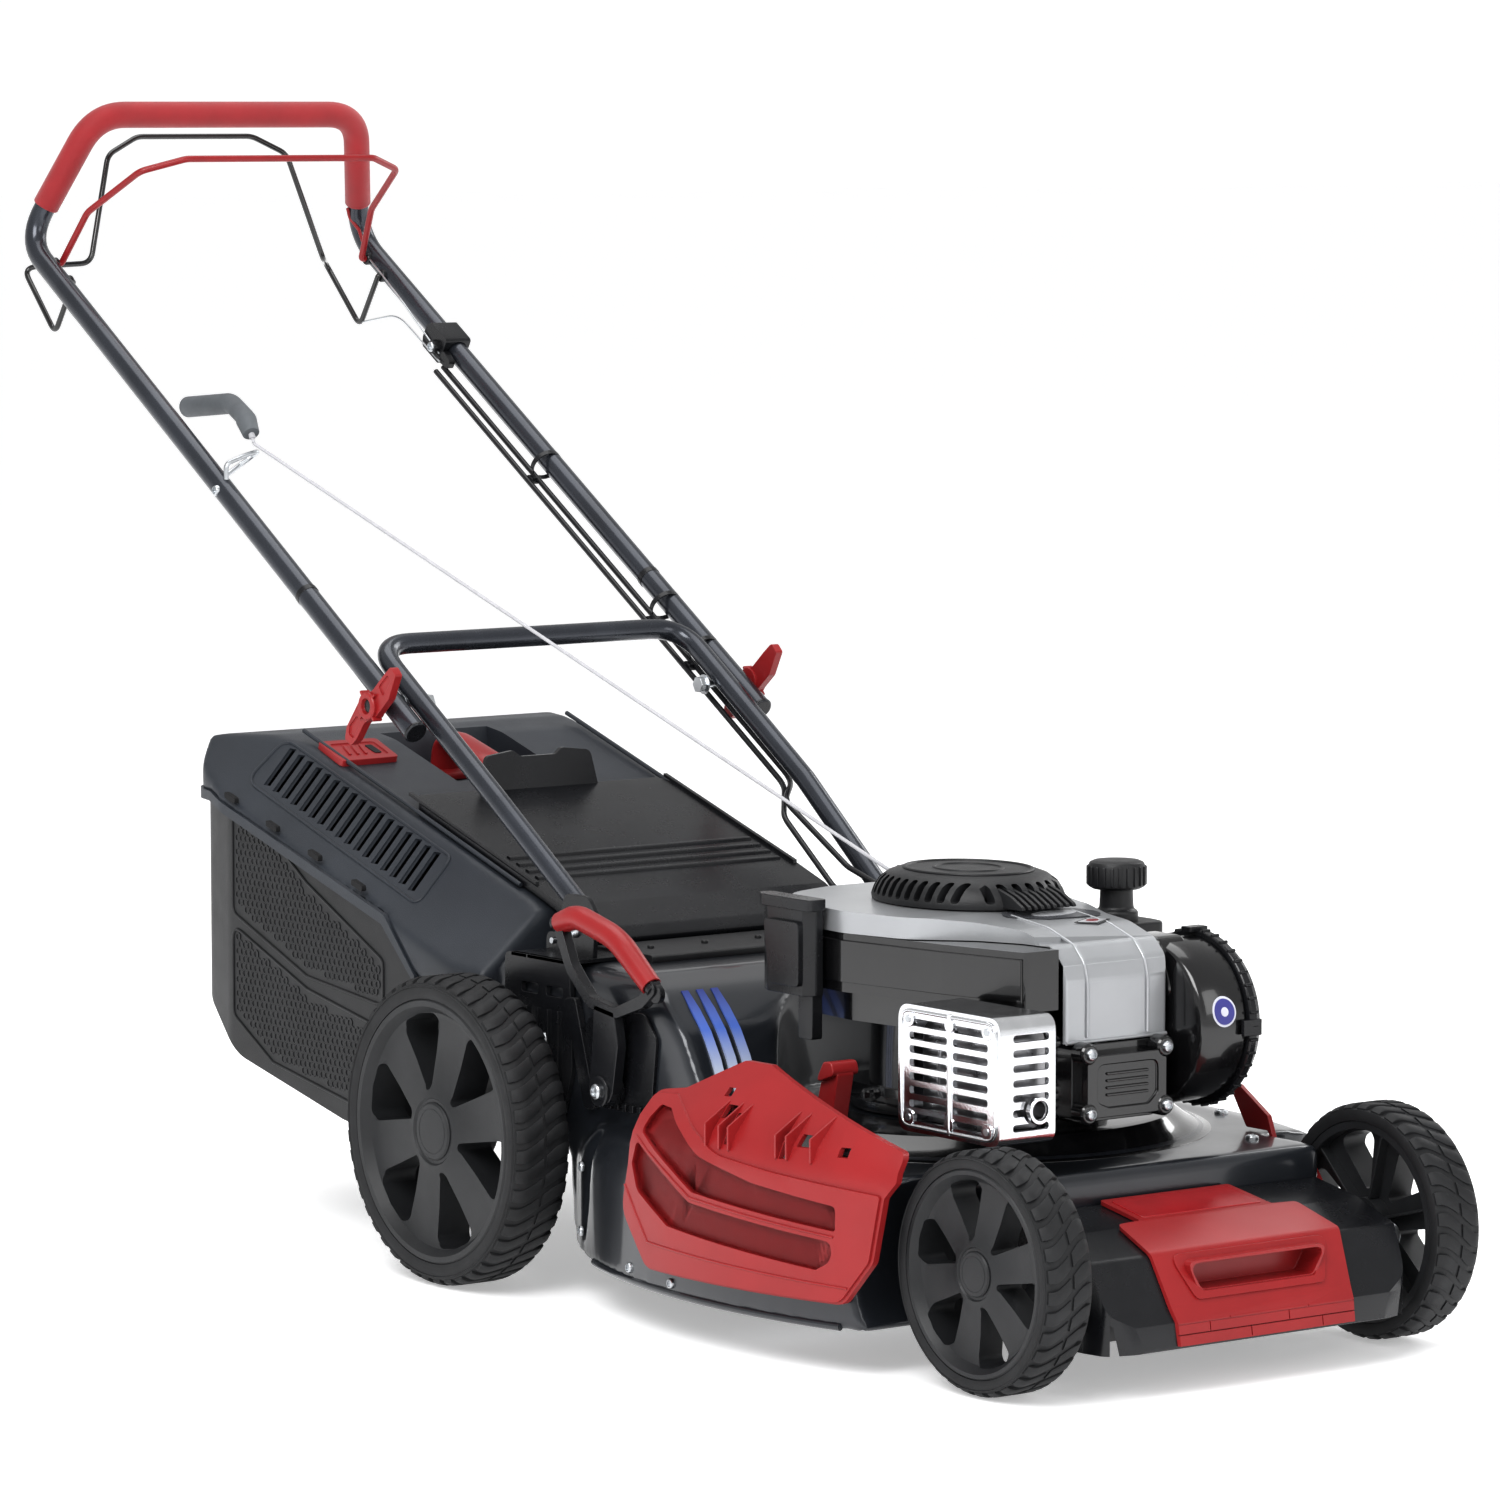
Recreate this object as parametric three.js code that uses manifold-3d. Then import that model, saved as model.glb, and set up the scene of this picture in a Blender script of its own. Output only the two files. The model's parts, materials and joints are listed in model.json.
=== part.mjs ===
// Petrol push lawn mower with rear catcher, side outlet cover, folding handle and central height lever.
// Millimetres, +Z up, +X to the operator's left, -Y to the front. Front axle stands at y = 0 until the
// whole group is centred at the end.
import * as THREE from 'three';
import { mergeVertices } from 'three/addons/utils/BufferGeometryUtils.js';
import Module from 'manifold-3d';

const wasm = await Module();
wasm.setup();

// ---------------------------------------------------------------- driving dimensions
const FRONT_WHEEL_R = 101.6;
const FRONT_WHEEL_W = 51;
const FRONT_FACE_X = 238;
const REAR_WHEEL_R = 139;
const REAR_WHEEL_W = 61;
const CATCHER_HALF = 234;
const CATCHER_TO_WHEEL = 8;
const REAR_FACE_X = CATCHER_HALF + CATCHER_TO_WHEEL + REAR_WHEEL_W;
const WHEELBASE = 690;
const CUT_R = 255;
const BLADE_Y = 300;
const SKIRT_Z = 38;
const SKIRT_R = 288;
const SHELL_T = 2.6;
const DECK_TOP_Z = 165;
const DOME_Z = 184;
const DOME_R = 178;
const TUNNEL_HALF = 214;
const TUNNEL_TOP_Z = 292;
const TUNNEL_END_Y = 716;
const TUBE_D = 21.5;
const FOAM_WALL = 1.75;
const GRIP_D = TUBE_D + 2 * FOAM_WALL;
const FOLD_Y = 904;
const FOLD_Z = 500;
const FOLD_X = 174.5 + TUBE_D;
const HANDLE_TOP_Z = 1040;
const CATCHER_END_Y = 1246;
const AXLE_D = 12;
const CRANK_ARM = 48;
const ENGINE_Z = DOME_Z + 2;

// ---------------------------------------------------------------- clearances
const GAP = 0.4;
const RUN_GAP = 0.5;

// ---------------------------------------------------------------- helpers
const group = new THREE.Group();
group.name = 'push_lawn_mower';

function solid(geometry) {
  const plain = geometry.index ? geometry.toNonIndexed() : geometry.clone();
  plain.deleteAttribute('normal');
  plain.deleteAttribute('uv');
  const merged = mergeVertices(plain, 1e-4);
  const mesh = new wasm.Mesh({
    numProp: 3,
    vertProperties: new Float32Array(merged.attributes.position.array),
    triVerts: new Uint32Array(merged.index.array),
  });
  mesh.merge();
  return new wasm.Manifold(mesh);
}

function geometryOf(manifold) {
  const mesh = manifold.getMesh();
  const geometry = new THREE.BufferGeometry();
  geometry.setAttribute('position', new THREE.BufferAttribute(new Float32Array(mesh.vertProperties), 3));
  geometry.setIndex(new THREE.BufferAttribute(new Uint32Array(mesh.triVerts), 1));
  geometry.computeVertexNormals();
  return geometry;
}

function add(name, shape, look, parent = group) {
  const geometry = shape.isBufferGeometry ? shape : geometryOf(shape);
  const material = new THREE.MeshStandardMaterial({
    color: look[0], roughness: look[1], metalness: look[2], name: `${name}_material`,
  });
  const mesh = new THREE.Mesh(geometry, material);
  mesh.name = name;
  parent.add(mesh);
  return mesh;
}

function boxAt(x0, x1, y0, y1, z0, z1) {
  const geometry = new THREE.BoxGeometry(x1 - x0, y1 - y0, z1 - z0);
  geometry.translate((x0 + x1) / 2, (y0 + y1) / 2, (z0 + z1) / 2);
  return solid(geometry);
}

// a round bar between two points
function bar(a, b, radius, sides = 16) {
  const from = new THREE.Vector3(...a);
  const to = new THREE.Vector3(...b);
  const geometry = new THREE.CylinderGeometry(radius, radius, from.distanceTo(to), sides, 1);
  const turn = new THREE.Quaternion().setFromUnitVectors(
    new THREE.Vector3(0, 1, 0), to.clone().sub(from).normalize());
  geometry.applyQuaternion(turn);
  const mid = from.add(to).multiplyScalar(0.5);
  geometry.translate(mid.x, mid.y, mid.z);
  return solid(geometry);
}

// a turned part on the vertical line through (x, y): rows of [radius, z]
function turnedZ(profile, x, y, sides = 32) {
  const points = profile.map(([r, z]) => new THREE.Vector2(r, z));
  const geometry = new THREE.LatheGeometry(points, sides);
  geometry.rotateX(Math.PI / 2);
  geometry.scale(1, 1, 1);
  geometry.translate(x, y, 0);
  return upright(geometry);
}

// a turned part on the cross line through (y, z): rows of [radius, x]
function turnedX(profile, y, z, sides = 32) {
  const points = profile.map(([r, x]) => new THREE.Vector2(r, x));
  const geometry = new THREE.LatheGeometry(points, sides);
  geometry.rotateZ(-Math.PI / 2);
  geometry.translate(0, y, z);
  return upright(geometry);
}

// turned profiles may be given in either order: the outside is always faced outward
function upright(geometry) {
  let body = solid(geometry);
  if (body.volume() < 0) {
    const index = geometry.index.array;
    for (let i = 0; i < index.length; i += 3) {
      const keep = index[i];
      index[i] = index[i + 1];
      index[i + 1] = keep;
    }
    body = solid(geometry);
  }
  return body;
}

// a flat outline of [y, z] pairs carried across the machine from x0 to x1
function acrossX(outline, x0, x1, bevel = 0) {
  const shape = new THREE.Shape(outline.map(([y, z]) => new THREE.Vector2(y, z)));
  const geometry = new THREE.ExtrudeGeometry(shape, {
    depth: x1 - x0 - 2 * bevel,
    bevelEnabled: bevel > 0,
    bevelThickness: bevel,
    bevelSize: bevel,
    bevelOffset: -bevel,
    bevelSegments: 2,
  });
  geometry.rotateX(Math.PI / 2);
  geometry.rotateZ(Math.PI / 2);
  geometry.translate(x0 + bevel, 0, 0);
  return solid(geometry);
}

// a plan outline of [x, y] pairs carried up from z0 to z1, with the top edge rounded over by bevel
function raised(outline, z0, z1, bevel = 0, segments = 3) {
  const shape = new THREE.Shape(outline.map(([x, y]) => new THREE.Vector2(x, y)));
  if (bevel === 0) {
    const plain = new THREE.ExtrudeGeometry(shape, { depth: z1 - z0, bevelEnabled: false });
    plain.translate(0, 0, z0);
    return solid(plain);
  }
  const geometry = new THREE.ExtrudeGeometry(shape, {
    depth: z1 - z0,
    bevelEnabled: true,
    bevelThickness: bevel,
    bevelSize: bevel,
    bevelOffset: -bevel,
    bevelSegments: segments,
  });
  geometry.translate(0, 0, z0 - bevel);
  const body = solid(geometry);
  return body.trimByPlane([0, 0, 1], z0);
}

// a path of straight runs joined by round bends
class BentPath extends THREE.Curve {
  constructor(corners, bend, steps = 5) {
    super();
    const pts = corners.map((c) => new THREE.Vector3(...c));
    this.spots = [];
    this.ways = [];
    for (let i = 0; i < pts.length; i += 1) {
      const radius = Array.isArray(bend) ? bend[i] : bend;
      if (i === 0 || i === pts.length - 1 || radius === 0) {
        const way = i === 0 ? pts[1].clone().sub(pts[0]) : pts[i].clone().sub(pts[i - 1]);
        this.spots.push(pts[i]);
        this.ways.push(way.normalize());
        continue;
      }
      this.addBend(pts[i - 1], pts[i], pts[i + 1], radius, steps);
    }
  }

  addBend(before, corner, after, radius, steps) {
    const u = before.clone().sub(corner).normalize();
    const v = after.clone().sub(corner).normalize();
    const half = Math.acos(THREE.MathUtils.clamp(u.dot(v), -1, 1)) / 2;
    if (half > Math.PI / 2 - 0.01) {
      return;
    }
    const run = radius / Math.tan(half);
    const start = corner.clone().addScaledVector(u, run);
    const end = corner.clone().addScaledVector(v, run);
    const inward = u.clone().add(v).normalize();
    const centre = corner.clone().addScaledVector(inward, radius / Math.sin(half));
    const a = start.clone().sub(centre);
    const b = end.clone().sub(centre);
    const sweep = a.angleTo(b);
    for (let k = 0; k <= steps; k += 1) {
      const t = k / steps;
      const p = a.clone().multiplyScalar(Math.sin((1 - t) * sweep) / Math.sin(sweep))
        .addScaledVector(b, Math.sin(t * sweep) / Math.sin(sweep));
      const way = u.clone().multiplyScalar(-(1 - t)).addScaledVector(v, t).normalize();
      this.spots.push(p.add(centre));
      this.ways.push(way);
    }
  }

  getPoint(t) {
    const at = t * (this.spots.length - 1);
    const i = Math.min(Math.floor(at + 1e-9), this.spots.length - 2);
    return this.spots[i].clone().lerp(this.spots[i + 1], at - i);
  }

  getPointAt(t) {
    return this.getPoint(t);
  }

  getTangent(t) {
    const i = Math.round(t * (this.spots.length - 1));
    return this.ways[i].clone();
  }

  getTangentAt(t) {
    return this.getTangent(t);
  }
}

function rod(corners, bend, radius, sides = 12, steps = 5) {
  const path = new BentPath(corners, bend, steps);
  const ring = [];
  for (let i = 0; i < sides; i += 1) {
    const a = (i / sides) * 2 * Math.PI;
    ring.push(new THREE.Vector2(radius * Math.cos(a), radius * Math.sin(a)));
  }
  const geometry = new THREE.ExtrudeGeometry(new THREE.Shape(ring), {
    steps: path.spots.length - 1,
    extrudePath: path,
    bevelEnabled: false,
  });
  return solid(geometry);
}

const mirrorX = (body) => body.mirror([1, 0, 0]);
const joinAll = (list) => list.reduce((all, one) => all.add(one));

// ---------------------------------------------------------------- finishes: colour, roughness, metalness
const CHARCOAL_TUBE = ['#3b3f49', 0.35, 0.7];
const RED_PLASTIC = ['#b2383a', 0.5, 0];
const RED_STEEL = ['#a8282c', 0.4, 0.3];
const BLACK_PLASTIC = ['#1d1e20', 0.55, 0];
const CATCHER_GREY = ['#40444d', 0.5, 0];
const DECK_PAINT = ['#26282c', 0.25, 0.3];
const GLOSS_BLACK = ['#101113', 0.2, 0.1];
const SILVER_PLASTIC = ['#b4b6ba', 0.3, 0.4];
const CAST_METAL = ['#c9cbce', 0.3, 0.9];
const STEEL = ['#a9acb0', 0.35, 0.9];
const RUBBER = ['#202225', 0.85, 0];
const RIM_PLASTIC = ['#34363a', 0.55, 0];
const GRIP_GREY = ['#6a6e74', 0.8, 0];
const ROPE_WHITE = ['#e9eaec', 0.8, 0];

// ---------------------------------------------------------------- wheels
function tyreBody(radius, width, faceX, y, side) {
  const inner = faceX - width;
  const bead = radius * 0.855;
  const profile = [
    [bead, inner + 2], [radius * 0.93, inner], [radius - 4, inner + 5], [radius, inner + 13],
    [radius, faceX - 13], [radius - 4, faceX - 5], [radius * 0.93, faceX], [bead, faceX - 2],
    [bead, inner + 2],
  ].map(([r, x]) => [r, side * x]);
  return turnedX(profile, y, radius, 30);
}

function rimBody(radius, width, faceX, y, side, hubHole) {
  const inner = faceX - width;
  const edge = radius * 0.855 - GAP;
  const lip = edge - radius * 0.06;
  const hub = radius * 0.2;
  const profile = [
    [hubHole, inner + 5], [hub, inner + 5], [hub, inner + 18], [lip, inner + 16], [lip, inner + 3],
    [edge, inner + 3], [edge, faceX - 3], [lip, faceX - 1], [lip - 3, faceX - 10],
    [hub * 1.15, faceX - 9], [hub, faceX - 6], [hubHole, faceX - 6], [hubHole, inner + 5],
  ].map(([r, x]) => [r, side * x]);
  let rim = turnedX(profile, y, radius, 30);
  for (let i = 0; i < 6; i += 1) {
    rim = rim.subtract(windowBody(radius, faceX, width, y, side, (i / 6) * 2 * Math.PI + 0.26));
  }
  return rim;
}

// one of the six openings between the spokes of a rim
function windowBody(radius, faceX, width, y, side, angle) {
  const near = radius * 0.3;
  const far = radius * 0.72;
  const outline = [[near, -radius * 0.035], [far * 0.93, -radius * 0.185], [far, -radius * 0.1],
    [far, radius * 0.1], [far * 0.93, radius * 0.185], [near, radius * 0.035]];
  const turned = outline.map(([along, across]) => [
    y + along * Math.cos(angle) - across * Math.sin(angle),
    radius + along * Math.sin(angle) + across * Math.cos(angle),
  ]);
  const x0 = faceX - width - 5;
  const x1 = faceX + 5;
  return side > 0 ? acrossX(turned, x0, x1) : acrossX(turned, -x1, -x0);
}

function addWheel(name, radius, width, faceX, y, side) {
  add(`${name}_tyre`, tyreBody(radius, width, faceX, y, side), RUBBER);
  add(`${name}_rim`, rimBody(radius, width, faceX, y, side, AXLE_D / 2 + RUN_GAP), RIM_PLASTIC);
}

// ---------------------------------------------------------------- height setting: cranked axles, link and lever
const ARM_DROP = 3.6;
const FRONT_PIVOT = [-CRANK_ARM, FRONT_WHEEL_R - ARM_DROP];
const REAR_PIVOT = [WHEELBASE - CRANK_ARM, REAR_WHEEL_R - ARM_DROP];

function axleBody(pivot, wheelY, wheelZ, innerX, faceX) {
  const [py, pz] = pivot;
  const armX = innerX - 9;
  const parts = [bar([-armX, py, pz], [armX, py, pz], AXLE_D / 2)];
  for (const side of [-1, 1]) {
    parts.push(bar([side * (armX - 4), wheelY, wheelZ], [side * (faceX - 9), wheelY, wheelZ], AXLE_D / 2));
    const arm = acrossX(slotPlate(py, pz, wheelY, wheelZ, 11), side * armX - 3.5, side * armX + 3.5);
    parts.push(arm);
  }
  return joinAll(parts);
}

// outline of a flat link with round ends about two points
function slotPlate(y0, z0, y1, z1, r) {
  const turn = Math.atan2(z1 - z0, y1 - y0);
  const outline = [];
  for (let i = 0; i <= 6; i += 1) {
    const a = turn + Math.PI / 2 + (i / 6) * Math.PI;
    outline.push([y0 + r * Math.cos(a), z0 + r * Math.sin(a)]);
  }
  for (let i = 0; i <= 6; i += 1) {
    const a = turn - Math.PI / 2 + (i / 6) * Math.PI;
    outline.push([y1 + r * Math.cos(a), z1 + r * Math.sin(a)]);
  }
  return outline;
}

// ---------------------------------------------------------------- deck
// an oval dish: a turned profile stretched front to back about the blade line
function oval(profile, ratio, sides = 40) {
  return turnedZ(profile, 0, 0, sides).scale([1, ratio, 1]).translate([0, BLADE_Y, 0]);
}

const DECK_RATIO = 1.48;
const WHEEL_TRAVEL = 27;

function wheelWells(extra) {
  const front = FRONT_WHEEL_R + WHEEL_TRAVEL + extra;
  const rear = REAR_WHEEL_R + WHEEL_TRAVEL + extra;
  const frontX = FRONT_FACE_X - FRONT_WHEEL_W - 7 - extra;
  const rearX = REAR_FACE_X - REAR_WHEEL_W - 17 - extra;
  return joinAll([
    bar([frontX, 0, FRONT_WHEEL_R], [400, 0, FRONT_WHEEL_R], front, 32),
    bar([-400, 0, FRONT_WHEEL_R], [-frontX, 0, FRONT_WHEEL_R], front, 32),
    bar([rearX, WHEELBASE, REAR_WHEEL_R], [400, WHEELBASE, REAR_WHEEL_R], rear, 32),
    bar([-400, WHEELBASE, REAR_WHEEL_R], [-rearX, WHEELBASE, REAR_WHEEL_R], rear, 32),
  ]);
}

function bowlBody(inset) {
  const r = SKIRT_R - inset;
  const top = DECK_TOP_Z - inset;
  const low = inset === 0 ? SKIRT_Z : SKIRT_Z - 20;
  const bowl = oval([[0, low], [r, low], [r, top - 40], [r - 7, top - 18], [r - 26, top - 4],
    [r - 50, top], [0, top]], DECK_RATIO);
  const cut = boxAt(-400, 400, 40 + inset, 598 - inset, low - 5, top + 5);
  const dome = turnedZ([[0, top - 60], [DOME_R + 28 - inset, top - 60], [DOME_R + 28 - inset, top],
    [DOME_R - inset, DOME_Z - inset], [0, DOME_Z - inset]], 0, BLADE_Y, 36);
  return bowl.intersect(cut).add(dome);
}

function tunnelBody(inset) {
  const outline = inset === 0
    ? [[380, 60], [384, 150], [396, 190], [430, 248], [468, 281], [512, TUNNEL_TOP_Z],
      [TUNNEL_END_Y, TUNNEL_TOP_Z], [TUNNEL_END_Y, 172], [640, 172], [600, 120], [596, 60]]
    : [[384, 40], [387, 149], [399, 188.6], [432, 245.8], [469.5, 278.4], [512.5, TUNNEL_TOP_Z - inset],
      [TUNNEL_END_Y + 20, TUNNEL_TOP_Z - inset], [TUNNEL_END_Y + 20, 172 + inset],
      [638.5, 172 + inset], [597.5, 121], [593, 40]];
  const half = TUNNEL_HALF - inset;
  const body = acrossX(outline, -half, half);
  if (inset > 0) {
    return body;
  }
  const scoop = turnedZ([[0, 150], [158, 150], [168, 240], [185, 320], [0, 320]], 0, BLADE_Y, 40);
  return body.subtract(scoop.subtract(boxAt(-300, 300, 0, 700, 0, DOME_Z)));
}

function tunnelHollow() {
  const scoop = turnedZ([[0, 150], [158 + SHELL_T, 150], [168 + SHELL_T, 240], [185 + SHELL_T, 320], [0, 320]],
    0, BLADE_Y, 40);
  return tunnelBody(SHELL_T).subtract(scoop.subtract(boxAt(-300, 300, 0, 700, 0, DOME_Z - SHELL_T)));
}

function deckShell() {
  const apron = boxAt(-168, 168, -30, 80, SKIRT_Z, 106);
  const outer = joinAll([bowlBody(0), tunnelBody(0), apron]).subtract(wheelWells(0));
  const inside = joinAll([bowlBody(SHELL_T), tunnelHollow(),
    boxAt(-168 + SHELL_T, 168 - SHELL_T, -30 + SHELL_T, 90, SKIRT_Z - 20, 106 - SHELL_T)]);
  let shell = outer.subtract(inside.subtract(wheelWells(SHELL_T)));
  shell = shell.subtract(bar([0, BLADE_Y, 150], [0, BLADE_Y, 200], 17, 24));
  shell = shell.subtract(boxAt(-330, -240, 150, 352, 62, 138)).add(coverLugs());
  for (const side of [-1, 1]) {
    const lug = acrossX([[-28, 84], [-58, 84], [-58, 106], [-28, 106]], side * 140 - 3, side * 140 + 3);
    shell = shell.add(lug);
  }
  const [py, pz] = FRONT_PIVOT;
  return shell.subtract(bar([-200, py, pz], [200, py, pz], AXLE_D / 2 + RUN_GAP, 20));
}

// black bumper over the front axle
const BUMPER_TOP = [[-95, 38], [-92, 60], [-85, 71], [-66, 112], [-19, 128], [38, 138]];

function bumperBlock(inset, half) {
  const top = BUMPER_TOP.map(([y, z]) => [y + inset * 0.85, z - inset * (z > 60 ? 0.9 : 0)]);
  const low = inset === 0 ? 38 : 20;
  const outline = [[top[0][0], low], ...top.slice(1), [38 + (inset ? 10 : 0), top[5][1]],
    [38 + (inset ? 10 : 0), 110], [-31 + (inset ? 20 : 0), 110 - (inset ? 30 : 0)], [-31, low]];
  return acrossX(outline, -half + inset, half - inset);
}

function frontBumper() {
  const tip = [[-164, -84], [-168, -60], [-170, 40], [170, 40], [168, -60], [164, -84], [120, -98], [-120, -98]];
  let body = bumperBlock(0, 170).intersect(raised(tip, 20, 200));
  const hollow = acrossX([[-89, 20], [-86, 62], [-79, 73], [-62, 106], [-34, 114], [-34, 20]], -160, 160);
  const hollowTop = acrossX([[-62, 100], [-62, 106], [-19, 123], [50, 134], [50, 108.5], [-34, 108.5]], -160, 160);
  body = body.subtract(hollow).subtract(hollowTop);
  body = body.subtract(boxAt(-168.6, 168.6, -32, 90, 0, 106 + GAP));
  for (const side of [-140, 140]) {
    body = body.subtract(boxAt(side - 3.5, side + 3.5, -60, -25, 82, 108));
  }
  const [py, pz] = FRONT_PIVOT;
  body = body.subtract(bar([-200, py, pz], [200, py, pz], AXLE_D / 2 + RUN_GAP, 20));
  return body.subtract(carrySlot(0));
}

// the finger opening of the front carry handle
function carrySlot(extra) {
  const shape = [[-78 - extra, 108 + extra], [-64 - extra, 80 - extra], [64 + extra, 80 - extra],
    [78 + extra, 108 + extra]];
  const outline = new THREE.Shape(shape.map(([x, z]) => new THREE.Vector2(x, z)));
  const geometry = new THREE.ExtrudeGeometry(outline, { depth: 80, bevelEnabled: false });
  geometry.rotateX(Math.PI / 2);
  geometry.translate(0, -40, 0);
  return solid(geometry);
}

function frontPanel() {
  const outline = [[-99, 41], [-96, 60], [-90, 71], [-69, 114.6], [-20, 131], [38, 141.5],
    [38, 138.6], [-19, 128.6], [-66.6, 112.5], [-85.6, 71.3], [-92.5, 60], [-95.6, 41]];
  const wide = acrossX(outline, -102, 102);
  const plan = raised([[-92, -110], [-98, -88], [-104, -66], [-98, -20], [-72, -18], [-71, 36], [71, 36],
    [72, -18], [98, -20], [104, -66], [98, -88], [92, -110]], 30, 160);
  return wide.intersect(plan).subtract(carrySlot(-3));
}

// outlet cover on the operator's right: a bulged plate standing off the deck wall
const COVER_RX = SKIRT_R + 9;

function coverShell(r) {
  return oval([[0, 30], [r, 30], [r, 165], [r - 6, 185], [r - 22, 208], [r - 60, 252], [0, 252]], DECK_RATIO);
}

function sideCover() {
  const outline = [[372, 60], [124, 62], [96, 100], [86, 155], [76, 168], [76, 192], [262, 244], [296, 244],
    [352, 216], [392, 210], [404, 146], [416, 106]];
  const skin = coverShell(COVER_RX).subtract(coverShell(COVER_RX - 5)).intersect(acrossX(outline, -320, -190));
  const room = coverShell(COVER_RX - 2).intersect(boxAt(-320, -190, 60, 420, 40, 248));
  const ears = [150, 306].map((y) => boxAt(-300, -240, y, y + 5, coverPinZ(y) - 8, coverPinZ(y) + 7));
  return skin.add(joinAll(ears).intersect(room)).subtract(coverPinBar(3.5))
    .subtract(boxAt(-253.5, -233, 124.5, 132, 149, 207)).subtract(boxAt(-253.5, -233, 331, 338, 149, 222));
}

const COVER_PIN = [[-246, 118, 193], [-246, 345, 208]];
const coverPinZ = (y) => 193 + (y - 118) * 15 / 227;

function coverPinBar(radius) {
  return bar(COVER_PIN[0], COVER_PIN[1], radius, 12);
}

function sideCoverPin() {
  return coverPinBar(3);
}

// the two deck lugs that carry the outlet cover's pin
function coverLugs() {
  return joinAll([126, 332].map((y) => boxAt(-251, -234, y, y + 5, 150, coverPinZ(y) + 5)))
    .subtract(bar([-246, 100, 191.8], [-246, 380, 210.3], 3.4, 12));
}

// ---------------------------------------------------------------- engine
function engineBlock() {
  const case_ = turnedZ([[14, ENGINE_Z], [104, ENGINE_Z], [104, 195], [88, 199], [84, 290], [60, 296], [14, 296], [14, ENGINE_Z]],
    0, BLADE_Y, 36);
  const parts = [case_, boxAt(-46, 46, 118, 250, 204, 268)];
  for (let i = 0; i < 5; i += 1) {
    parts.push(boxAt(-58, 58, 126, 196, 208 + 13 * i, 211 + 13 * i));
  }
  parts.push(bar([-40, 150, 238], [-123, 150, 238], 13, 16));
  return joinAll(parts).subtract(bar([0, BLADE_Y, 180], [0, BLADE_Y, 300], 13.5, 24));
}

function valveCover() {
  return acrossX([[117.5, 200], [117.5, 266], [92, 266], [84, 258], [80, 214], [86, 200]], -50, 50, 5);
}

const COWL_PLAN = [[-56, 99], [-62, 150], [-80, 190], [-122, 232], [-138, 300], [-132, 372], [-96, 430],
  [-40, 448], [40, 448], [80, 420], [96, 360], [92, 290], [72, 236], [56, 180], [56, 99]];

function cowlSide(inset) {
  const t = inset;
  return acrossX([[99 + t, 250], [99 + t, 318 - t / 2], [103 + t, 332 - t], [116, 345 - t], [150, 356 - t],
    [220, 363 - t], [470, 364 - t], [470, 345 - (t ? 20 : 0)], [118, 345 - (t ? 20 : 0)],
    [118, 250]], -160, 160);
}

function engineCowl() {
  const plan = raised(COWL_PLAN, 200, 370);
  const skin = cowlSide(0).intersect(plan).subtract(boxAt(-60, 60, 90, 120, 240, 268));
  const inner = raised(COWL_PLAN.map(([x, y]) => [x * 0.97, y < 110 ? y : BLADE_Y + (y - BLADE_Y) * 0.975]), 200, 370);
  const under = cowlSide(3.2).intersect(inner);
  return skin.subtract(under).subtract(bar([0, BLADE_Y, 340], [0, BLADE_Y, 380], 68, 40))
    .subtract(boxAt(-52.5, 52.5, 102.2, 122, 240, 330));
}

const BLOWER_PLAN = [[-96, 105], [-116, 190], [-135, 304], [-130, 380], [-96, 428], [-40, 444], [40, 444],
  [76, 428], [89, 380], [89, 232], [58, 190], [54, 105]];

function blowerHousing() {
  const outer = raised(BLOWER_PLAN, 297, 343.5, 0);
  const inner = raised(BLOWER_PLAN.map(([x, y]) => [x * 0.965, BLADE_Y - 22 + (y - BLADE_Y + 22) * 0.965]), 280, 340);
  return outer.subtract(inner).subtract(boxAt(-59, 60, 95, 118.6, 290, 345))
    .subtract(bar([0, BLADE_Y, 330], [0, BLADE_Y, 350], 66, 36));
}

function ventDome() {
  const outer = turnedZ([[0, 358], [58, 358], [58, 364.4], [82, 364.4], [81, 372], [74, 384], [60, 391], [0, 391]],
    0, 0, 28).scale([0.96, 1.12, 1]).translate([0, BLADE_Y, 0]);
  const inner = turnedZ([[0, 350], [55, 350], [55, 367], [76, 368], [70, 380], [57, 387.5], [0, 387.5]],
    0, 0, 28).scale([0.96, 1.12, 1]).translate([0, BLADE_Y, 0]);
  let dome = outer.subtract(inner);
  for (let i = 0; i < 7; i += 1) {
    const y = BLADE_Y - 42 + i * 14;
    dome = dome.subtract(boxAt(-90, -40, y - 4, y + 4, 369, 385));
    dome = dome.subtract(boxAt(40, 90, y - 4, y + 4, 369, 385));
  }
  dome = dome.subtract(bar([-24, 350, 376], [-37.5, 414, 403], 4.5, 12));
  return dome.add(bar([0, BLADE_Y, 367], [0, BLADE_Y, 389], 5, 12));
}

function starterPulley() {
  return turnedZ([[5.6, 369], [44, 369], [44, 371], [36, 373], [36, 378], [44, 380], [44, 382], [5.6, 382], [5.6, 369]],
    0, BLADE_Y, 20);
}

function fuelTank() {
  const body = raised([[92, 208], [146, 208], [150, 226], [150, 320], [140, 334], [92, 334]], 297, 337, 6);
  return body.add(bar([114, 236, 330], [114, 236, 379], 14, 20));
}

function fuelCap() {
  return turnedZ([[0, 396], [22, 396], [25, 392], [25, 374], [22, 371], [15, 371], [15, 380], [0, 380], [0, 396]],
    114, 236, 28);
}

function filterHousing() {
  return turnedX([[0, 64], [60, 64], [71, 72], [71, 112], [0, 112]], 132, 270, 32);
}

function filterCover() {
  return turnedX([[0, 112.5], [75, 112.5], [75, 122], [70, 130], [40, 134], [0, 134]], 132, 270, 32);
}

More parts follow.
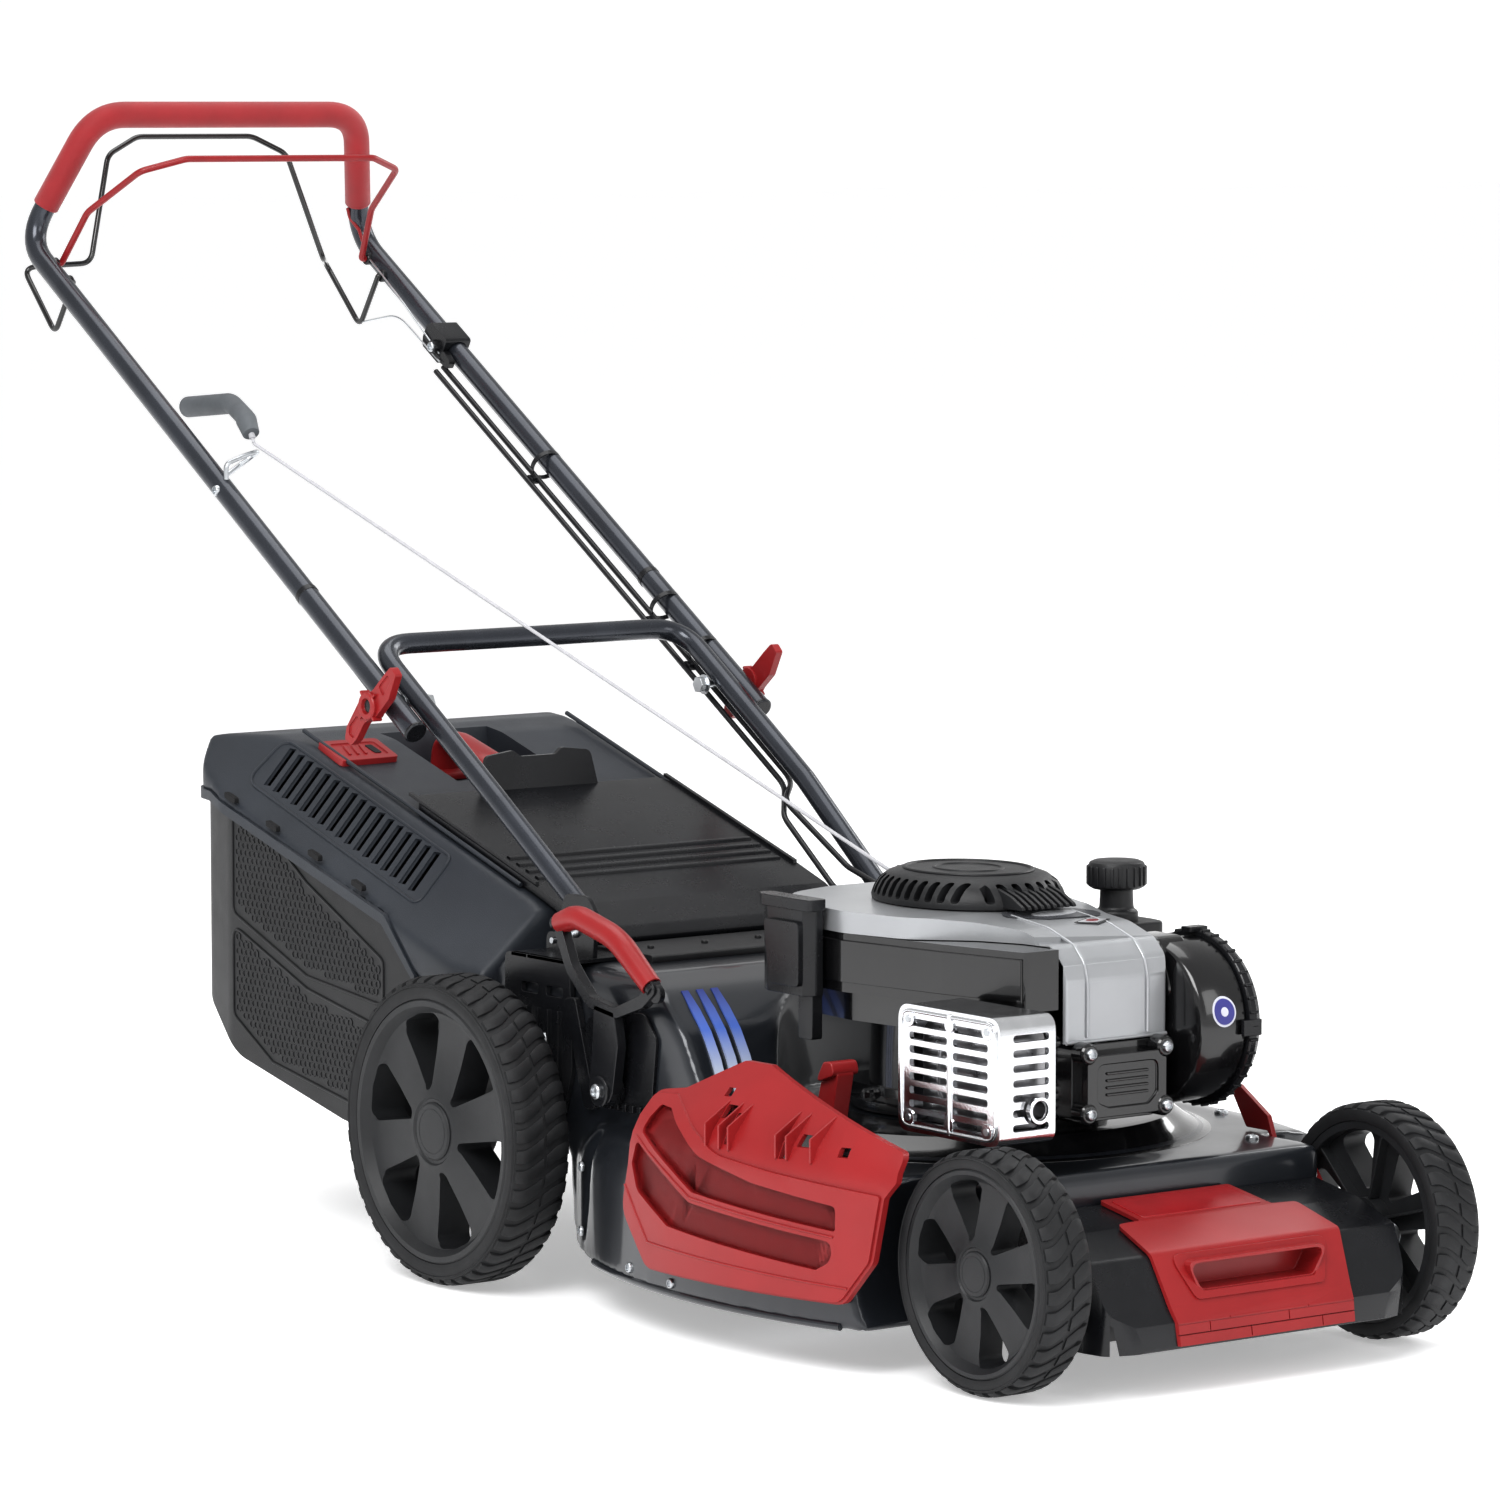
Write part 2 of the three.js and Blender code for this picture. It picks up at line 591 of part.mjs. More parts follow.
function mufflerBody() {
  const box = boxAt(-172, -124, 38, 148, 204, 292);
  return box.add(bar([-148, 20, 226], [-148, 42, 226], 10, 20))
    .subtract(bar([-148, 10, 226], [-148, 44, 226], 7.5, 20));
}

function mufflerGuard() {
  const face = [[26, 206], [34, 197], [152, 197], [161, 206], [161, 296], [152, 304], [34, 304], [26, 296]];
  let guard = acrossX(face, -186, -126, 4);
  guard = guard.subtract(boxAt(-181, -100, 30, 156.5, 201, 299.5));
  for (let i = 0; i < 7; i += 1) {
    guard = guard.subtract(boxAt(-190, -178, 40, 147, 209 + 13 * i, 216.5 + 13 * i));
    guard = guard.subtract(boxAt(-172, -134, 20, 33, 206 + 13 * i, 213 + 13 * i));
  }
  return guard.subtract(bar([-148, 10, 226], [-148, 34, 226], 13, 20));
}

function brakeBracket() {
  return raised([[-158, 330], [-150, 322], [-140, 322], [-140.5, 392], [-150, 396], [-158, 380]], 288, 366, 0);
}

// ---------------------------------------------------------------- blade spindle
function crankshaft() {
  return turnedZ([[0, 60], [32, 60], [32, 68], [14, 74], [12.5, 84], [12.5, 302], [78, 302], [80, 306], [80, 318],
    [40, 324], [10, 328], [0, 328]], 0, BLADE_Y, 20);
}

function blade() {
  const r = CUT_R - 5;
  const outline = [[-r, -22], [-r + 70, -28], [-60, -30], [60, -30], [r - 70, -28], [r - 4, -30],
    [r, 22], [r - 70, 28], [60, 30], [-60, 30], [-r + 70, 28], [-r + 4, 30]];
  const flat = raised(outline, 55.5, 59.5).subtract(bar([0, 0, 50], [0, 0, 65], 9, 16));
  const lifts = [raised([[r - 66, 22], [r - 2, 16], [r - 2, 26], [r - 66, 30]], 59, 72),
    raised([[-r + 66, -22], [-r + 2, -16], [-r + 2, -26], [-r + 66, -30]], 59, 72)];
  return joinAll([flat, ...lifts]).translate([0, BLADE_Y, 0]);
}

function bladeBolt() {
  const head = new THREE.CylinderGeometry(14, 14, 9, 6, 1);
  head.rotateX(Math.PI / 2);
  head.translate(0, BLADE_Y, 50.5);
  return solid(head).add(bar([0, BLADE_Y, 52], [0, BLADE_Y, 59.6], 8.5, 16));
}

// ---------------------------------------------------------------- grass catcher
const SEAM = [[1250, 402], [1166, 397], [862, 309], [812, 258], [718, 258]];

const catcherPlan = (inset, half = CATCHER_HALF) => {
  const h = half - inset;
  const end = CATCHER_END_Y - inset;
  return [[-h + 14, 700], [-h, 760], [-h, end - 106], [-h + 9, end - 62], [-h + 34, end - 30], [-h + 84, end - 8],
    [-h + 150, end], [h - 150, end], [h - 84, end - 8], [h - 34, end - 30], [h - 9, end - 62], [h, end - 106],
    [h, 760], [h - 14, 700]];
};

// the lid's long edges slope down and out from the flat top
function slopeSides(body, inset) {
  const drop = 62;
  const run = 74;
  const n = new THREE.Vector3(drop, 0.316 * run, -run).normalize();
  const at = n.x * -158 + n.y * 740 + n.z * (334 - inset) + inset * 0.2;
  return body.trimByPlane([n.x, n.y, n.z], at).trimByPlane([-n.x, n.y, n.z], at);
}

function lidBlock(inset) {
  const t = inset;
  const dip = t === 0 ? 0 : -40;
  const outline = [[1250, 402 + dip], [1250, 428 - t], [1236, 442 - t], [1206, 451 - t], [1150, 453 - t],
    [1100, 446 - t], [980, 410 - t], [740, 334 - t], [718 + t, 324 - t], [718 + t, 258 + dip],
    [812, 258 + dip], [862, 309 + dip], [1166, 397 + dip]];
  return slopeSides(acrossX(outline, -260, 260), inset);
}

// the carry-handle pocket sunk in the lid
function pocketBlock(extra) {
  return acrossX([[1135 + extra, 520], [1118 + extra, 402 - extra], [1000 - extra, 372 - extra],
    [985 - extra, 520]], -62 - extra, 62 + extra);
}

function catcherLid() {
  const outer = lidBlock(0).intersect(raised(catcherPlan(0), 200, 500));
  const inner = lidBlock(3).intersect(raised(catcherPlan(3), 150, 500));
  let lid = outer.subtract(inner.subtract(pocketBlock(3)));
  lid = lid.subtract(pocketBlock(0));
  for (let i = 0; i < 12; i += 1) {
    const y = 868 + i * 20;
    lid = lid.subtract(boxAt(-216, -172, y - 3, y + 3, 330, 470));
    lid = lid.subtract(boxAt(172, 216, y - 3, y + 3, 330, 470));
  }
  return lid.subtract(boxAt(-196, 196, 700, 730, 240, 288));
}

function catcherBase() {
  const seam = SEAM.map(([y, z]) => [y, z - GAP]);
  const low = [[718, 186], [748, 164], [778, 116], [806, 100], [940, 112], [1120, 152], [1196, 206], [1240, 320]];
  const outline = [...seam.slice().reverse(), ...low.slice().reverse()];
  const lowIn = [[715, 189], [750, 167], [781, 118.6], [807, 103.2], [939, 115], [1118.5, 155], [1193, 208], [1237, 321]];
  const outlineIn = [[700, 520], [1245, 520], [1245, 402], ...lowIn.slice().reverse(), [700, 189]];
  const outer = acrossX(outline, -260, 260).intersect(raised(catcherPlan(5), 50, 500));
  const inner = acrossX(outlineIn, -260, 260).intersect(raised(catcherPlan(8), 50, 600));
  const side = inner.subtract(boxAt(-300, 300, 690, 722, 0, 600)).add(boxAt(-196, 196, 690, 730, 192, 270));
  return outer.subtract(side);
}

function catcherHandle() {
  return rod([[0, 1106, 402.8], [0, 1100, 446], [0, 1018, 424], [0, 1012, 378.8]], [0, 22, 22, 0], 8, 12, 4);
}

function fillIndicator() {
  const pad = boxAt(-32, 32, -24, 24, 0, 4);
  return pad.rotate([16.7, 0, 0]).translate([-124, 1070, 438.2]);
}

// rear outlet flap lying over the catcher lid, hung on a pin across the tunnel
const FLAP_PIN = [668, 304];

function rearFlap() {
  const top = [[664, 312], [700, 330], [740, 343.6], [948, 409], [953, 406], [952, 402.6], [742, 336.4], [706, 324],
    [700, 314], [676, 296.4], [660, 296.4], [656, 302]];
  const plate = acrossX(top, -150, 150);
  const tab = acrossX([[951, 403], [957, 438], [952, 439], [943, 406]], -62, 62);
  return plate.add(tab).subtract(bar([-200, ...FLAP_PIN], [200, ...FLAP_PIN], 3.5, 16));
}

function rearFlapPin() {
  return bar([-184, ...FLAP_PIN], [184, ...FLAP_PIN], 3, 12);
}

// ---------------------------------------------------------------- brackets, handle and lever
function handleBracket(side) {
  const outline = [[590, 296], [586, 200], [612, 124], [660, 118], [676, 150], [690, 200], [690, 296]];
  const x0 = TUNNEL_HALF + GAP;
  const plate = acrossX(outline, x0, x0 + 5).subtract(
    bar([200, ...REAR_PIVOT], [240, ...REAR_PIVOT], AXLE_D / 2 + RUN_GAP, 20));
  const shelf = boxAt(150, x0 + 5, 592, 655, TUNNEL_TOP_Z + GAP, TUNNEL_TOP_Z + 4);
  const ear = acrossX([[596, 296], [592, 336], [604, 348], [640, 348], [652, 296]], 186, 190);
  const pinEar = acrossX([[656, 294], [656, 312], [680, 312], [680, 294]], 176, 181)
    .add(boxAt(176, x0 + 5, 656, 680, TUNNEL_TOP_Z + GAP, TUNNEL_TOP_Z + 4));
  const hole = bar([170, ...FLAP_PIN], [200, ...FLAP_PIN], 3.5, 16);
  const body = joinAll([plate, shelf, ear, pinEar.subtract(hole)]);
  return side > 0 ? body : mirrorX(body);
}

const SLOPE = 0.6377;
const tubeZ = (y) => 822.7 + (y - 1404.6) * SLOPE;

function lowerHandle() {
  const half = [[176, 962, 550], [174.5, 762, 420], [166, 622, 318]];
  const left = half.map((p) => [...p]);
  const right = half.slice().reverse().map(([x, y, z]) => [-x, y, z]);
  return rod([...right, ...left], [0, 60, 38, 38, 60, 0], TUBE_D / 2 - 1, 12, 4)
    .subtract(bar([-240, FOLD_Y, FOLD_Z], [240, FOLD_Y, FOLD_Z], 3.6, 12));
}

const GRIP_FOOT = [197, 1551, 916];
const GRIP_CORNER = [154, 1489, HANDLE_TOP_Z];

function upperHandle() {
  const half = [[FOLD_X + 2, 862, tubeZ(862)], GRIP_FOOT, GRIP_CORNER];
  const right = half.map(([x, y, z]) => [-x, y, z]);
  const left = half.slice().reverse();
  return rod([...right, ...left], [0, 42, 46, 46, 42, 0], TUBE_D / 2, 12, 4)
    .subtract(bar([-240, FOLD_Y, FOLD_Z], [240, FOLD_Y, FOLD_Z], 3.6, 12));
}

function foamGrip() {
  const foot = new THREE.Vector3(...GRIP_FOOT).lerp(new THREE.Vector3(...GRIP_CORNER), 0.27);
  const a = foot.toArray();
  const b = GRIP_CORNER;
  const path = [[-a[0], a[1], a[2]], [-b[0], b[1], b[2]], b, a];
  const way = foot.clone().sub(new THREE.Vector3(...GRIP_CORNER)).normalize().multiplyScalar(12);
  const past = foot.clone().add(way).toArray();
  const longer = [[-past[0], past[1], past[2]], [-b[0], b[1], b[2]], b, past];
  return rod(path, [0, 46, 46, 0], GRIP_D / 2 + 0.6, 14, 4)
    .subtract(rod(longer, [0, 46, 46, 0], TUBE_D / 2 + 0.75, 12, 4));
}

const STOP_PIVOT = [1490, 876];
const DRIVE_PIVOT = [1517, 893];

function stopBail() {
  const half = [[68, 1551, 1018], [106, 1545, 1000], [138, 1527, 893], [180, 1588, 888], [181, 1525, 824],
    [180.5, ...STOP_PIVOT], [186, ...STOP_PIVOT]];
  const right = half.slice().reverse().map(([x, y, z]) => [-x, y, z]);
  return rod([...right, ...half], [0, 1.5, 9, 9, 12, 20, 30, 30, 20, 12, 9, 9, 1.5, 0], 2.8, 6, 3);
}

function driveBail() {
  const half = [[110, 1391, 997], [151, 1411, 985], [168, 1483, 944], [178, ...DRIVE_PIVOT], [186, ...DRIVE_PIVOT]];
  const right = half.slice().reverse().map(([x, y, z]) => [-x, y, z]);
  return rod([...right, ...half], [0, 4, 24, 16, 16, 16, 16, 24, 4, 0], 3.3, 6, 3);
}

function cableClamp() {
  const y = 1386;
  const block = raised([[-15, -17], [15, -17], [15, 17], [-15, 17]], -15, 15, 3, 1)
    .rotate([Math.atan(SLOPE) * 180 / Math.PI, 0, 0]).translate([194, y, tubeZ(y)]);
  return block.subtract(bar([195.5, y - 60, tubeZ(y - 60)], [197.5, y + 60, tubeZ(y + 60)], TUBE_D / 2 + 1.4, 24));
}

function foldClamp(side) {
  const wing = acrossX([[-44, 30], [-34, 38], [-8, 14], [10, 8], [38, -24], [40, -34], [30, -38], [8, -16],
    [-8, -10], [-30, 8]], 214, 222, 1.5);
  const boss = bar([212, 0, 0], [226, 0, 0], 13, 20);
  const body = wing.add(boss).subtract(bar([200, 0, 0], [220, 0, 0], 3.6, 12)).translate([0, FOLD_Y, FOLD_Z]);
  return side > 0 ? body : mirrorX(body);
}

function foldBolt(side) {
  const body = bar([155, FOLD_Y, FOLD_Z], [219, FOLD_Y, FOLD_Z], 3.2, 12)
    .add(bar([153, FOLD_Y, FOLD_Z], [160, FOLD_Y, FOLD_Z], 8, 16));
  return side > 0 ? body : mirrorX(body);
}

const GUIDE_Y = 1188;

function ropeGuide() {
  const z = tubeZ(GUIDE_Y);
  return rod([[-196.5, GUIDE_Y - 2, z + 13.6], [-196.5, GUIDE_Y - 2, z + 26], [-176, GUIDE_Y - 2, z + 32],
    [-158, GUIDE_Y - 2, z + 36], [-156, GUIDE_Y + 14, z + 30], [-185, GUIDE_Y + 16, z + 13]],
    [0, 8, 8, 7, 8, 0], 2.4, 8, 4);
}

const ROPE_TOP = [-166, 1184, 728];
const ROPE_LOW = [-30, 372, 384];

function starterGrip() {
  return rod([[-166, 1189, 737], [-163, 1204, 752], [-153, 1244, 764], [-150, 1330, 757]], [0, 14, 30, 0], 10, 12, 4);
}

function starterRope() {
  const a = ROPE_LOW;
  const b = ROPE_TOP;
  return rod([[-24, 350, 380], a, b], [0, 12, 0], 1.6, 6, 3);
}

function ropeEnd() {
  return rod([[-166, 1184.6, 729], [-166, 1188.6, 736.2]], 0, 1.6, 6);
}

// lever on the operator's right: stem, open loop and red grip
const LEVER_X = -231;
const LEVER_PIVOT = [520, 190];
const LEVER_ARC = [[594, 330], [560, 340], [500, 326], [446, 286]];

function heightLever() {
  const loop = acrossX([[590, 325], [572, 290], [540, 262], [498, 256], [458, 270], [440, 288], [447, 296],
    [462, 281], [500, 266], [536, 272], [564, 298], [580, 328]], LEVER_X - 5, LEVER_X + 5);
  const stem = acrossX([[500, 262], [494, 232], [502, 190], [508, 180], [532, 180], [538, 190], [532, 232], [530, 266]],
    LEVER_X - 5, LEVER_X + 5);
  const core = rod(LEVER_ARC.map(([y, z]) => [LEVER_X, y, z]), [0, 40, 90, 0], 6, 10, 4);
  const boss = bar([LEVER_X + 12, ...LEVER_PIVOT], [LEVER_X - 8, ...LEVER_PIVOT], 14, 20);
  return joinAll([loop, stem, core, boss]).subtract(bar([-260, ...LEVER_PIVOT], [-200, ...LEVER_PIVOT], 5.6, 16));
}

function leverGrip() {
  const path = LEVER_ARC.map(([y, z]) => [LEVER_X, y, z]);
  const outer = rod(path, [0, 40, 90, 0], 10, 12, 4).intersect(boxAt(-260, -200, 449, 588, 200, 400));
  return outer.subtract(rod(path, [0, 40, 90, 0], 6.7, 10, 4)).subtract(heightLever());
}

function leverPin() {
  return bar([-TUNNEL_HALF - GAP, ...LEVER_PIVOT], [LEVER_X - 10, ...LEVER_PIVOT], 5, 14);
}

// red latch that locks the outlet cover, by the engine's right side
function coverLatch() {
  return acrossX([[264, 179.4], [258, 200], [250, 226], [240, 244], [230, 246], [226, 236], [234, 200], [238, 179.4]],
    -200, -182, 2);
}

// fixed red trim plate inside the left front wheel
function sideTrim() {
  return acrossX([[152, 204], [112, 180], [104, 160], [52, 142], [36, 120], [44, 114], [94, 132], [102, 150],
    [112, 167], [140, 167], [158, 194]], 182.4, 185.6);
}

// sheathed cables along the left tube
function cableRun(dx, dz, ends, radius) {
  const along = [1372, 1210, 1010, 905, 790].map((y) => [183 + dx, y, tubeZ(y) - 15 + dz]);
  return rod([...along, ...ends], [0, ...Array(along.length + ends.length - 2).fill(22), 0], radius, 7, 3);
}

function stopCable() {
  return cableRun(-12, -4, [[136, 745, 388], [122, 650, 332], [96, 560, 322], [60, 470, 334]], 2.6);
}

function driveCable() {
  return cableRun(-3, 0, [[144, 754, 402], [138, 650, 350], [120, 548, 332], [92, 452, 324]], 2.6);
}

// ---------------------------------------------------------------- the whole machine
const frontInner = FRONT_FACE_X - FRONT_WHEEL_W;
const rearInner = REAR_FACE_X - REAR_WHEEL_W;

add('deck_shell', deckShell(), DECK_PAINT);
add('front_bumper', frontBumper(), BLACK_PLASTIC);
add('front_panel', frontPanel(), RED_PLASTIC);
add('side_trim', sideTrim(), RED_PLASTIC);
add('engine_block', engineBlock(), GLOSS_BLACK);
add('valve_cover', valveCover(), GLOSS_BLACK);
add('engine_cowl', engineCowl(), SILVER_PLASTIC);
add('blower_housing', blowerHousing(), GLOSS_BLACK);
add('vent_dome', ventDome(), BLACK_PLASTIC);
add('fuel_tank', fuelTank(), BLACK_PLASTIC);
add('fuel_cap', fuelCap(), BLACK_PLASTIC);
add('filter_housing', filterHousing(), GLOSS_BLACK);
add('filter_cover', filterCover(), BLACK_PLASTIC);
add('muffler', mufflerBody(), STEEL);
add('muffler_guard', mufflerGuard(), CAST_METAL);
add('brake_bracket', brakeBracket(), BLACK_PLASTIC);
add('starter_pulley', starterPulley(), BLACK_PLASTIC);

add('crankshaft', crankshaft(), STEEL);
add('blade', blade(), STEEL);
add('blade_bolt', bladeBolt(), STEEL);

add('handle_bracket_right', handleBracket(-1), GLOSS_BLACK);
add('handle_bracket_left', handleBracket(1), GLOSS_BLACK);
add('lower_handle', lowerHandle(), CHARCOAL_TUBE);
add('rear_flap_pin', rearFlapPin(), STEEL);
add('rear_flap', rearFlap(), BLACK_PLASTIC);
add('side_cover_pin', sideCoverPin(), STEEL);
add('side_cover', sideCover(), RED_PLASTIC);
add('cover_latch', coverLatch(), RED_PLASTIC);

add('catcher_lid', catcherLid(), CATCHER_GREY);
add('catcher_base', catcherBase(), BLACK_PLASTIC);
add('catcher_handle', catcherHandle(), RED_PLASTIC);
add('fill_indicator', fillIndicator(), RED_PLASTIC);

add('front_axle', axleBody(FRONT_PIVOT, 0, FRONT_WHEEL_R, frontInner, FRONT_FACE_X), STEEL);
add('rear_axle', axleBody(REAR_PIVOT, WHEELBASE, REAR_WHEEL_R, rearInner, REAR_FACE_X), STEEL);
addWheel('front_right', FRONT_WHEEL_R, FRONT_WHEEL_W, FRONT_FACE_X, 0, -1);
addWheel('front_left', FRONT_WHEEL_R, FRONT_WHEEL_W, FRONT_FACE_X, 0, 1);
addWheel('rear_right', REAR_WHEEL_R, REAR_WHEEL_W, REAR_FACE_X, WHEELBASE, -1);
addWheel('rear_left', REAR_WHEEL_R, REAR_WHEEL_W, REAR_FACE_X, WHEELBASE, 1);
add('lever_pin', leverPin(), STEEL);
add('height_lever', heightLever(), BLACK_PLASTIC);
add('lever_grip', leverGrip(), RED_PLASTIC);

add('upper_handle', upperHandle(), CHARCOAL_TUBE);
add('foam_grip', foamGrip(), RED_PLASTIC);
add('stop_bail', stopBail(), GLOSS_BLACK);
add('drive_bail', driveBail(), RED_STEEL);
add('cable_clamp', cableClamp(), BLACK_PLASTIC);
add('rope_guide', ropeGuide(), STEEL);
add('starter_grip', starterGrip(), GRIP_GREY);
add('fold_bolt_right', foldBolt(-1), STEEL);
add('fold_bolt_left', foldBolt(1), STEEL);
add('fold_clamp_right', foldClamp(-1), RED_PLASTIC);
add('fold_clamp_left', foldClamp(1), RED_PLASTIC);

add('starter_rope', starterRope(), ROPE_WHITE);
add('rope_end', ropeEnd(), ROPE_WHITE);
add('stop_cable', stopCable(), BLACK_PLASTIC);
add('drive_cable', driveCable(), BLACK_PLASTIC);

// origin: middle of the outer box, on the ground
const outerBox = new THREE.Box3().setFromObject(group);
group.position.set(0, -(outerBox.min.y + outerBox.max.y) / 2, 0);
group.updateMatrixWorld(true);

export default group;
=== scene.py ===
import json
import math

import bmesh
import bpy
from bpy.props import FloatProperty, FloatVectorProperty, PointerProperty
from bpy.types import Operator, Panel, PropertyGroup
from mathutils import Matrix, Vector


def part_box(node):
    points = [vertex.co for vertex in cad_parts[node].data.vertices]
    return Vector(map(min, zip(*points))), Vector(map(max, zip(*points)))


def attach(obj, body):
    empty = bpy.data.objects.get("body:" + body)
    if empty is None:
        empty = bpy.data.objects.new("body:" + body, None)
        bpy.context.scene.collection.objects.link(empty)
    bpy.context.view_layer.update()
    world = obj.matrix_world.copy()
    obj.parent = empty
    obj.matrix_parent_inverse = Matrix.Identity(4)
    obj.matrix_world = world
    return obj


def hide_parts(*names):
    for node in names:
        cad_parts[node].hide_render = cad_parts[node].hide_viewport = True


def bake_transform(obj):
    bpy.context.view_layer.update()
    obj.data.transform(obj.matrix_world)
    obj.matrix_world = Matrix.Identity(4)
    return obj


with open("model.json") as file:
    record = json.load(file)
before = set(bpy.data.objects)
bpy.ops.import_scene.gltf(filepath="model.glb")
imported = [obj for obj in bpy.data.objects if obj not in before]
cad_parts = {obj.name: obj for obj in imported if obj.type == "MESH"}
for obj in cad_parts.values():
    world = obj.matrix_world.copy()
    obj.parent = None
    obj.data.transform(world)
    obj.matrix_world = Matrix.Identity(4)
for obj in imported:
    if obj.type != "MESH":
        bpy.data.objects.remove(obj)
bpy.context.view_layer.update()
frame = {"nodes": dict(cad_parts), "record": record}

bl_info = {
    "name": "Petrol Lawn Mower",
    "version": (1, 0, 0),
    "blender": (4, 5, 0),
    "location": "View3D > Sidebar > Mower",
    "description": "Builds the visible pieces of a walk-behind mower around its packed frame",
    "category": "Object",
}

MM = 0.001


def spot_of(node):
    """Middle of a frame node's box."""
    low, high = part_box(node)
    return (Vector(low) + Vector(high)) / 2


AXLE_Y = spot_of("front_right_tyre").y
FRONT_R = (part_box("front_right_tyre")[1][2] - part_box("front_right_tyre")[0][2]) / 2 / MM
REAR_R = (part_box("rear_right_tyre")[1][2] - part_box("rear_right_tyre")[0][2]) / 2 / MM
REAR_Y = (spot_of("rear_right_tyre").y - AXLE_Y) / MM
BLADE_Y = (spot_of("crankshaft").y - AXLE_Y) / MM
FOLD = [(spot_of("fold_bolt_right") - Vector((0, AXLE_Y, 0)))[i] / MM for i in (1, 2)]


def at(x, y, z):
    """A point of the mower's own millimetres, front axle at y = 0, in the row frame's metres."""
    return Vector((x * MM, AXLE_Y + y * MM, z * MM))


# ---------------------------------------------------------------- shapes
def round_corners(points, radii, steps=4):
    """A closed 2-D outline with each corner rounded by its radius."""
    count = len(points)
    sizes = radii if hasattr(radii, "__len__") else [radii] * count
    made = []
    for i, size in enumerate(sizes):
        corner = Vector(points[i])
        to_last = Vector(points[i - 1]) - corner
        to_next = Vector(points[(i + 1) % count]) - corner
        half = to_last.angle(to_next) / 2
        if size <= 0 or half > 1.56:
            made.append(corner)
            continue
        run = min(size / math.tan(half), to_last.length * 0.48, to_next.length * 0.48)
        start = corner + to_last.normalized() * run
        end = corner + to_next.normalized() * run
        for k in range(steps + 1):
            t = k / steps
            made.append(start * (1 - t) ** 2 + corner * 2 * t * (1 - t) + end * t * t)
    return [tuple(p) for p in made]


def bend_path(points, radii, steps=6):
    """A run of straight lines in space with each inner corner rounded by its radius."""
    pts = [Vector(p) for p in points]
    sizes = radii if hasattr(radii, "__len__") else [radii] * len(pts)
    made = [pts[0]]
    for i in range(1, len(pts) - 1):
        back, on = pts[i - 1] - pts[i], pts[i + 1] - pts[i]
        half = back.angle(on) / 2
        if sizes[i] <= 0 or half > 1.56:
            made.append(pts[i])
            continue
        run = min(sizes[i] / math.tan(half), back.length * 0.49, on.length * 0.49)
        start, end = pts[i] + back.normalized() * run, pts[i] + on.normalized() * run
        for k in range(steps + 1):
            t = k / steps
            made.append(start * (1 - t) ** 2 + pts[i] * 2 * t * (1 - t) + end * t * t)
    made.append(pts[-1])
    return made


def join_rings(bm, rings, closed=False):
    """Quads between rings of vertices; the first and last ring meet if closed."""
    pairs = list(zip(rings, rings[1:]))
    if closed:
        pairs.append((rings[-1], rings[0]))
    for a, b in pairs:
        for i in range(len(a)):
            j = (i + 1) % len(a)
            bm.faces.new((a[i], a[j], b[j], b[i]))


def tube(points, radius, sides=20, hollow=0.0):
    """A round bar along points, in the mower's millimetres; a radius list tapers it. hollow leaves a bore."""
    bm = bmesh.new()
    pts = [Vector(p) for p in points]
    sizes = radius if hasattr(radius, "__len__") else [radius] * len(pts)
    ways = []
    for i in range(len(pts)):
        back = (pts[i] - pts[i - 1]).normalized() if i else None
        on = (pts[i + 1] - pts[i]).normalized() if i < len(pts) - 1 else None
        ways.append(((back or on) + (on or back)).normalized())
    side = ways[0].orthogonal().normalized()
    rings, bores = [], []
    for i, p in enumerate(pts):
        side = (side - ways[i] * side.dot(ways[i])).normalized()
        up = ways[i].cross(side)
        for r, into in ((sizes[i], rings), (hollow, bores)):
            turns = [k * 2 * math.pi / sides for k in range(sides)]
            into.append([bm.verts.new(at(*(p + (side * math.cos(a) + up * math.sin(a)) * r))) for a in turns])
    if hollow:
        join_rings(bm, rings + bores[::-1], closed=True)
    else:
        for v in [v for ring in bores for v in ring]:
            bm.verts.remove(v)
        join_rings(bm, rings)
        bm.faces.new(rings[0][::-1])
        bm.faces.new(rings[-1])
    return outward(bm)


def turned(profile, centre, axis="Z", steps=48, stretch=1.0):
    """A turned body about an axis through centre (mm): rows of (radius, place along the axis)."""
    bm = bmesh.new()
    rings = []
    for r, along in profile:
        if r < 1e-6:
            rings.append([bm.verts.new(turn_point(0, along, 0, centre, axis, stretch))])
            continue
        ring = [turn_point(r, along, k * 2 * math.pi / steps, centre, axis, stretch) for k in range(steps)]
        rings.append([bm.verts.new(p) for p in ring])
    pairs = list(zip(rings, rings[1:]))
    if len(rings[0]) > 1:
        pairs.append((rings[-1], rings[0]))
    for a, b in pairs:
        for i in range(steps):
            j = (i + 1) % steps
            face = [a[i % len(a)], a[j % len(a)], b[j % len(b)], b[i % len(b)]]
            face = [v for n, v in enumerate(face) if v not in face[:n]]
            if len(face) > 2:
                bm.faces.new(face)
    return outward(bm)


def turn_point(r, along, angle, centre, axis, stretch):
    u, v = r * math.cos(angle), r * math.sin(angle)
    if axis == "X":
        return at(centre[0] + along, centre[1] + u * stretch, centre[2] + v)
    if axis == "Y":
        return at(centre[0] + u, centre[1] + along, centre[2] + v * stretch)
    return at(centre[0] + u, centre[1] + v * stretch, centre[2] + along)


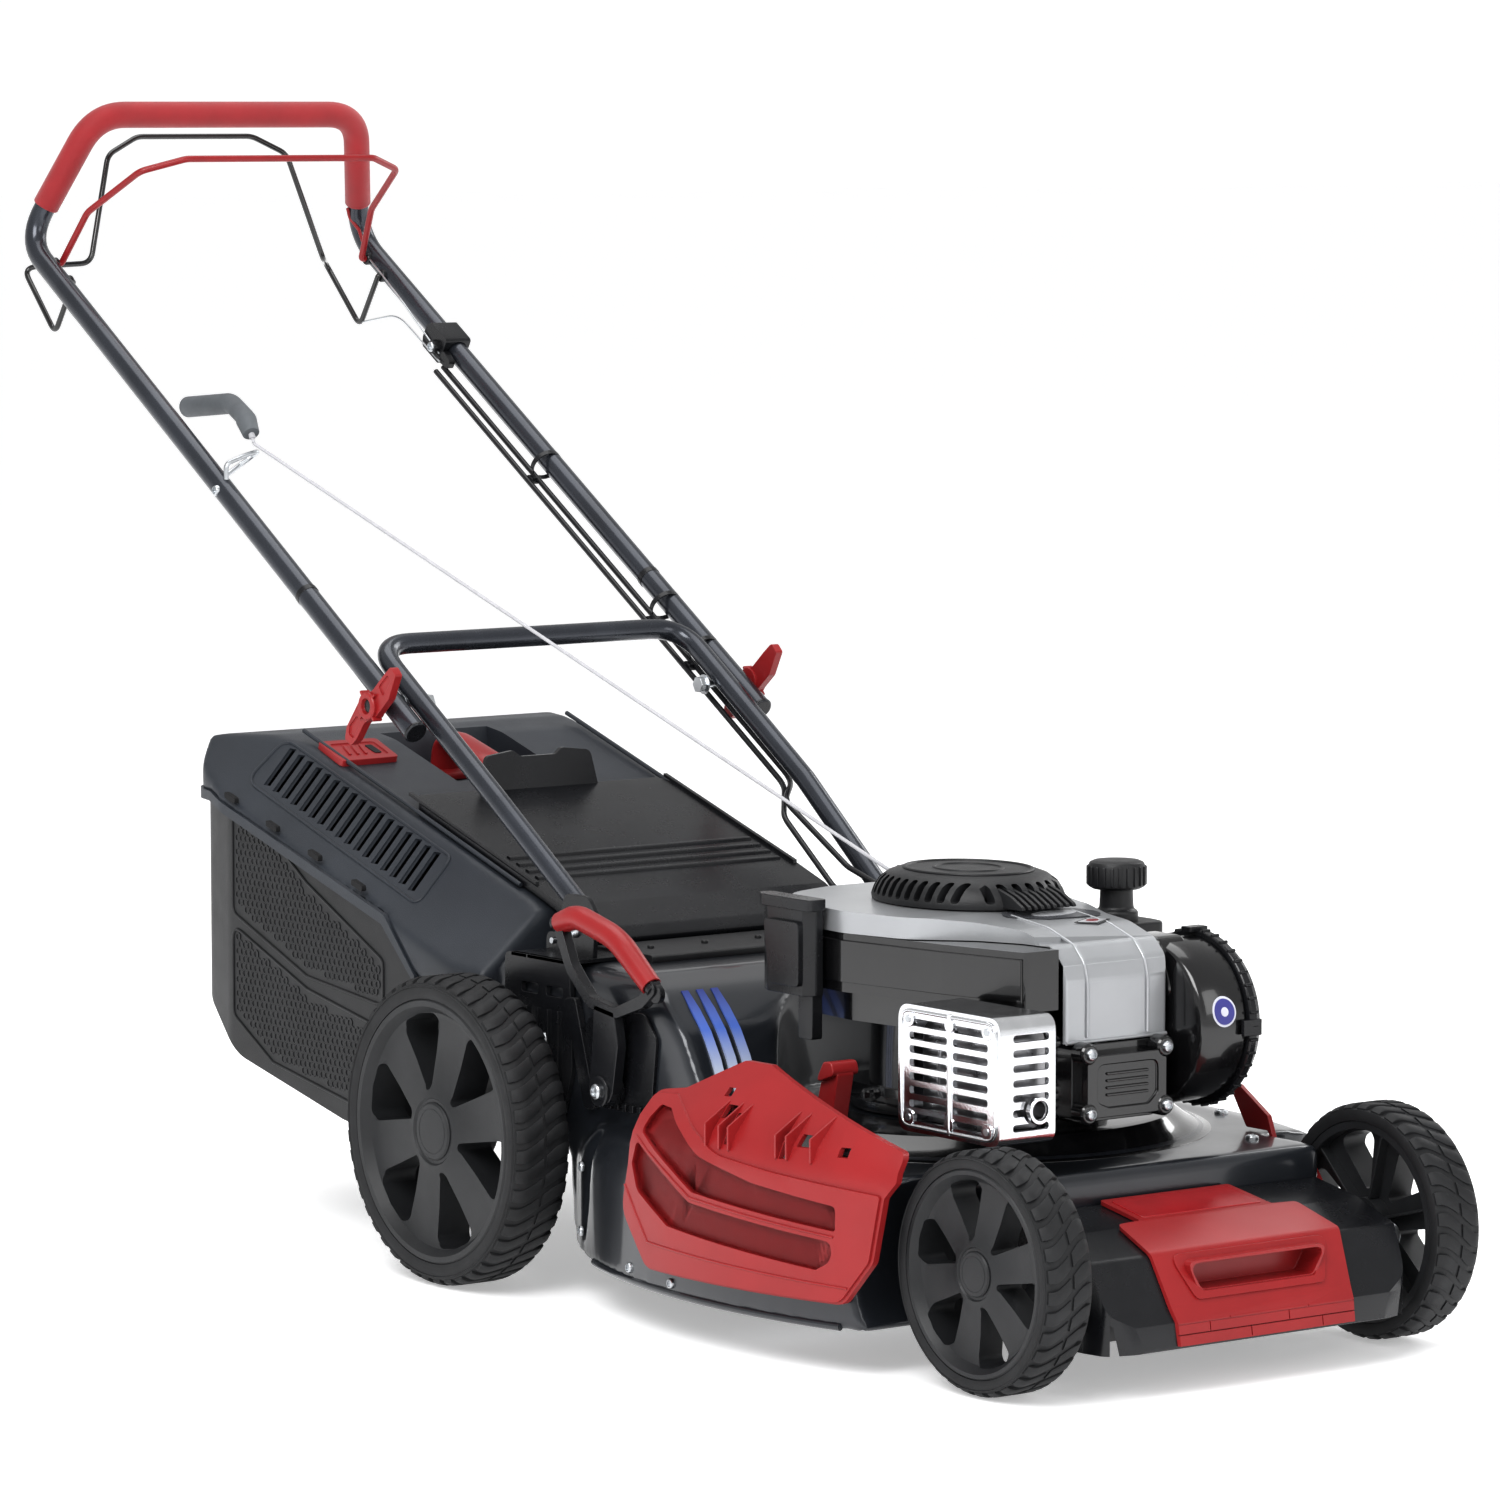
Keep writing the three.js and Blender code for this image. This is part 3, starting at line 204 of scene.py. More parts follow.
def slab(outline, low, high, axis="X", shift=None):
    """An outline carried from low to high along an axis (mm): y,z for X, x,z for Y and x,y for Z."""
    bm = bmesh.new()
    ends = []
    for place in (low, high):
        ring = []
        for a, b in outline:
            p = {"X": (place, a, b), "Y": (a, place, b), "Z": (a, b, place)}[axis]
            p = shift(*p) if shift else p
            ring.append(bm.verts.new(at(*p)))
        ends.append(ring)
    join_rings(bm, ends)
    bm.faces.new(ends[0][::-1])
    bm.faces.new(ends[1])
    return outward(bm)


def block(x0, x1, y0, y1, z0, z1):
    return slab([(y0, z0), (y1, z0), (y1, z1), (y0, z1)], x0, x1)


def rod(a, b, radius, sides=20):
    return tube([a, b], radius, sides)


def screw_head(place, way, radius, height, socket=True):
    """A small domed screw head standing at place (mm) and facing way, with a six-sided socket."""
    bm = bmesh.new()
    way = Vector(way).normalized()
    side = way.orthogonal().normalized()
    up = way.cross(side)
    rings = []
    rows = [(1.0, -0.3), (1.0, 0.45), (0.86, 0.82), (0.6, 1.0)] + ([(0.55, 0.35)] if socket else [])
    for share, lift in rows:
        turns = [k * math.pi / 6 for k in range(12)]
        ring = [side * math.cos(t) + up * math.sin(t) for t in turns]
        rings.append([bm.verts.new(at(*(Vector(place) + d * radius * share + way * height * lift)))
                      for d in ring])
    join_rings(bm, rings)
    bm.faces.new(rings[0][::-1])
    bm.faces.new(rings[-1])
    return outward(bm)


def outward(bm):
    bmesh.ops.remove_doubles(bm, verts=bm.verts, dist=1e-6)
    bmesh.ops.recalc_face_normals(bm, faces=bm.faces)
    return bm


def merged(*parts):
    """Several bodies in one mesh, not cut into each other."""
    whole = bmesh.new()
    for part in parts:
        mesh = bpy.data.meshes.new("part")
        part.to_mesh(mesh)
        whole.from_mesh(mesh)
        bpy.data.meshes.remove(mesh)
        part.free()
    return whole


def mirrored(bm):
    """The same body on the other side of the machine."""
    copy = bm.copy()
    bmesh.ops.scale(copy, vec=(-1, 1, 1), verts=copy.verts)
    bmesh.ops.reverse_faces(copy, faces=copy.faces)
    return copy


def loose_object(bm):
    mesh = bpy.data.meshes.new("work")
    bm.to_mesh(mesh)
    bm.free()
    obj = bpy.data.objects.new("work", mesh)
    bpy.context.scene.collection.objects.link(obj)
    return obj


def taken_mesh(obj, name="work"):
    """The evaluated mesh of obj, whose object is then removed."""
    bpy.context.view_layer.update()
    graph = bpy.context.evaluated_depsgraph_get()
    mesh = bpy.data.meshes.new_from_object(obj.evaluated_get(graph), depsgraph=graph)
    mesh.name = name
    old = obj.data
    bpy.data.objects.remove(obj)
    if old.users == 0:
        bpy.data.meshes.remove(old)
    return mesh


def carve(bm, *steps):
    """bm after each (operation, body): 'cut', 'join' or 'keep'."""
    words = {"cut": "DIFFERENCE", "join": "UNION", "keep": "INTERSECT"}
    obj = loose_object(bm)
    tools = []
    for word, body in steps:
        tool = loose_object(body)
        tools.append(tool)
        mod = obj.modifiers.new("carve", "BOOLEAN")
        mod.operation = words[word]
        mod.solver = "MANIFOLD"
        mod.object = tool
    mesh = taken_mesh(obj)
    for tool in tools:
        data = tool.data
        bpy.data.objects.remove(tool)
        bpy.data.meshes.remove(data)
    if not mesh.polygons:
        raise RuntimeError("a cut left nothing of the body")
    out = bmesh.new()
    out.from_mesh(mesh)
    bpy.data.meshes.remove(mesh)
    return out


def soften(bm, voxel, rounds, share=0.5):
    """The body remade in small even faces (voxel in mm) and smoothed, so that corners become fillets."""
    obj = loose_object(bm)
    mod = obj.modifiers.new("even", "REMESH")
    mod.mode = "VOXEL"
    mod.voxel_size = voxel * MM
    smooth = obj.modifiers.new("smooth", "SMOOTH")
    smooth.factor = share
    smooth.iterations = rounds
    mesh = taken_mesh(obj)
    out = bmesh.new()
    out.from_mesh(mesh)
    bpy.data.meshes.remove(mesh)
    return out


def finish(look):
    """A material, given as itself or by its name in LOOKS."""
    return LOOKS[look] if isinstance(look, str) else look


def piece(name, bm, body, look, nodes=(), bevel=0.0, segments=2, sharp=38, blend=None):
    """Finishes a body as a piece: shading, rounded edges, finish, its carrier and the nodes it replaces."""
    mesh = bpy.data.meshes.new(name)
    bm.to_mesh(mesh)
    bm.free()
    mesh.materials.clear()
    mesh.materials.append(finish(look))
    mesh.shade_smooth()
    mesh.set_sharp_from_angle(angle=math.radians(sharp))
    obj = bpy.data.objects.new(name, mesh)
    bpy.context.scene.collection.objects.link(obj)
    if bevel:
        mod = obj.modifiers.new("edge", "BEVEL")
        mod.width = bevel * MM
        mod.segments = segments
        mod.limit_method = "ANGLE"
        mod.angle_limit = math.radians(30)
        mod.harden_normals = True
        mod.miter_outer = "MITER_ARC"
    if blend:
        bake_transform(obj)
    else:
        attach(obj, body)
    if nodes:
        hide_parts(*nodes)
    return obj


# ---------------------------------------------------------------- finishes
class Finish:
    """A node material built up step by step on the Principled shader."""

    def __init__(self, name, colour, rough, metal=0.0):
        self.material = bpy.data.materials.new(name)
        self.material.use_nodes = True
        self.tree = self.material.node_tree
        self.shader = self.tree.nodes["Principled BSDF"]
        self.place = self.node("ShaderNodeTexCoord").outputs["Object"]
        self.colour = (*tuple(colour), 1.0)
        self.shader.inputs["Base Color"].default_value = self.colour
        self.shader.inputs["Roughness"].default_value = rough
        self.shader.inputs["Metallic"].default_value = metal
        self.rough = rough
        self.bumped = None

    def node(self, kind, **values):
        made = self.tree.nodes.new(kind)
        for key, value in values.items():
            if key in made.inputs:
                made.inputs[key].default_value = value
            else:
                setattr(made, key, value)
        return made

    def link(self, a, b):
        self.tree.links.new(a, b)

    def stretch(self, x, y, z):
        """Object coordinates stretched, for grain that runs one way."""
        made = self.node("ShaderNodeMapping")
        made.inputs["Scale"].default_value = (x, y, z)
        self.link(self.place, made.inputs["Vector"])
        return made.outputs[0]

    def noise(self, scale, detail=4.0, place=None, rough=0.55):
        made = self.node("ShaderNodeTexNoise", Scale=scale, Detail=detail, Roughness=rough)
        self.link(place or self.place, made.inputs["Vector"])
        return made.outputs["Fac"]

    def mottle(self, share, scale=9.0, detail=5.0, other=None, place=None):
        """Drifts the colour between a darker and a lighter shade, or towards another colour."""
        low = [c * (1 - share) for c in self.colour[:3]]
        high = other or [min(1.0, c * (1 + share)) for c in self.colour[:3]]
        ramp = self.node("ShaderNodeValToRGB")
        ramp.color_ramp.elements[0].position = 0.3
        ramp.color_ramp.elements[1].position = 0.7
        ramp.color_ramp.elements[0].color = (*low, 1)
        ramp.color_ramp.elements[1].color = (*high, 1)
        self.link(self.noise(scale, detail, place), ramp.inputs["Fac"])
        self.paint(ramp.outputs["Color"])
        return self

    def paint(self, source):
        self.link(source, self.shader.inputs["Base Color"])
        self.last_colour = source
        return self

    def worn(self, spread, scale=30.0):
        """Roughness that drifts by spread, as handled surfaces do."""
        span = self.node("ShaderNodeMapRange")
        span.inputs["To Min"].default_value = max(0.02, self.rough - spread)
        span.inputs["To Max"].default_value = min(1.0, self.rough + spread)
        self.link(self.noise(scale, 5.0), span.inputs["Value"])
        self.link(span.outputs[0], self.shader.inputs["Roughness"])
        return self

    def grain(self, scale, height, kind="noise", depth=0.0004):
        """Fine surface relief: moulded grain, casting skin or orange peel."""
        if kind == "cells":
            made = self.node("ShaderNodeTexVoronoi", Scale=scale)
            self.link(self.place, made.inputs["Vector"])
            source = made.outputs["Distance"]
        else:
            source = self.noise(scale, 3.0)
        self.relief(source, height, depth)
        return self

    def relief(self, source, height, depth=0.0004):
        bump = self.node("ShaderNodeBump", Strength=height, Distance=depth)
        self.link(source, bump.inputs["Height"])
        if self.bumped:
            self.link(self.bumped, bump.inputs["Normal"])
        self.bumped = bump.outputs["Normal"]
        self.link(self.bumped, self.shader.inputs["Normal"])
        return self

    def coat(self, weight, rough=0.08):
        self.shader.inputs["Coat Weight"].default_value = weight
        self.shader.inputs["Coat Roughness"].default_value = rough
        return self


def red_moulded(tone):
    made = Finish("red moulded plastic", tone, 0.33)
    return made.mottle(0.07, 14).worn(0.06).grain(900, 0.14).material


def black_moulded(name="black moulded plastic", shade=(0.012, 0.0125, 0.014), rough=0.42, grain=0.3):
    made = Finish(name, shade, rough)
    return made.mottle(0.25, 20).worn(0.07, 45).grain(1400, grain, "cells").material


def charcoal_moulded(tone):
    made = Finish("blue-grey moulded plastic", tone, 0.42)
    return made.mottle(0.14, 8).worn(0.06, 35).grain(1300, 0.3, "cells").material


def deck_paint(tone):
    made = Finish("charcoal gloss paint", tone, 0.3, 0.25)
    return made.mottle(0.12, 5).worn(0.05, 25).grain(260, 0.05).coat(0.7, 0.1).material


def gloss_black():
    made = Finish("gloss black paint", (0.006, 0.006, 0.0068), 0.2)
    return made.mottle(0.3, 12).worn(0.05, 22).grain(220, 0.06).coat(0.8, 0.05).material


def silver_moulded(tone):
    made = Finish("silver metallic plastic", tone, 0.33, 0.55)
    fine = made.noise(2600, 2.0)
    made.mottle(0.05, 9).relief(fine, 0.1)
    return made.worn(0.05, 30).coat(0.25, 0.16).material


def bright_casting():
    made = Finish("bright cast metal", (0.80, 0.81, 0.83), 0.16, 1.0)
    return made.mottle(0.06, 40).worn(0.08, 60).grain(420, 0.25).material


def zinc_steel(name="zinc plated steel", tone=(0.56, 0.58, 0.6)):
    made = Finish(name, tone, 0.3, 1.0)
    return made.mottle(0.12, 60).worn(0.1, 90).grain(700, 0.12).material


def tube_coat():
    made = Finish("dark metallic tube coat", (0.045, 0.05, 0.062), 0.27, 0.6)
    return made.mottle(0.15, 18).worn(0.05, 50).grain(500, 0.05).coat(0.5, 0.08).material


def tyre_rubber():
    made = Finish("black tyre rubber", (0.0135, 0.014, 0.0155), 0.62)
    return made.mottle(0.3, 26).worn(0.08, 70).grain(900, 0.3).material


def rim_moulded():
    made = Finish("charcoal rim plastic", (0.0185, 0.0195, 0.0215), 0.46)
    return made.mottle(0.2, 22).worn(0.05, 60).grain(1300, 0.25, "cells").material


def foam_sleeve(tone):
    made = Finish("red foam sleeve", tone, 0.62)
    made.shader.inputs["Sheen Weight"].default_value = 0.25
    return made.mottle(0.1, 30).worn(0.05, 50).grain(1500, 0.45, "cells").material


def grey_rubber():
    made = Finish("grey grip rubber", (0.115, 0.125, 0.135), 0.6)
    return made.mottle(0.15, 40).worn(0.06, 70).grain(900, 0.3).material


def rope_braid():
    """White braided cord: a fine slanting weave."""
    made = Finish("white braided cord", (0.50, 0.50, 0.52), 0.75)
    weave = made.node("ShaderNodeTexWave", Scale=260.0, Distortion=2.0, bands_direction="DIAGONAL")
    made.link(made.place, weave.inputs["Vector"])
    return made.mottle(0.08, 120).relief(weave.outputs["Fac"], 0.6).material


def plain_finish(name, colour, rough, metal=0.0, share=0.08, grain=600, height=0.15):
    made = Finish(name, colour, rough, metal)
    return made.mottle(share, 30).worn(0.05, 60).grain(grain, height).material


LOOKS = {}


def mix_finishes(tones):
    """Fills LOOKS, one finish for each material slot and two more: a darker matt black that paints the shade
    of recesses, and one for satin mouldings.
    """
    LOOKS.update({
        "red_plastic": red_moulded(tones.red),
        "black_plastic": black_moulded(),
        "catcher_grey": charcoal_moulded(tones.catcher),
        "deck_paint": deck_paint(tones.deck),
        "gloss_black": gloss_black(),
        "silver_plastic": silver_moulded(tones.silver),
        "cast_metal": bright_casting(),
        "steel": zinc_steel(),
        "tube_paint": tube_coat(),
        "tyre": tyre_rubber(),
        "rim_plastic": rim_moulded(),
        "grip_foam": foam_sleeve(tones.foam),
        "grip_rubber": grey_rubber(),
        "rope": rope_braid(),
        "red_steel": plain_finish("red coated wire", tones.wire, 0.3),
        # recess: a darker, rougher black than the moulded plastic, painted shade for recesses; the vent
        # dome's inside, the grass box clips and the fill window take it
        "recess": black_moulded("matt black painted recess shade", (0.006, 0.006, 0.007), 0.7, 0.2),
        "satin": black_moulded("satin black plastic", (0.009, 0.0095, 0.0115), 0.26, 0.12),
    })


def dress_frame():
    """Gives every node that still shows its finish from the record's slot."""
    slot_of = {row["node"]: row["material_slot"] for row in frame["record"]["subparts"]}
    for node, obj in frame["nodes"].items():
        obj.data.materials.clear()
        obj.data.materials.append(LOOKS[slot_of[node]])


# ---------------------------------------------------------------- stage
CAMERA_SPOT = Vector((-3565.1, -4142.5, 1052.0))
CAMERA_TURN = (math.radians(84.4), 0.0, math.radians(-36.84))
LENS_MM = 158.46


def build_stage(look, reach):
    floor = bmesh.new()
    bmesh.ops.create_grid(floor, x_segments=2, y_segments=2, size=reach)
    mesh = bpy.data.meshes.new("floor")
    floor.to_mesh(mesh)
    floor.free()
    pale = Finish("pale studio floor", (0.90, 0.90, 0.905), 0.7)
    pale.shader.inputs["Specular IOR Level"].default_value = 0.1
    pale.shader.inputs["Emission Color"].default_value = (1.0, 1.0, 1.0, 1.0)
    pale.shader.inputs["Emission Strength"].default_value = look.glow
    mesh.materials.append(pale.mottle(0.003, 3).material)
    obj = bpy.data.objects.new("floor", mesh)
    bpy.context.scene.collection.objects.link(obj)
    obj.location.z = -0.001

    world = bpy.data.worlds.new("studio")
    bpy.context.scene.world = world
    world.use_nodes = True
    build_sky(world.node_tree, look.sky)

    middle = at(0, 560, 420)
    softbox("key light", middle, (-2.6, -1.5, 2.6), 2.2, look.key)
    softbox("front light", middle, (0.4, -3.2, 1.2), 1.6, look.front)
    softbox("top light", middle, (0.2, 0.9, 3.1), 2.4, look.top)
    softbox("far light", middle, (3.0, 0.4, 1.6), 1.6, look.far)

    lens = bpy.data.cameras.new("camera")
    lens.lens = LENS_MM
    lens.sensor_width = 36.0
    lens.clip_end = 200.0
    camera = bpy.data.objects.new("camera", lens)
    bpy.context.scene.collection.objects.link(camera)
    camera.location = at(*CAMERA_SPOT)
    camera.rotation_euler = CAMERA_TURN
    bpy.context.scene.camera = camera
    bpy.context.scene.view_settings.view_transform = "Standard"
    bpy.context.scene.view_settings.look = "None"
    bpy.context.scene.view_settings.gamma = 0.84


def build_sky(tree, strength):
    """White at the horizon, dimmer overhead, so that glossy blacks stay black."""
    back = tree.nodes["Background"]
    spot = tree.nodes.new("ShaderNodeTexCoord")
    parts = tree.nodes.new("ShaderNodeSeparateXYZ")
    ramp = tree.nodes.new("ShaderNodeValToRGB")
    ramp.color_ramp.elements[0].position = 0.06
    ramp.color_ramp.elements[0].color = (1.05, 1.05, 1.05, 1.0)
    ramp.color_ramp.elements[1].position = 0.3
    ramp.color_ramp.elements[1].color = (strength, strength, strength, 1.0)
    tree.links.new(spot.outputs["Generated"], parts.inputs[0])
    tree.links.new(parts.outputs["Z"], ramp.inputs["Fac"])
    tree.links.new(ramp.outputs["Color"], back.inputs["Color"])
    back.inputs["Strength"].default_value = 1.0


def softbox(name, target, way, size, power):
    light = bpy.data.lights.new(name, "AREA")
    light.shape = "SQUARE"
    light.size = size
    light.energy = power
    obj = bpy.data.objects.new(name, light)
    bpy.context.scene.collection.objects.link(obj)
    obj.location = target + Vector(way)
    obj.rotation_euler = (-Vector(way)).to_track_quat("-Z", "Y").to_euler()


# ---------------------------------------------------------------- repeating shapes by geometry nodes
class Pattern:
    """A geometry node tree that starts from named inputs and ends in Realize Instances and Set Material."""

    def __init__(self, name, inputs):
        self.tree = bpy.data.node_groups.new(name, "GeometryNodeTree")
        face = self.tree.interface
        face.new_socket("Geometry", in_out="INPUT", socket_type="NodeSocketGeometry")
        face.new_socket("Material", in_out="INPUT", socket_type="NodeSocketMaterial")
        for label, kind, value in inputs:
            made = face.new_socket(label, in_out="INPUT", socket_type="NodeSocket" + kind)
            made.default_value = value
        face.new_socket("Geometry", in_out="OUTPUT", socket_type="NodeSocketGeometry")
        self.start = self.tree.nodes.new("NodeGroupInput")

    def node(self, kind, **links):
        made = self.tree.nodes.new(kind)
        for key, value in links.items():
            self.feed(made.inputs[key.replace("_", " ")], value)
        return made

    def feed(self, socket, value):
        if isinstance(value, bpy.types.NodeSocket):
            self.tree.links.new(value, socket)
        else:
            socket.default_value = value

    def given(self, label):
        return self.start.outputs[label]

    def maths(self, operation, a, b=0.0):
        made = self.tree.nodes.new("ShaderNodeMath")
        made.operation = operation
        self.feed(made.inputs[0], a)
        self.feed(made.inputs[1], b)
        return made.outputs[0]

    def close(self, instances):
        real = self.node("GeometryNodeRealizeInstances", Geometry=instances)
        dressed = self.node("GeometryNodeSetMaterial", Geometry=real.outputs[0],
                            Material=self.given("Material"))
        end = self.tree.nodes.new("NodeGroupOutput")
        self.tree.links.new(dressed.outputs[0], end.inputs[0])
        return self.tree


def row_pattern():
    """Copies of the incoming shape in a straight row."""
    made = Pattern("row of copies", [("Count", "Int", 5), ("Step", "Vector", (0, 0.01, 0)),
                                     ("Grow", "Vector", (0, 0, 0))])
    line = made.node("GeometryNodeMeshLine", Count=made.given("Count"), Offset=made.given("Step"))
    index = made.node("GeometryNodeInputIndex").outputs[0]
    grow = made.tree.nodes.new("ShaderNodeVectorMath")
    grow.operation = "SCALE"
    made.feed(grow.inputs[0], made.given("Grow"))
    made.feed(grow.inputs["Scale"], index)
    one = made.tree.nodes.new("ShaderNodeVectorMath")
    one.operation = "ADD"
    made.feed(one.inputs[0], grow.outputs[0])
    one.inputs[1].default_value = (1, 1, 1)
    copies = made.node("GeometryNodeInstanceOnPoints", Points=line.outputs[0],
                       Instance=made.given("Geometry"), Scale=one.outputs[0])
    return made.close(copies.outputs[0])


def ring_pattern():
    """Copies of the incoming shape turned about an axis through Centre."""
    made = Pattern("ring of copies", [("Count", "Int", 12), ("Centre", "Vector", (0, 0, 0)),
                                      ("Axis", "Vector", (1, 0, 0)), ("First", "Float", 0.0)])
    points = made.node("GeometryNodePoints", Count=made.given("Count"), Position=made.given("Centre"))
    index = made.node("GeometryNodeInputIndex").outputs[0]
    share = made.maths("DIVIDE", index, made.given("Count"))
    turn = made.maths("ADD", made.maths("MULTIPLY", share, 2 * math.pi), made.given("First"))
    spin = made.tree.nodes.new("FunctionNodeAxisAngleToRotation")
    made.feed(spin.inputs["Axis"], made.given("Axis"))
    made.feed(spin.inputs["Angle"], turn)
    copies = made.node("GeometryNodeInstanceOnPoints", Points=points.outputs[0],
                       Instance=made.given("Geometry"), Rotation=spin.outputs[0])
    return made.close(copies.outputs[0])


def scatter_pattern():
    """A round tile with a sunk hole, set at every incoming point and turned flat to a direction."""
    made = Pattern("perforated tiles", [
        ("Tile Radius", "Float", 0.0035), ("Hole Share", "Float", 0.62), ("Depth", "Float", 0.0022),
        ("Lift", "Float", 0.0006), ("Turn", "Vector", (0, 0, 0))])
    tile = made.node("GeometryNodeMeshCircle", Vertices=12, Radius=made.given("Tile Radius"))
    tile.fill_type = "NGON"
    lift = made.node("GeometryNodeExtrudeMesh", Mesh=tile.outputs[0], Offset_Scale=made.given("Lift"))
    inset = made.node("GeometryNodeExtrudeMesh", Mesh=lift.outputs["Mesh"], Selection=lift.outputs["Top"],
                      Offset_Scale=0.0)
    shrink = made.node("GeometryNodeScaleElements", Geometry=inset.outputs["Mesh"],
                       Selection=inset.outputs["Top"], Scale=made.given("Hole Share"))
    sink = made.node("GeometryNodeExtrudeMesh", Mesh=shrink.outputs[0], Selection=inset.outputs["Top"],
                     Offset_Scale=made.maths("MULTIPLY", made.given("Depth"), -1.0))
    copies = made.node("GeometryNodeInstanceOnPoints", Points=made.given("Geometry"),
                       Instance=sink.outputs["Mesh"], Rotation=made.given("Turn"))
    return made.close(copies.outputs[0])


PATTERNS = {}


def draw_patterns():
    """Fills PATTERNS with the node groups that repeat a piece."""
    PATTERNS.update(row=row_pattern(), ring=ring_pattern(), holes=scatter_pattern())


def repeat(bm, pattern, look, **inputs):
    """bm repeated by one of the patterns, as a plain body."""
    obj = loose_object(bm)
    mod = obj.modifiers.new(pattern, "NODES")
    mod.node_group = PATTERNS[pattern]
    sockets = {s.name: s.identifier for s in mod.node_group.interface.items_tree if s.in_out == "INPUT"}
    mod[sockets["Material"]] = finish(look)
    for label, value in inputs.items():
        mod[sockets[label.replace("_", " ")]] = value
    mesh = taken_mesh(obj)
    out = bmesh.new()
    out.from_mesh(mesh)
    bpy.data.meshes.remove(mesh)
    return out


def row(bm, count, step, look, grow=(0, 0, 0)):
    """A row of copies, with the step in mm. The first copy stays where it is."""
    return repeat(bm, "row", look, Count=count, Step=tuple(s * MM for s in step), Grow=grow)


def ring(bm, count, centre, axis, look, first=0.0):
    """Copies turned about an axis through centre, a point in mm. The first copy stays where it is."""
    middle = at(*centre)
    bmesh.ops.translate(bm, vec=-middle, verts=bm.verts)
    return repeat(bm, "ring", look, Count=count, Centre=tuple(middle), Axis=axis, First=first)


# ---------------------------------------------------------------- wheels
WHEELS = [(f"{end}_{side}", sign) for end in ("front", "rear") for side, sign in (("right", -1), ("left", 1))]


def wheel_places(name):
    """Centre (mm), radius, and how far the outer and inner faces stand from the middle of the machine."""
    low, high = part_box(f"{name}_tyre")
    radius = (high[2] - low[2]) / 2 / MM
    centre = (0.0, ((low[1] + high[1]) / 2 - AXLE_Y) / MM, radius)
    edges = sorted(abs(v) / MM for v in (low[0], high[0]))
    return centre, radius, edges[1], edges[0]


def tyre_body(centre, radius, face, inner):
    bead = radius * 0.855
    crown = radius - 1.6
    rows = [(bead, inner + 2), (radius * 0.9, inner + 0.2), (radius * 0.95, inner + 1.8),
            (crown - 3.2, inner + 6.5), (crown - 0.6, inner + 12), (crown, inner + 16), (crown, face - 16),
            (crown - 0.6, face - 12), (crown - 3.2, face - 6.5), (radius * 0.95, face - 1.8),
            (radius * 0.9, face - 0.2), (bead, face - 2)]
    return turned(rows, (0, centre[1], centre[2]), "X", 96)


def tread_block(centre, radius, face, inner, count):
    """One curved scale of the tread and its shoulder foot, on each half of the crown."""
    middle = (face + inner) / 2
    pitch = 2 * math.pi / count
    bm = bmesh.new()
    for half in (-1, 1):
        reach = (face - inner) / 2
        steps = 7
        rings = []
        for k in range(steps + 1):
            t = k / steps
            x = middle + half * (1.5 + t * (reach - 4.5))
            drop = 0.0 if t < 0.62 else (t - 0.62) ** 2 * 24
            sweep = (0.5 - 0.62 * math.sin(t * 1.75)) * pitch * half * 0.9
            wide = pitch * (0.74 - 0.2 * abs(t - 0.45))
            top, low = radius - 0.15 - drop, radius - 4.2 - drop * 1.4
            ring_here = []
            for r, share in ((low, -0.5), (top - 0.5, -0.47), (top, -0.4), (top, 0.4), (top - 0.5, 0.47),
                             (low, 0.5)):
                a = sweep + share * wide
                ring_here.append(bm.verts.new(at(x, centre[1] + r * math.sin(a),
                                                 centre[2] + r * math.cos(a))))
            rings.append(ring_here)
        join_rings(bm, rings)
        bm.faces.new(rings[0][::-1])
        bm.faces.new(rings[-1])
    return outward(bm)


def add_tyres(look):
    for name, sign in WHEELS:
        centre, radius, face, inner = wheel_places(name)
        count = round(radius * look.tread_per_mm)
        block_ = tread_block(centre, radius, face, inner, count)
        tread = ring(block_, count, (0, centre[1], centre[2]), (1, 0, 0), "tyre")
        wall = turned([(radius * 0.93, face - 1.2), (radius * 0.935, face - 0.2),
                       (radius * 0.94, face - 1.4)], (0, centre[1], centre[2]), "X", 96)
        whole = merged(tyre_body(centre, radius, face, inner), tread, wall)
        if sign < 0:
            whole = mirrored_once(whole)
        piece(f"{name}_tyre_tread", whole, f"{name}_wheel", "tyre", [f"{name}_tyre"], sharp=42)


def mirrored_once(bm):
    copy = mirrored(bm)
    bm.free()
    return copy


def spoke_window(centre, radius, angle, low, high):
    """The rounded opening between two spokes."""
    near, far = radius * 0.27, radius * 0.745
    outline = [(near, -radius * 0.022), (far * 0.9, -radius * 0.2), (far, -radius * 0.17), (far * 1.03, 0),
               (far, radius * 0.17), (far * 0.9, radius * 0.2), (near, radius * 0.022)]
    soft = round_corners(outline, [4, 9, 12, 40, 12, 9, 4], 4)
    cos, sin = math.cos(angle), math.sin(angle)
    placed = [(centre[1] + a * cos - b * sin, centre[2] + a * sin + b * cos) for a, b in soft]
    return slab(placed, low, high)


def rim_body(centre, radius, face, inner):
    edge = radius * 0.855 - 0.4
    lip, hub = edge - radius * 0.045, radius * 0.205
    rows = [(6.6, inner + 5), (hub, inner + 5), (hub, inner + 18), (lip - 2, inner + 15),
            (lip - 2, inner + 3), (edge, inner + 3), (edge, face - 2.4), (edge - 1.4, face - 1.2),
            (lip, face - 1.4), (lip - 2.2, face - 4), (lip - 6, face - 9.5), (lip - 11, face - 11.2),
            (radius * 0.5, face - 10.5), (hub * 1.5, face - 8.5), (hub * 1.18, face - 5.2),
            (hub * 1.08, face - 4.6), (hub * 1.02, face - 6.2), (6.6, face - 6.6)]
    rim = turned(rows, (0, centre[1], centre[2]), "X", 96)
    cuts = [("cut", spoke_window(centre, radius, i * math.pi / 3 + 0.26, inner - 6, face + 6))
            for i in range(6)]
    return carve(rim, *cuts)


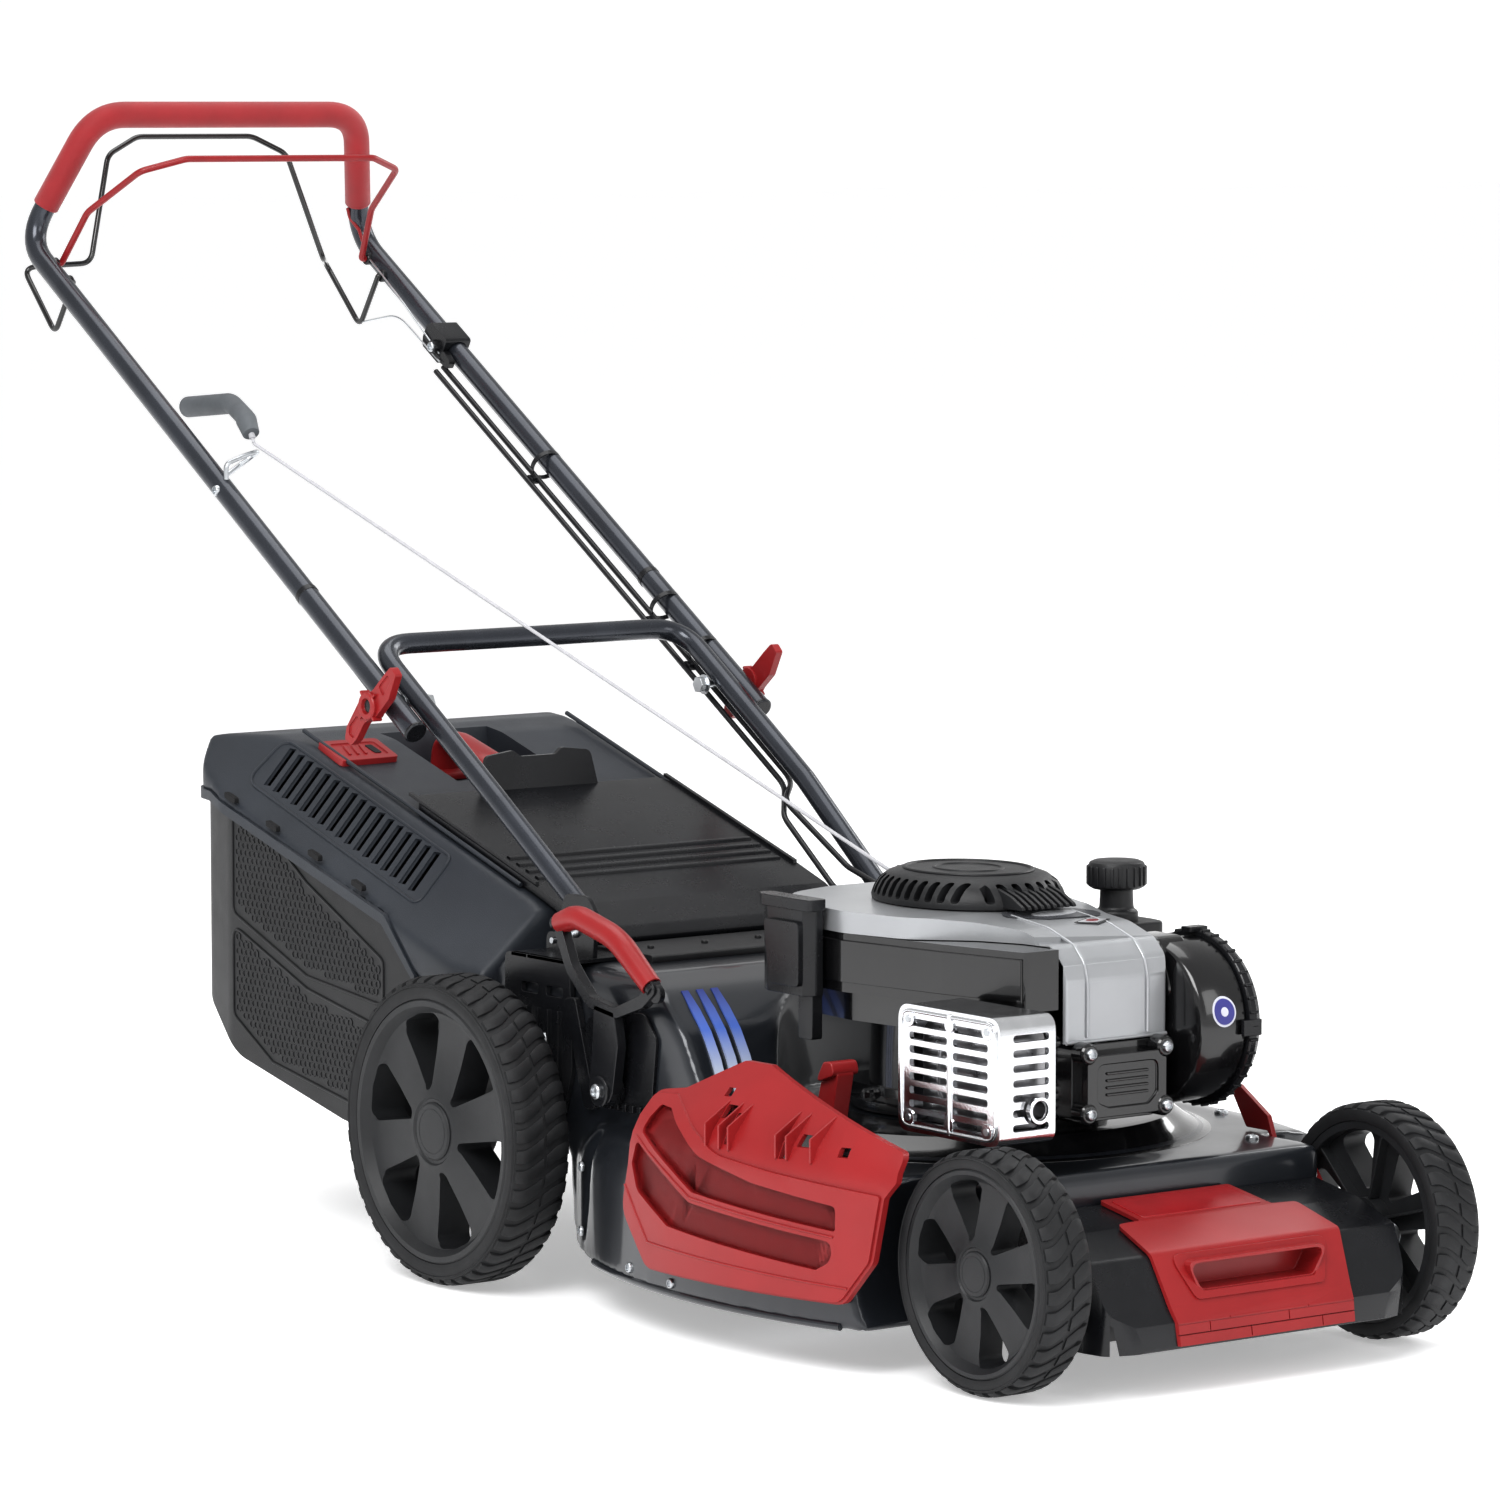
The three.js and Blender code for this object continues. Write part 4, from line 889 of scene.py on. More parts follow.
def rim_fins(centre, radius, face, inner, look):
    """Thin stiffening ribs down the back of each spoke and round the hub, seen through the openings."""
    near, far = radius * 0.21, radius * 0.79
    rib = block(inner + 6, face - 15, centre[1] + near, centre[1] + far, centre[2] - 1.1, centre[2] + 1.1)
    ribs = ring(rib, 6, (0, centre[1], centre[2]), (1, 0, 0), look, math.pi / 6 + 0.26)
    return ribs


def add_rims():
    for name, sign in WHEELS:
        centre, radius, face, inner = wheel_places(name)
        rim = rim_body(centre, radius, face, inner)
        fins = rim_fins(centre, radius, face, inner, "rim_plastic")
        hub = radius * 0.2
        cap = turned([(0, face - 9), (hub * 0.94, face - 9), (hub * 0.94, face - 5.4),
                      (hub * 0.88, face - 3.9), (hub * 0.45, face - 3.2), (0, face - 3.0)],
                     (0, centre[1], centre[2]), "X", 64)
        cap_rim = turned([(hub * 0.74, face - 3.9), (hub * 0.72, face - 3.1), (hub * 0.70, face - 3.9)],
                         (0, centre[1], centre[2]), "X", 64)
        nut = slab([(centre[1] + 7.5 * math.cos(k * math.pi / 3), centre[2] + 7.5 * math.sin(k * math.pi / 3))
                    for k in range(6)], inner + 1.5, inner + 5.2)
        bodies = [rim, merged(fins, cap, cap_rim), nut]
        if sign < 0:
            bodies = [mirrored_once(b) for b in bodies]
        piece(f"{name}_rim_spokes", bodies[0], f"{name}_wheel", "rim_plastic", [f"{name}_rim"],
              bevel=1.3, segments=3)
        piece(f"{name}_rim_hub", bodies[1], f"{name}_wheel", "rim_plastic", bevel=0.4)
        piece(f"{name}_hub_nut", bodies[2], f"{name}_wheel", "steel", bevel=0.4)


# ---------------------------------------------------------------- handle
SLOPE = 0.6377
TUBE_R = 10.75


def tube_z(y):
    """Height of the upper tubes' middle line at y."""
    return 822.7 + (y - 1404.6) * SLOPE


def mirror_path(half):
    """A path on the left carried on to its mirror on the right."""
    return [(-x, y, z) for x, y, z in half] + list(reversed(half))


GRIP_FOOT = (197, 1551, 916)
GRIP_CORNER = (154, 1489, 1040)


def add_tubes():
    foot = (198, 862, tube_z(862))
    upper = bend_path(mirror_path([foot, GRIP_FOOT, GRIP_CORNER]), [0, 42, 46, 46, 42, 0], 10)
    piece("upper_handle_tube", tube(upper, TUBE_R, 32), "upper_handle", "tube_paint", ["upper_handle"],
          bevel=0.6)
    half = [(176, 962, 550), (174.5, 762, 420), (166, 622, 318)]
    path = [(-x, y, z) for x, y, z in reversed(half)] + half
    lower = bend_path(path, [0, 60, 38, 38, 60, 0], 10)
    piece("lower_handle_tube", tube(lower, TUBE_R - 1, 32), "deck", "tube_paint", ["lower_handle"], bevel=0.6)
    caps = []
    for side in (-1, 1):
        start = Vector((side * 198, 862, tube_z(862)))
        way = Vector((0, -1, -SLOPE)).normalized()
        caps.append(tube([start - way * 3, start - way * 1, start + way * 0.4],
                         [TUBE_R + 0.5, TUBE_R + 0.6, TUBE_R - 1], 32))
        ring_at = Vector((side * 197.6, 1044, tube_z(1044)))
        caps.append(tube([ring_at - way * 3, ring_at + way * 3], TUBE_R + 0.5, 32))
    piece("tube_end_rings", merged(*caps), "upper_handle", "satin", bevel=0.4)


def add_foam_grip():
    foot = Vector(GRIP_FOOT).lerp(Vector(GRIP_CORNER), 0.27)
    half = [tuple(foot), GRIP_CORNER]
    path = bend_path(mirror_path(half), [0, 46, 46, 0], 12)
    first = path[0] + (path[1] - path[0]).normalized() * 1.2
    last = path[-1] + (path[-2] - path[-1]).normalized() * 1.2
    path = [path[0], first, *path[1:-1], last, path[-1]]
    sizes = [12.2, 13.1, *([13.1] * (len(path) - 4)), 13.1, 12.2]
    piece("foam_grip_sleeve", tube(path, sizes, 32, hollow=TUBE_R + 0.15), "upper_handle", "grip_foam",
          ["foam_grip"])


STOP_HALF = [(68, 1551, 1018), (106, 1545, 1000), (138, 1527, 893), (180, 1588, 888), (181, 1525, 824),
             (180.5, 1490, 876), (186, 1490, 876)]
DRIVE_HALF = [(110, 1391, 997), (151, 1411, 985), (168, 1483, 944), (178, 1517, 893), (186, 1517, 893)]


def full_bail(half):
    return [(-x, y, z) for x, y, z in reversed(half)] + half


def add_bails():
    stop = bend_path(full_bail(STOP_HALF), [0, 1.5, 9, 9, 12, 20, 30, 30, 20, 12, 9, 9, 1.5, 0], 8)
    piece("stop_bail_wire", tube(stop, 2.8, 16), "stop_bail", "gloss_black", ["stop_bail"], bevel=0.6)
    drive = bend_path(full_bail(DRIVE_HALF), [0, 4, 24, 16, 16, 16, 16, 24, 4, 0], 8)
    piece("drive_bail_wire", tube(drive, 3.3, 16), "drive_bail", "red_steel", ["drive_bail"], bevel=0.6)
    hook = bend_path([(181, 1516, 905), (184, 1530, 922), (180, 1541, 934), (174, 1536, 944)], [0, 8, 6, 0],
                     5)
    piece("drive_bail_hook", tube(hook, 1.8, 12), "drive_bail", "red_steel", bevel=0.4)
    bosses = []
    for side in (-1, 1):
        for place in ((1490, 876), (1517, 893)):
            bosses.append(turned([(0, 182.4), (5.4, 182.4), (6.4, 183.6), (6.4, 187.5), (0, 187.5)],
                                 (0, *place), "X", 32))
            if side < 0:
                bosses[-1] = mirrored_once(bosses[-1])
    piece("bail_pivot_washers", merged(*bosses), "upper_handle", "satin", bevel=0.4)


def clamp_body():
    slant = math.atan(SLOPE)
    y, z = 1386, tube_z(1386)
    cos, sin = math.cos(slant), math.sin(slant)

    def turn(x, along, up):
        return (x + 194, y + along * cos - up * sin, z + along * sin + up * cos)

    outline = round_corners([(-17, -14.5), (17, -14.5), (21, -6), (21, 8), (15, 14.5), (-17, 14.5)], 4, 4)
    body = slab(outline, -15, 15, "X", turn)
    start, end = Vector(turn(1.5, -60, 0)), Vector(turn(2.5, 60, 0))
    body = carve(body, ("cut", tube([start, end], TUBE_R + 1.1, 32)))
    boss = tube([turn(-14, -4, -2), turn(-20, -4, -2)], [7.5, 6.8], 24)
    fork = slab(round_corners([(-34, -9), (-17, -11), (-17, 3), (-34, 0)], 3, 3), -16, -9, "X", turn)
    return merged(body, boss, fork), screw_head(turn(-20, -4, -2), (-1, 0, 0), 5.4, 3.2)


def add_cable_clamp():
    body, screw = clamp_body()
    piece("cable_clamp_block", body, "upper_handle", "satin", ["cable_clamp"], bevel=1.2, segments=3)
    piece("cable_clamp_screw", screw, "upper_handle", "steel", bevel=0.25)
    wires = merged(
        tube(bend_path([(176, 1372, 792), (178, 1450, 838), (181, 1522, 828)], [0, 60, 0], 8), 0.9, 8),
        tube(bend_path([(178, 1376, 800), (176, 1440, 852), (181, 1505, 892)], [0, 60, 0], 8), 0.9, 8))
    piece("bail_wires", wires, "upper_handle", "steel")


def add_ties_and_guides():
    ties = []
    for y in (1210, 1010, 948):
        z = tube_z(y)
        way = Vector((0, 1, SLOPE)).normalized()
        middle = Vector((193, y, z - 3.5))
        band = tube([middle - way * 2.4, middle + way * 2.4], TUBE_R + 3.4, 28, hollow=TUBE_R + 2.2)
        bmesh.ops.scale(band, vec=(1.22, 1, 1.12), verts=band.verts, space=Matrix.Translation(-at(*middle)))
        head = slab([(y - 4, z - 22), (y + 5, z - 19), (y + 3, z - 13), (y - 6, z - 16)], 172, 180)
        ties.append(merged(band, head))
    piece("cable_ties", merged(*ties), "upper_handle", "satin", bevel=0.3)

    y, z = 1188, tube_z(1188)
    loop = bend_path([(-196.5, y - 2, z + 10), (-196.5, y - 2, z + 25), (-176, y - 2, z + 32),
                      (-160, y - 2, z + 36), (-156, y + 14, z + 31), (-170, y + 16, z + 22),
                      (-188, y + 14, z + 12)], [0, 8, 8, 7, 8, 8, 0], 6)
    nuts = merged(screw_head((-207, y - 2, z), (-1, 0, 0), 5.2, 3.6),
                  screw_head((-190, y + 15, z + 11), (0, 0.3, 1), 4.6, 3.2),
                  rod((-208, y - 2, z), (-196, y - 2, z + 11), 2.2))
    piece("rope_guide_loop", merged(tube(loop, 2.4, 14), nuts), "upper_handle", "steel", ["rope_guide"],
          bevel=0.3)


def add_starter_grip():
    path = bend_path([(-166, 1189, 737), (-163, 1204, 752), (-153, 1244, 764), (-150, 1328, 757.3)],
                     [0, 14, 30, 0], 8)
    count = len(path)
    sizes = [8.2] + [10.3 - 1.1 * math.sin(math.pi * i / (count - 1)) for i in range(1, count)]
    sizes[-1] = 10.2
    body = tube(path, sizes, 28)
    mouth = tube([path[-1] + (path[-2] - path[-1]).normalized() * 16,
                  path[-1] - (path[-2] - path[-1]).normalized() * 2], 7.2, 24)
    body = carve(body, ("cut", mouth))
    piece("starter_grip_body", body, "starter_grip", "grip_rubber", ["starter_grip"], bevel=1.0)
    knot = tube([(-166, 1186.6, 733), (-165.6, 1191, 740)], [3.4, 2.6], 14)
    piece("rope_knot", knot, "starter_grip", "rope", bevel=0.8)


def add_cords():
    """The starter rope and the two sheathed cables cross the folding joint, so they are left attached to
    neither body.
    """
    bend = ("deck", "upper_handle", at(0, FOLD[0] - 120, FOLD[1] - 70), at(0, FOLD[0] + 60, FOLD[1] + 40))
    low, high = Vector((-30, 372, 384)), Vector((-166, 1184, 728))
    run = [Vector((-24, 350, 380)), low] + [low.lerp(high, (k + 1) / 40) for k in range(40)]
    piece("starter_rope_line", tube(run, 1.75, 10), "deck", "rope", ["starter_rope"], blend=bend)
    foot, tip = Vector((-166, 1184.6, 729)), Vector((-166, 1188.6, 736.2))
    end = tube([foot.lerp(tip, k / 6) for k in range(7)], 1.75, 10)
    piece("starter_rope_end", end, "upper_handle", "rope", ["rope_end"],
          blend=("upper_handle", "starter_grip", at(*foot), at(*tip)))
    for name, dx, dz, ends in (
        ("stop_cable", -12, -4, [(136, 745, 388), (122, 650, 332), (96, 560, 322), (60, 470, 334)]),
        ("drive_cable", -3, 0, [(144, 754, 402), (138, 650, 350), (120, 548, 332), (92, 452, 324)]),
    ):
        along = [(183 + dx, y, tube_z(y) - 15 + dz) for y in (1372, 1210, 1010, 905, 790)]
        corners = [*along, *ends]
        path = bend_path(corners, [0, *([40] * (len(corners) - 2)), 0], 5)
        fine = [path[0]]
        for a, b in zip(path, path[1:]):
            parts = max(1, round((b - a).length / 14))
            fine += [a.lerp(b, (k + 1) / parts) for k in range(parts)]
        piece(f"{name}_sheath", tube(fine, 2.7, 12), "deck", "satin", [name], blend=bend)


def knob_outline():
    return round_corners([(-44, 31), (-36, 39), (-24, 30), (-6, 15), (12, 9), (38, -22), (41, -34),
                          (31, -39), (22, -33), (8, -16), (-10, -10), (-32, 8)],
                         [3, 4, 8, 10, 8, 8, 4, 4, 8, 10, 8, 8], 4)


def add_fold_knobs():
    y, z = FOLD
    for side, sign in (("right", -1), ("left", 1)):
        wing = slab([(y + a, z + b) for a, b in knob_outline()], 214, 222)
        groove = [slab([(y + a * 0.86 + dy, z + b * 0.86 + dz) for a, b in round_corners(part, 3, 3)],
                       220.4, 224) for part, dy, dz in (([(-42, 30), (-36, 36), (-18, 22), (-27, 12)], 0,
                                                         0), ([(38, -24), (40, -33), (31, -37), (16, -18),
                                                               (24, -12)], 0, 0))]
        wing = carve(wing, *[("cut", g) for g in groove])
        boss = turned([(3.6, 212), (13, 212), (13, 224.6), (11.8, 226), (7.4, 226), (6.6, 222.5),
                       (3.6, 222.5)], (0, y, z), "X", 40)
        fins = [slab([(y + c * math.cos(t) - s * math.sin(t), z + c * math.sin(t) + s * math.cos(t))
                      for c, s in ((12, -1.2), (17, -1.2), (17, 1.2), (12, 1.2))], 215, 225)
                for t in (0.9, 2.4, 4.0, 5.5)]
        body = merged(wing, boss, *fins)
        dark = turned([(0, 218.4), (6.2, 218.4), (6.2, 223), (4, 223.6), (0, 223.6)], (0, y, z), "X", 24)
        bolt = merged(rod((160, y, z), (217.5, y, z), 3.2),
                      slab([(y + 8 * math.cos(k * math.pi / 3), z + 8 * math.sin(k * math.pi / 3))
                            for k in range(6)], 153, 160), turned([(0, 160), (9.5, 160), (9.5, 161.4),
            (0, 161.4)], (0, y, z), "X", 32), turned([(0, 184.8), (9, 184.8), (9, 186.4), (0, 186.4)],
                                                     (0, y, z), "X", 32))
        bodies = [body, dark, bolt]
        if sign < 0:
            bodies = [mirrored_once(b) for b in bodies]
        piece(f"fold_knob_{side}", bodies[0], f"fold_clamp_{side}", "red_plastic", [f"fold_clamp_{side}"],
              bevel=0.9, segments=2)
        piece(f"fold_knob_core_{side}", bodies[1], f"fold_clamp_{side}", "satin", bevel=0.5)
        piece(f"fold_bolt_{side}_steel", bodies[2], "deck", "steel", [f"fold_bolt_{side}"], bevel=0.4)


# ---------------------------------------------------------------- engine
COWL_PLAN = [(-56, 99), (-62, 150), (-80, 190), (-122, 232), (-138, 300), (-132, 372), (-96, 430), (-40, 448),
             (40, 448), (80, 420), (96, 360), (92, 290), (72, 236), (56, 180), (56, 99)]
COWL_RADII = [5, 40, 40, 50, 60, 60, 60, 50, 50, 50, 60, 60, 50, 40, 5]
BLOWER_PLAN = [(-96, 105), (-116, 190), (-135, 304), (-130, 380), (-96, 428), (-40, 444), (40, 444),
               (76, 428), (89, 380), (89, 232), (58, 190), (54, 105)]


def grow(outline, share, about=(0, 300)):
    return [(about[0] + (a - about[0]) * share, about[1] + (b - about[1]) * share) for a, b in outline]


def cowl_block(plan, inset):
    side = [(99, 264), (99, 316), (103, 332), (116, 345), (150, 356), (220, 363), (470, 364), (470, 344.6),
            (118, 344.6), (102.4, 330), (102.4, 264)]
    if inset:
        side = [(102.6, 200), (102.6, 314), (106, 329), (118, 341.5), (151, 352.6), (220, 359.6),
                (480, 360.6), (480, 200)]
    soft = round_corners(side, [0, 30, 14, 14, 60, 90, 0, 0, 0, 0, 0]
                         if not inset else [0, 30, 14, 14, 60, 90, 0, 0], 5)
    return carve(slab(soft, -160, 160), ("keep", slab(plan, 150, 400, "Z")))


# bead radius along each fold of the cowl
FOLD_WIDTHS = [1.2] + [1.7] * 24 + [0.8]


def add_cowl():
    plan = round_corners(COWL_PLAN, COWL_RADII, 6)
    skin = cowl_block(plan, 0)
    inner = cowl_block(round_corners(grow(COWL_PLAN, 0.97), COWL_RADII, 6), 3)
    hole = turned([(0, 340), (68, 340), (68, 380), (0, 380)], (0, 300, 0), "Z", 64)
    shell = carve(skin, ("cut", inner), ("cut", hole))
    piece("engine_cowl_skin", shell, "deck", "silver_plastic", ["engine_cowl"], bevel=2.2, segments=3)
    ribs = []
    for x in (-33, 33):
        path = [(x, 98.2, 268), (x, 98.2, 314), (x, 102.6, 330.5), (x, 116, 344.4), (x, 150, 355.6),
                (x, 200, 361.2)]
        line = bend_path(path, [0, 30, 14, 14, 60, 0], 4)
        ribs.append(tube(line, FOLD_WIDTHS if len(line) == len(FOLD_WIDTHS) else 1.6, 10))
    lip = tube([(-55, 99.5, 264.6), (55, 99.5, 264.6)], 1.7, 10)
    piece("cowl_folds", merged(*ribs, lip), "deck", "silver_plastic")


def decal_patch(outline, plane, lift, look, name, body="deck"):
    """A thin printed patch on a flat or sloping place; plane maps the outline to a point in mm."""
    bm = bmesh.new()
    rings = [[bm.verts.new(at(*plane(a, b, h))) for a, b in outline] for h in (lift - 0.5, lift)]
    join_rings(bm, rings)
    bm.faces.new(rings[0][::-1])
    bm.faces.new(rings[1])
    return piece(name, outward(bm), body, look)


def cowl_top(x, y, lift):
    """The cowl's top along its middle, where the printed patches lie."""
    rows = [(116, 345), (150, 356), (220, 363), (470, 364)]
    for (y0, z0), (y1, z1) in zip(rows, rows[1:]):
        if y <= y1:
            return (x, y, z0 + (z1 - z0) * (y - y0) / (y1 - y0) + lift)
    return (x, y, 364 + lift)


def oval_outline(cx, cy, rx, ry, count=40):
    return [(cx + rx * math.cos(t), cy + ry * math.sin(t))
            for t in [k * 2 * math.pi / count for k in range(count)]]


def add_decals():
    grey = plain_finish("printed graphite patch", (0.07, 0.072, 0.08), 0.28)
    pale = plain_finish("printed silver patch", (0.55, 0.56, 0.58), 0.3, 0.3)
    ink = plain_finish("printed black patch", (0.012, 0.012, 0.014), 0.25)
    wine = plain_finish("printed wine patch", (0.22, 0.02, 0.028), 0.3)
    band = [(-44, 196), (-10, 176), (44, 172), (52, 186), (40, 204), (8, 214), (-34, 214)]
    decal_patch(round_corners(band, 12, 5), cowl_top, 1.1, grey, "cowl_print_band")
    decal_patch(oval_outline(8, 193, 24, 8.5), cowl_top, 1.5, pale, "cowl_print_oval")
    decal_patch([(0, 156), (20, 147), (40, 156), (20, 165)], cowl_top, 1.3, ink, "cowl_print_diamond_edge")
    decal_patch([(4.5, 156), (20, 149.2), (35.5, 156), (20, 162.8)], cowl_top, 1.7, pale,
                "cowl_print_diamond")
    decal_patch(oval_outline(20, 156, 6.5, 3.2, 24), cowl_top, 2.0, wine, "cowl_print_dot")


def curved_patch(radius, place, low, high, look, name):
    """A round sticker wrapped on the filter drum."""
    ring_ = turned([(low, 62), (high, 62), (high, 112), (low, 112)], (0, 132, 270), "X", 120)
    x, z = place
    body = carve(ring_, ("keep", rod((x, 20, z), (x, 110, z), radius, 48)))
    piece(name, body, "deck", look)


def add_blower():
    outer = slab(round_corners(BLOWER_PLAN, [10, 30, 40, 40, 40, 40, 40, 40, 40, 30, 20, 6], 5), 293, 344,
                 "Z")
    inner = slab(round_corners(grow(BLOWER_PLAN, 0.955, (0, 280)), 30, 5), 280, 340.5, "Z")
    mouth = block(-59, 60, 90, 118.6, 280, 345)
    hole = turned([(0, 330), (66, 330), (66, 350), (0, 350)], (0, 300, 0), "Z", 48)
    body = carve(outer, ("cut", inner), ("cut", mouth), ("cut", hole))
    # the swelling panel down the right side with its sunk edge
    swell = [(-96.5, 108), (-99, 104), (-118, 188), (-137.5, 303), (-133, 372), (-128, 372), (-131, 304),
             (-112, 190)]
    panel = slab(round_corners(swell, [2, 3, 30, 40, 3, 3, 40, 30], 4), 302, 338, "Z")
    piece("blower_shell", body, "deck", "gloss_black", ["blower_housing"], bevel=4.5, segments=4)
    piece("blower_side_panel", panel, "deck", "gloss_black", bevel=2.5, segments=3)
    skirt_plan = round_corners([(-98, 120), (-112, 190), (-126, 304), (-120, 372), (-88, 420), (-36, 436),
                                (36, 436), (72, 420), (84, 372), (84, 240), (56, 196)], 25, 4)
    low = slab(skirt_plan, 268, 296, "Z")
    low = carve(low, ("cut", slab(grow(skirt_plan, 0.955, (0, 280)), 260, 300, "Z")),
                ("cut", block(-200, -60, 100, 208, 250, 300)))
    piece("blower_skirt", low, "deck", "gloss_black", bevel=2)


def vent_rows():
    return [(0, 358), (58, 358), (58, 364.4), (82, 364.4), (82.5, 368), (80, 375), (75.5, 382),
            (68, 387.6), (60, 390.4), (48, 391.4), (0, 391.4)]


def add_vent_dome():
    dome = turned(vent_rows(), (0, 300, 0), "Z", 96, 1.167)
    bmesh.ops.scale(dome, vec=(0.96, 0.96, 1), verts=dome.verts, space=Matrix.Translation(-at(0, 300, 0)))
    inner = turned([(0, 350), (55, 350), (55, 367), (74, 368), (69, 380), (57, 386.6), (0, 387.4)],
                   (0, 300, 0), "Z", 64, 1.167)
    bmesh.ops.scale(inner, vec=(0.96, 0.96, 1), verts=inner.verts, space=Matrix.Translation(-at(0, 300, 0)))
    bar_ = slab(round_corners([(296.6, 369.5), (303.4, 369.5), (303.4, 386.2), (296.6, 386.2)], 3, 3), -95,
                -41)
    slots = []
    for i in range(11):
        y = -57 + i * 11.4
        one = bar_.copy()
        bmesh.ops.translate(one, vec=(0, y * MM, 0), verts=one.verts)
        slots.append(("cut", one))
        slots.append(("cut", mirrored(one)))
    bar_.free()
    front = []
    for i in range(7):
        x = -39 + i * 13
        front.append(("cut", slab(round_corners([(x - 3.6, 369.5), (x + 3.6, 369.5), (x + 3.6, 385.4),
                                                 (x - 3.6, 385.4)], 3, 3), 180, 232, "Y")))
    dome = carve(dome, ("cut", inner), *slots, *front)
    piece("vent_dome_shell", dome, "deck", "black_plastic", ["vent_dome"], bevel=0.9)
    # a dark disc in the recess finish under the slots: painted shade standing in for the dark inside of the
    # dome
    dark = turned([(0, 352), (52, 352), (52, 371), (66, 371), (66, 374), (0, 375)], (0, 300, 0), "Z", 64, 1.1)
    piece("vent_painted_shade_disc", dark, "deck", "recess")
    rings = [turned([(0, 391), (r, 391), (r - 1, 392.6), (r - 3, 392.6), (r - 4, 391)], (0, 300, 0), "Z",
                    72, 1.167) for r in (54, 30)]
    tail = row(slab(round_corners([(188, 366), (226, 366), (226, 383), (206, 377), (190, 369)], 2, 2), -30,
                    -26.4), 9, (7, 0, 0), "black_plastic")
    piece("vent_dome_ridges", merged(*rings, tail), "deck", "black_plastic", bevel=0.5)


def add_fuel_parts():
    tank = slab(round_corners([(90, 208), (146, 208), (150, 226), (150, 320), (140, 334), (90, 334)],
                              [4, 10, 14, 14, 10, 4], 5), 297, 343, "Z")
    neck = turned([(0, 330), (19, 330), (19, 352), (15, 354), (14, 379), (0, 379)], (114, 236, 0), "Z", 40)
    piece("fuel_tank_body", merged(tank, neck), "deck", "black_plastic", ["fuel_tank"], bevel=3, segments=3)
    cap = turned([(0, 371.5), (21, 371.5), (24.6, 373.5), (25, 376), (25, 391), (23.6, 394.4), (20, 396),
                  (6, 396), (0, 395.4)], (114, 236, 0), "Z", 56)
    grip = ring(slab(round_corners([(260, 374.5), (262.3, 374.5), (262.3, 391.5), (260, 391.5)], 1, 2),
                     112.6, 115.4), 22, (114, 236, 380), (0, 0, 1), "black_plastic")
    piece("fuel_cap_body", merged(cap, grip), "fuel_cap", "black_plastic", ["fuel_cap"], bevel=0.5)


def add_filter():
    housing = turned([(0, 62), (58, 62), (67, 66), (71, 73), (71, 112), (0, 112)], (0, 132, 270), "X", 72)
    cover = turned([(0, 112.6), (74.6, 112.6), (76, 114), (76, 120), (74.6, 121.4), (72, 123), (70, 128),
                    (66, 131.6), (60, 133.6), (44, 134.4), (42, 132.6), (16, 132.6), (14, 134.2),
                    (0, 134.4)], (0, 132, 270), "X", 96)
    ribs = ring(slab(round_corners([(202.4, 268.6), (209.4, 268.6), (209.4, 271.4), (202.4, 271.4)], 1, 2),
                     112.8, 121.2), 40, (112, 132, 270), (1, 0, 0), "gloss_black")
    clips = [block(104, 124, 126, 138, 344, 348.6), block(104, 124, 54.6, 58.6, 262, 276)]
    curved_patch(13, (88, 284), 70.6, 71.35, plain_finish("printed pale patch", (0.62, 0.63, 0.70), 0.3),
                 "filter_sticker_edge")
    curved_patch(11, (88, 284), 70.6, 71.7, plain_finish("printed blue patch", (0.06, 0.06, 0.26), 0.3),
                 "filter_sticker")
    curved_patch(4, (88, 284), 70.6, 72.0, plain_finish("printed white mark", (0.62, 0.63, 0.70), 0.3),
                 "filter_sticker_mark")
    piece("filter_drum", housing, "deck", "gloss_black", ["filter_housing"], bevel=2, segments=3)
    piece("filter_lid", merged(cover, ribs, *clips), "deck", "satin", ["filter_cover"], bevel=0.6)
    neck = slab(round_corners([(96, 292), (118, 344), (160, 344), (176, 300)], 10, 4), 60, 92)
    piece("filter_intake", neck, "deck", "gloss_black", bevel=4, segments=3)


def add_block():
    low = slab(round_corners([(-84, 204), (-60, 196), (60, 196), (84, 204), (92, 300), (84, 396),
                              (-84, 396), (-92, 300)], 30, 5), 187, 206, "Z")
    case_ = turned([(14, 186), (102, 186), (104, 190), (104, 195), (90, 199), (86, 206), (84, 262),
                    (86, 290), (60, 296), (14, 296)], (0, 300, 0), "Z", 72)
    flange = ring(turned([(0, 187), (8, 187), (8, 201), (6.5, 203), (0, 203)], (0, 394, 0), "Z", 20), 6,
                  (0, 300, 190), (0, 0, 1), "gloss_black", 0.3)
    head = slab(round_corners([(118, 202), (250, 202), (250, 268), (118, 268)], 6, 3), -46, 46)
    fins = row(slab(round_corners([(-60, 124), (60, 124), (60, 200), (-60, 200)], 6, 3), 205, 207.4, "Z"),
               10, (0, 0, 6.4), "gloss_black")
    port = tube([(-40, 150, 238), (-121, 150, 238)], 13, 28)
    arm = tube(bend_path([(40, 150, 250), (62, 150, 262), (74, 140, 262)], [0, 14, 0], 5), 15, 24)
    piece("engine_casting", merged(low, case_, flange, head, port, arm), "deck", "gloss_black",
          ["engine_block"], bevel=2, segments=2)
    piece("cylinder_fins", fins, "deck", "gloss_black", bevel=0.5)


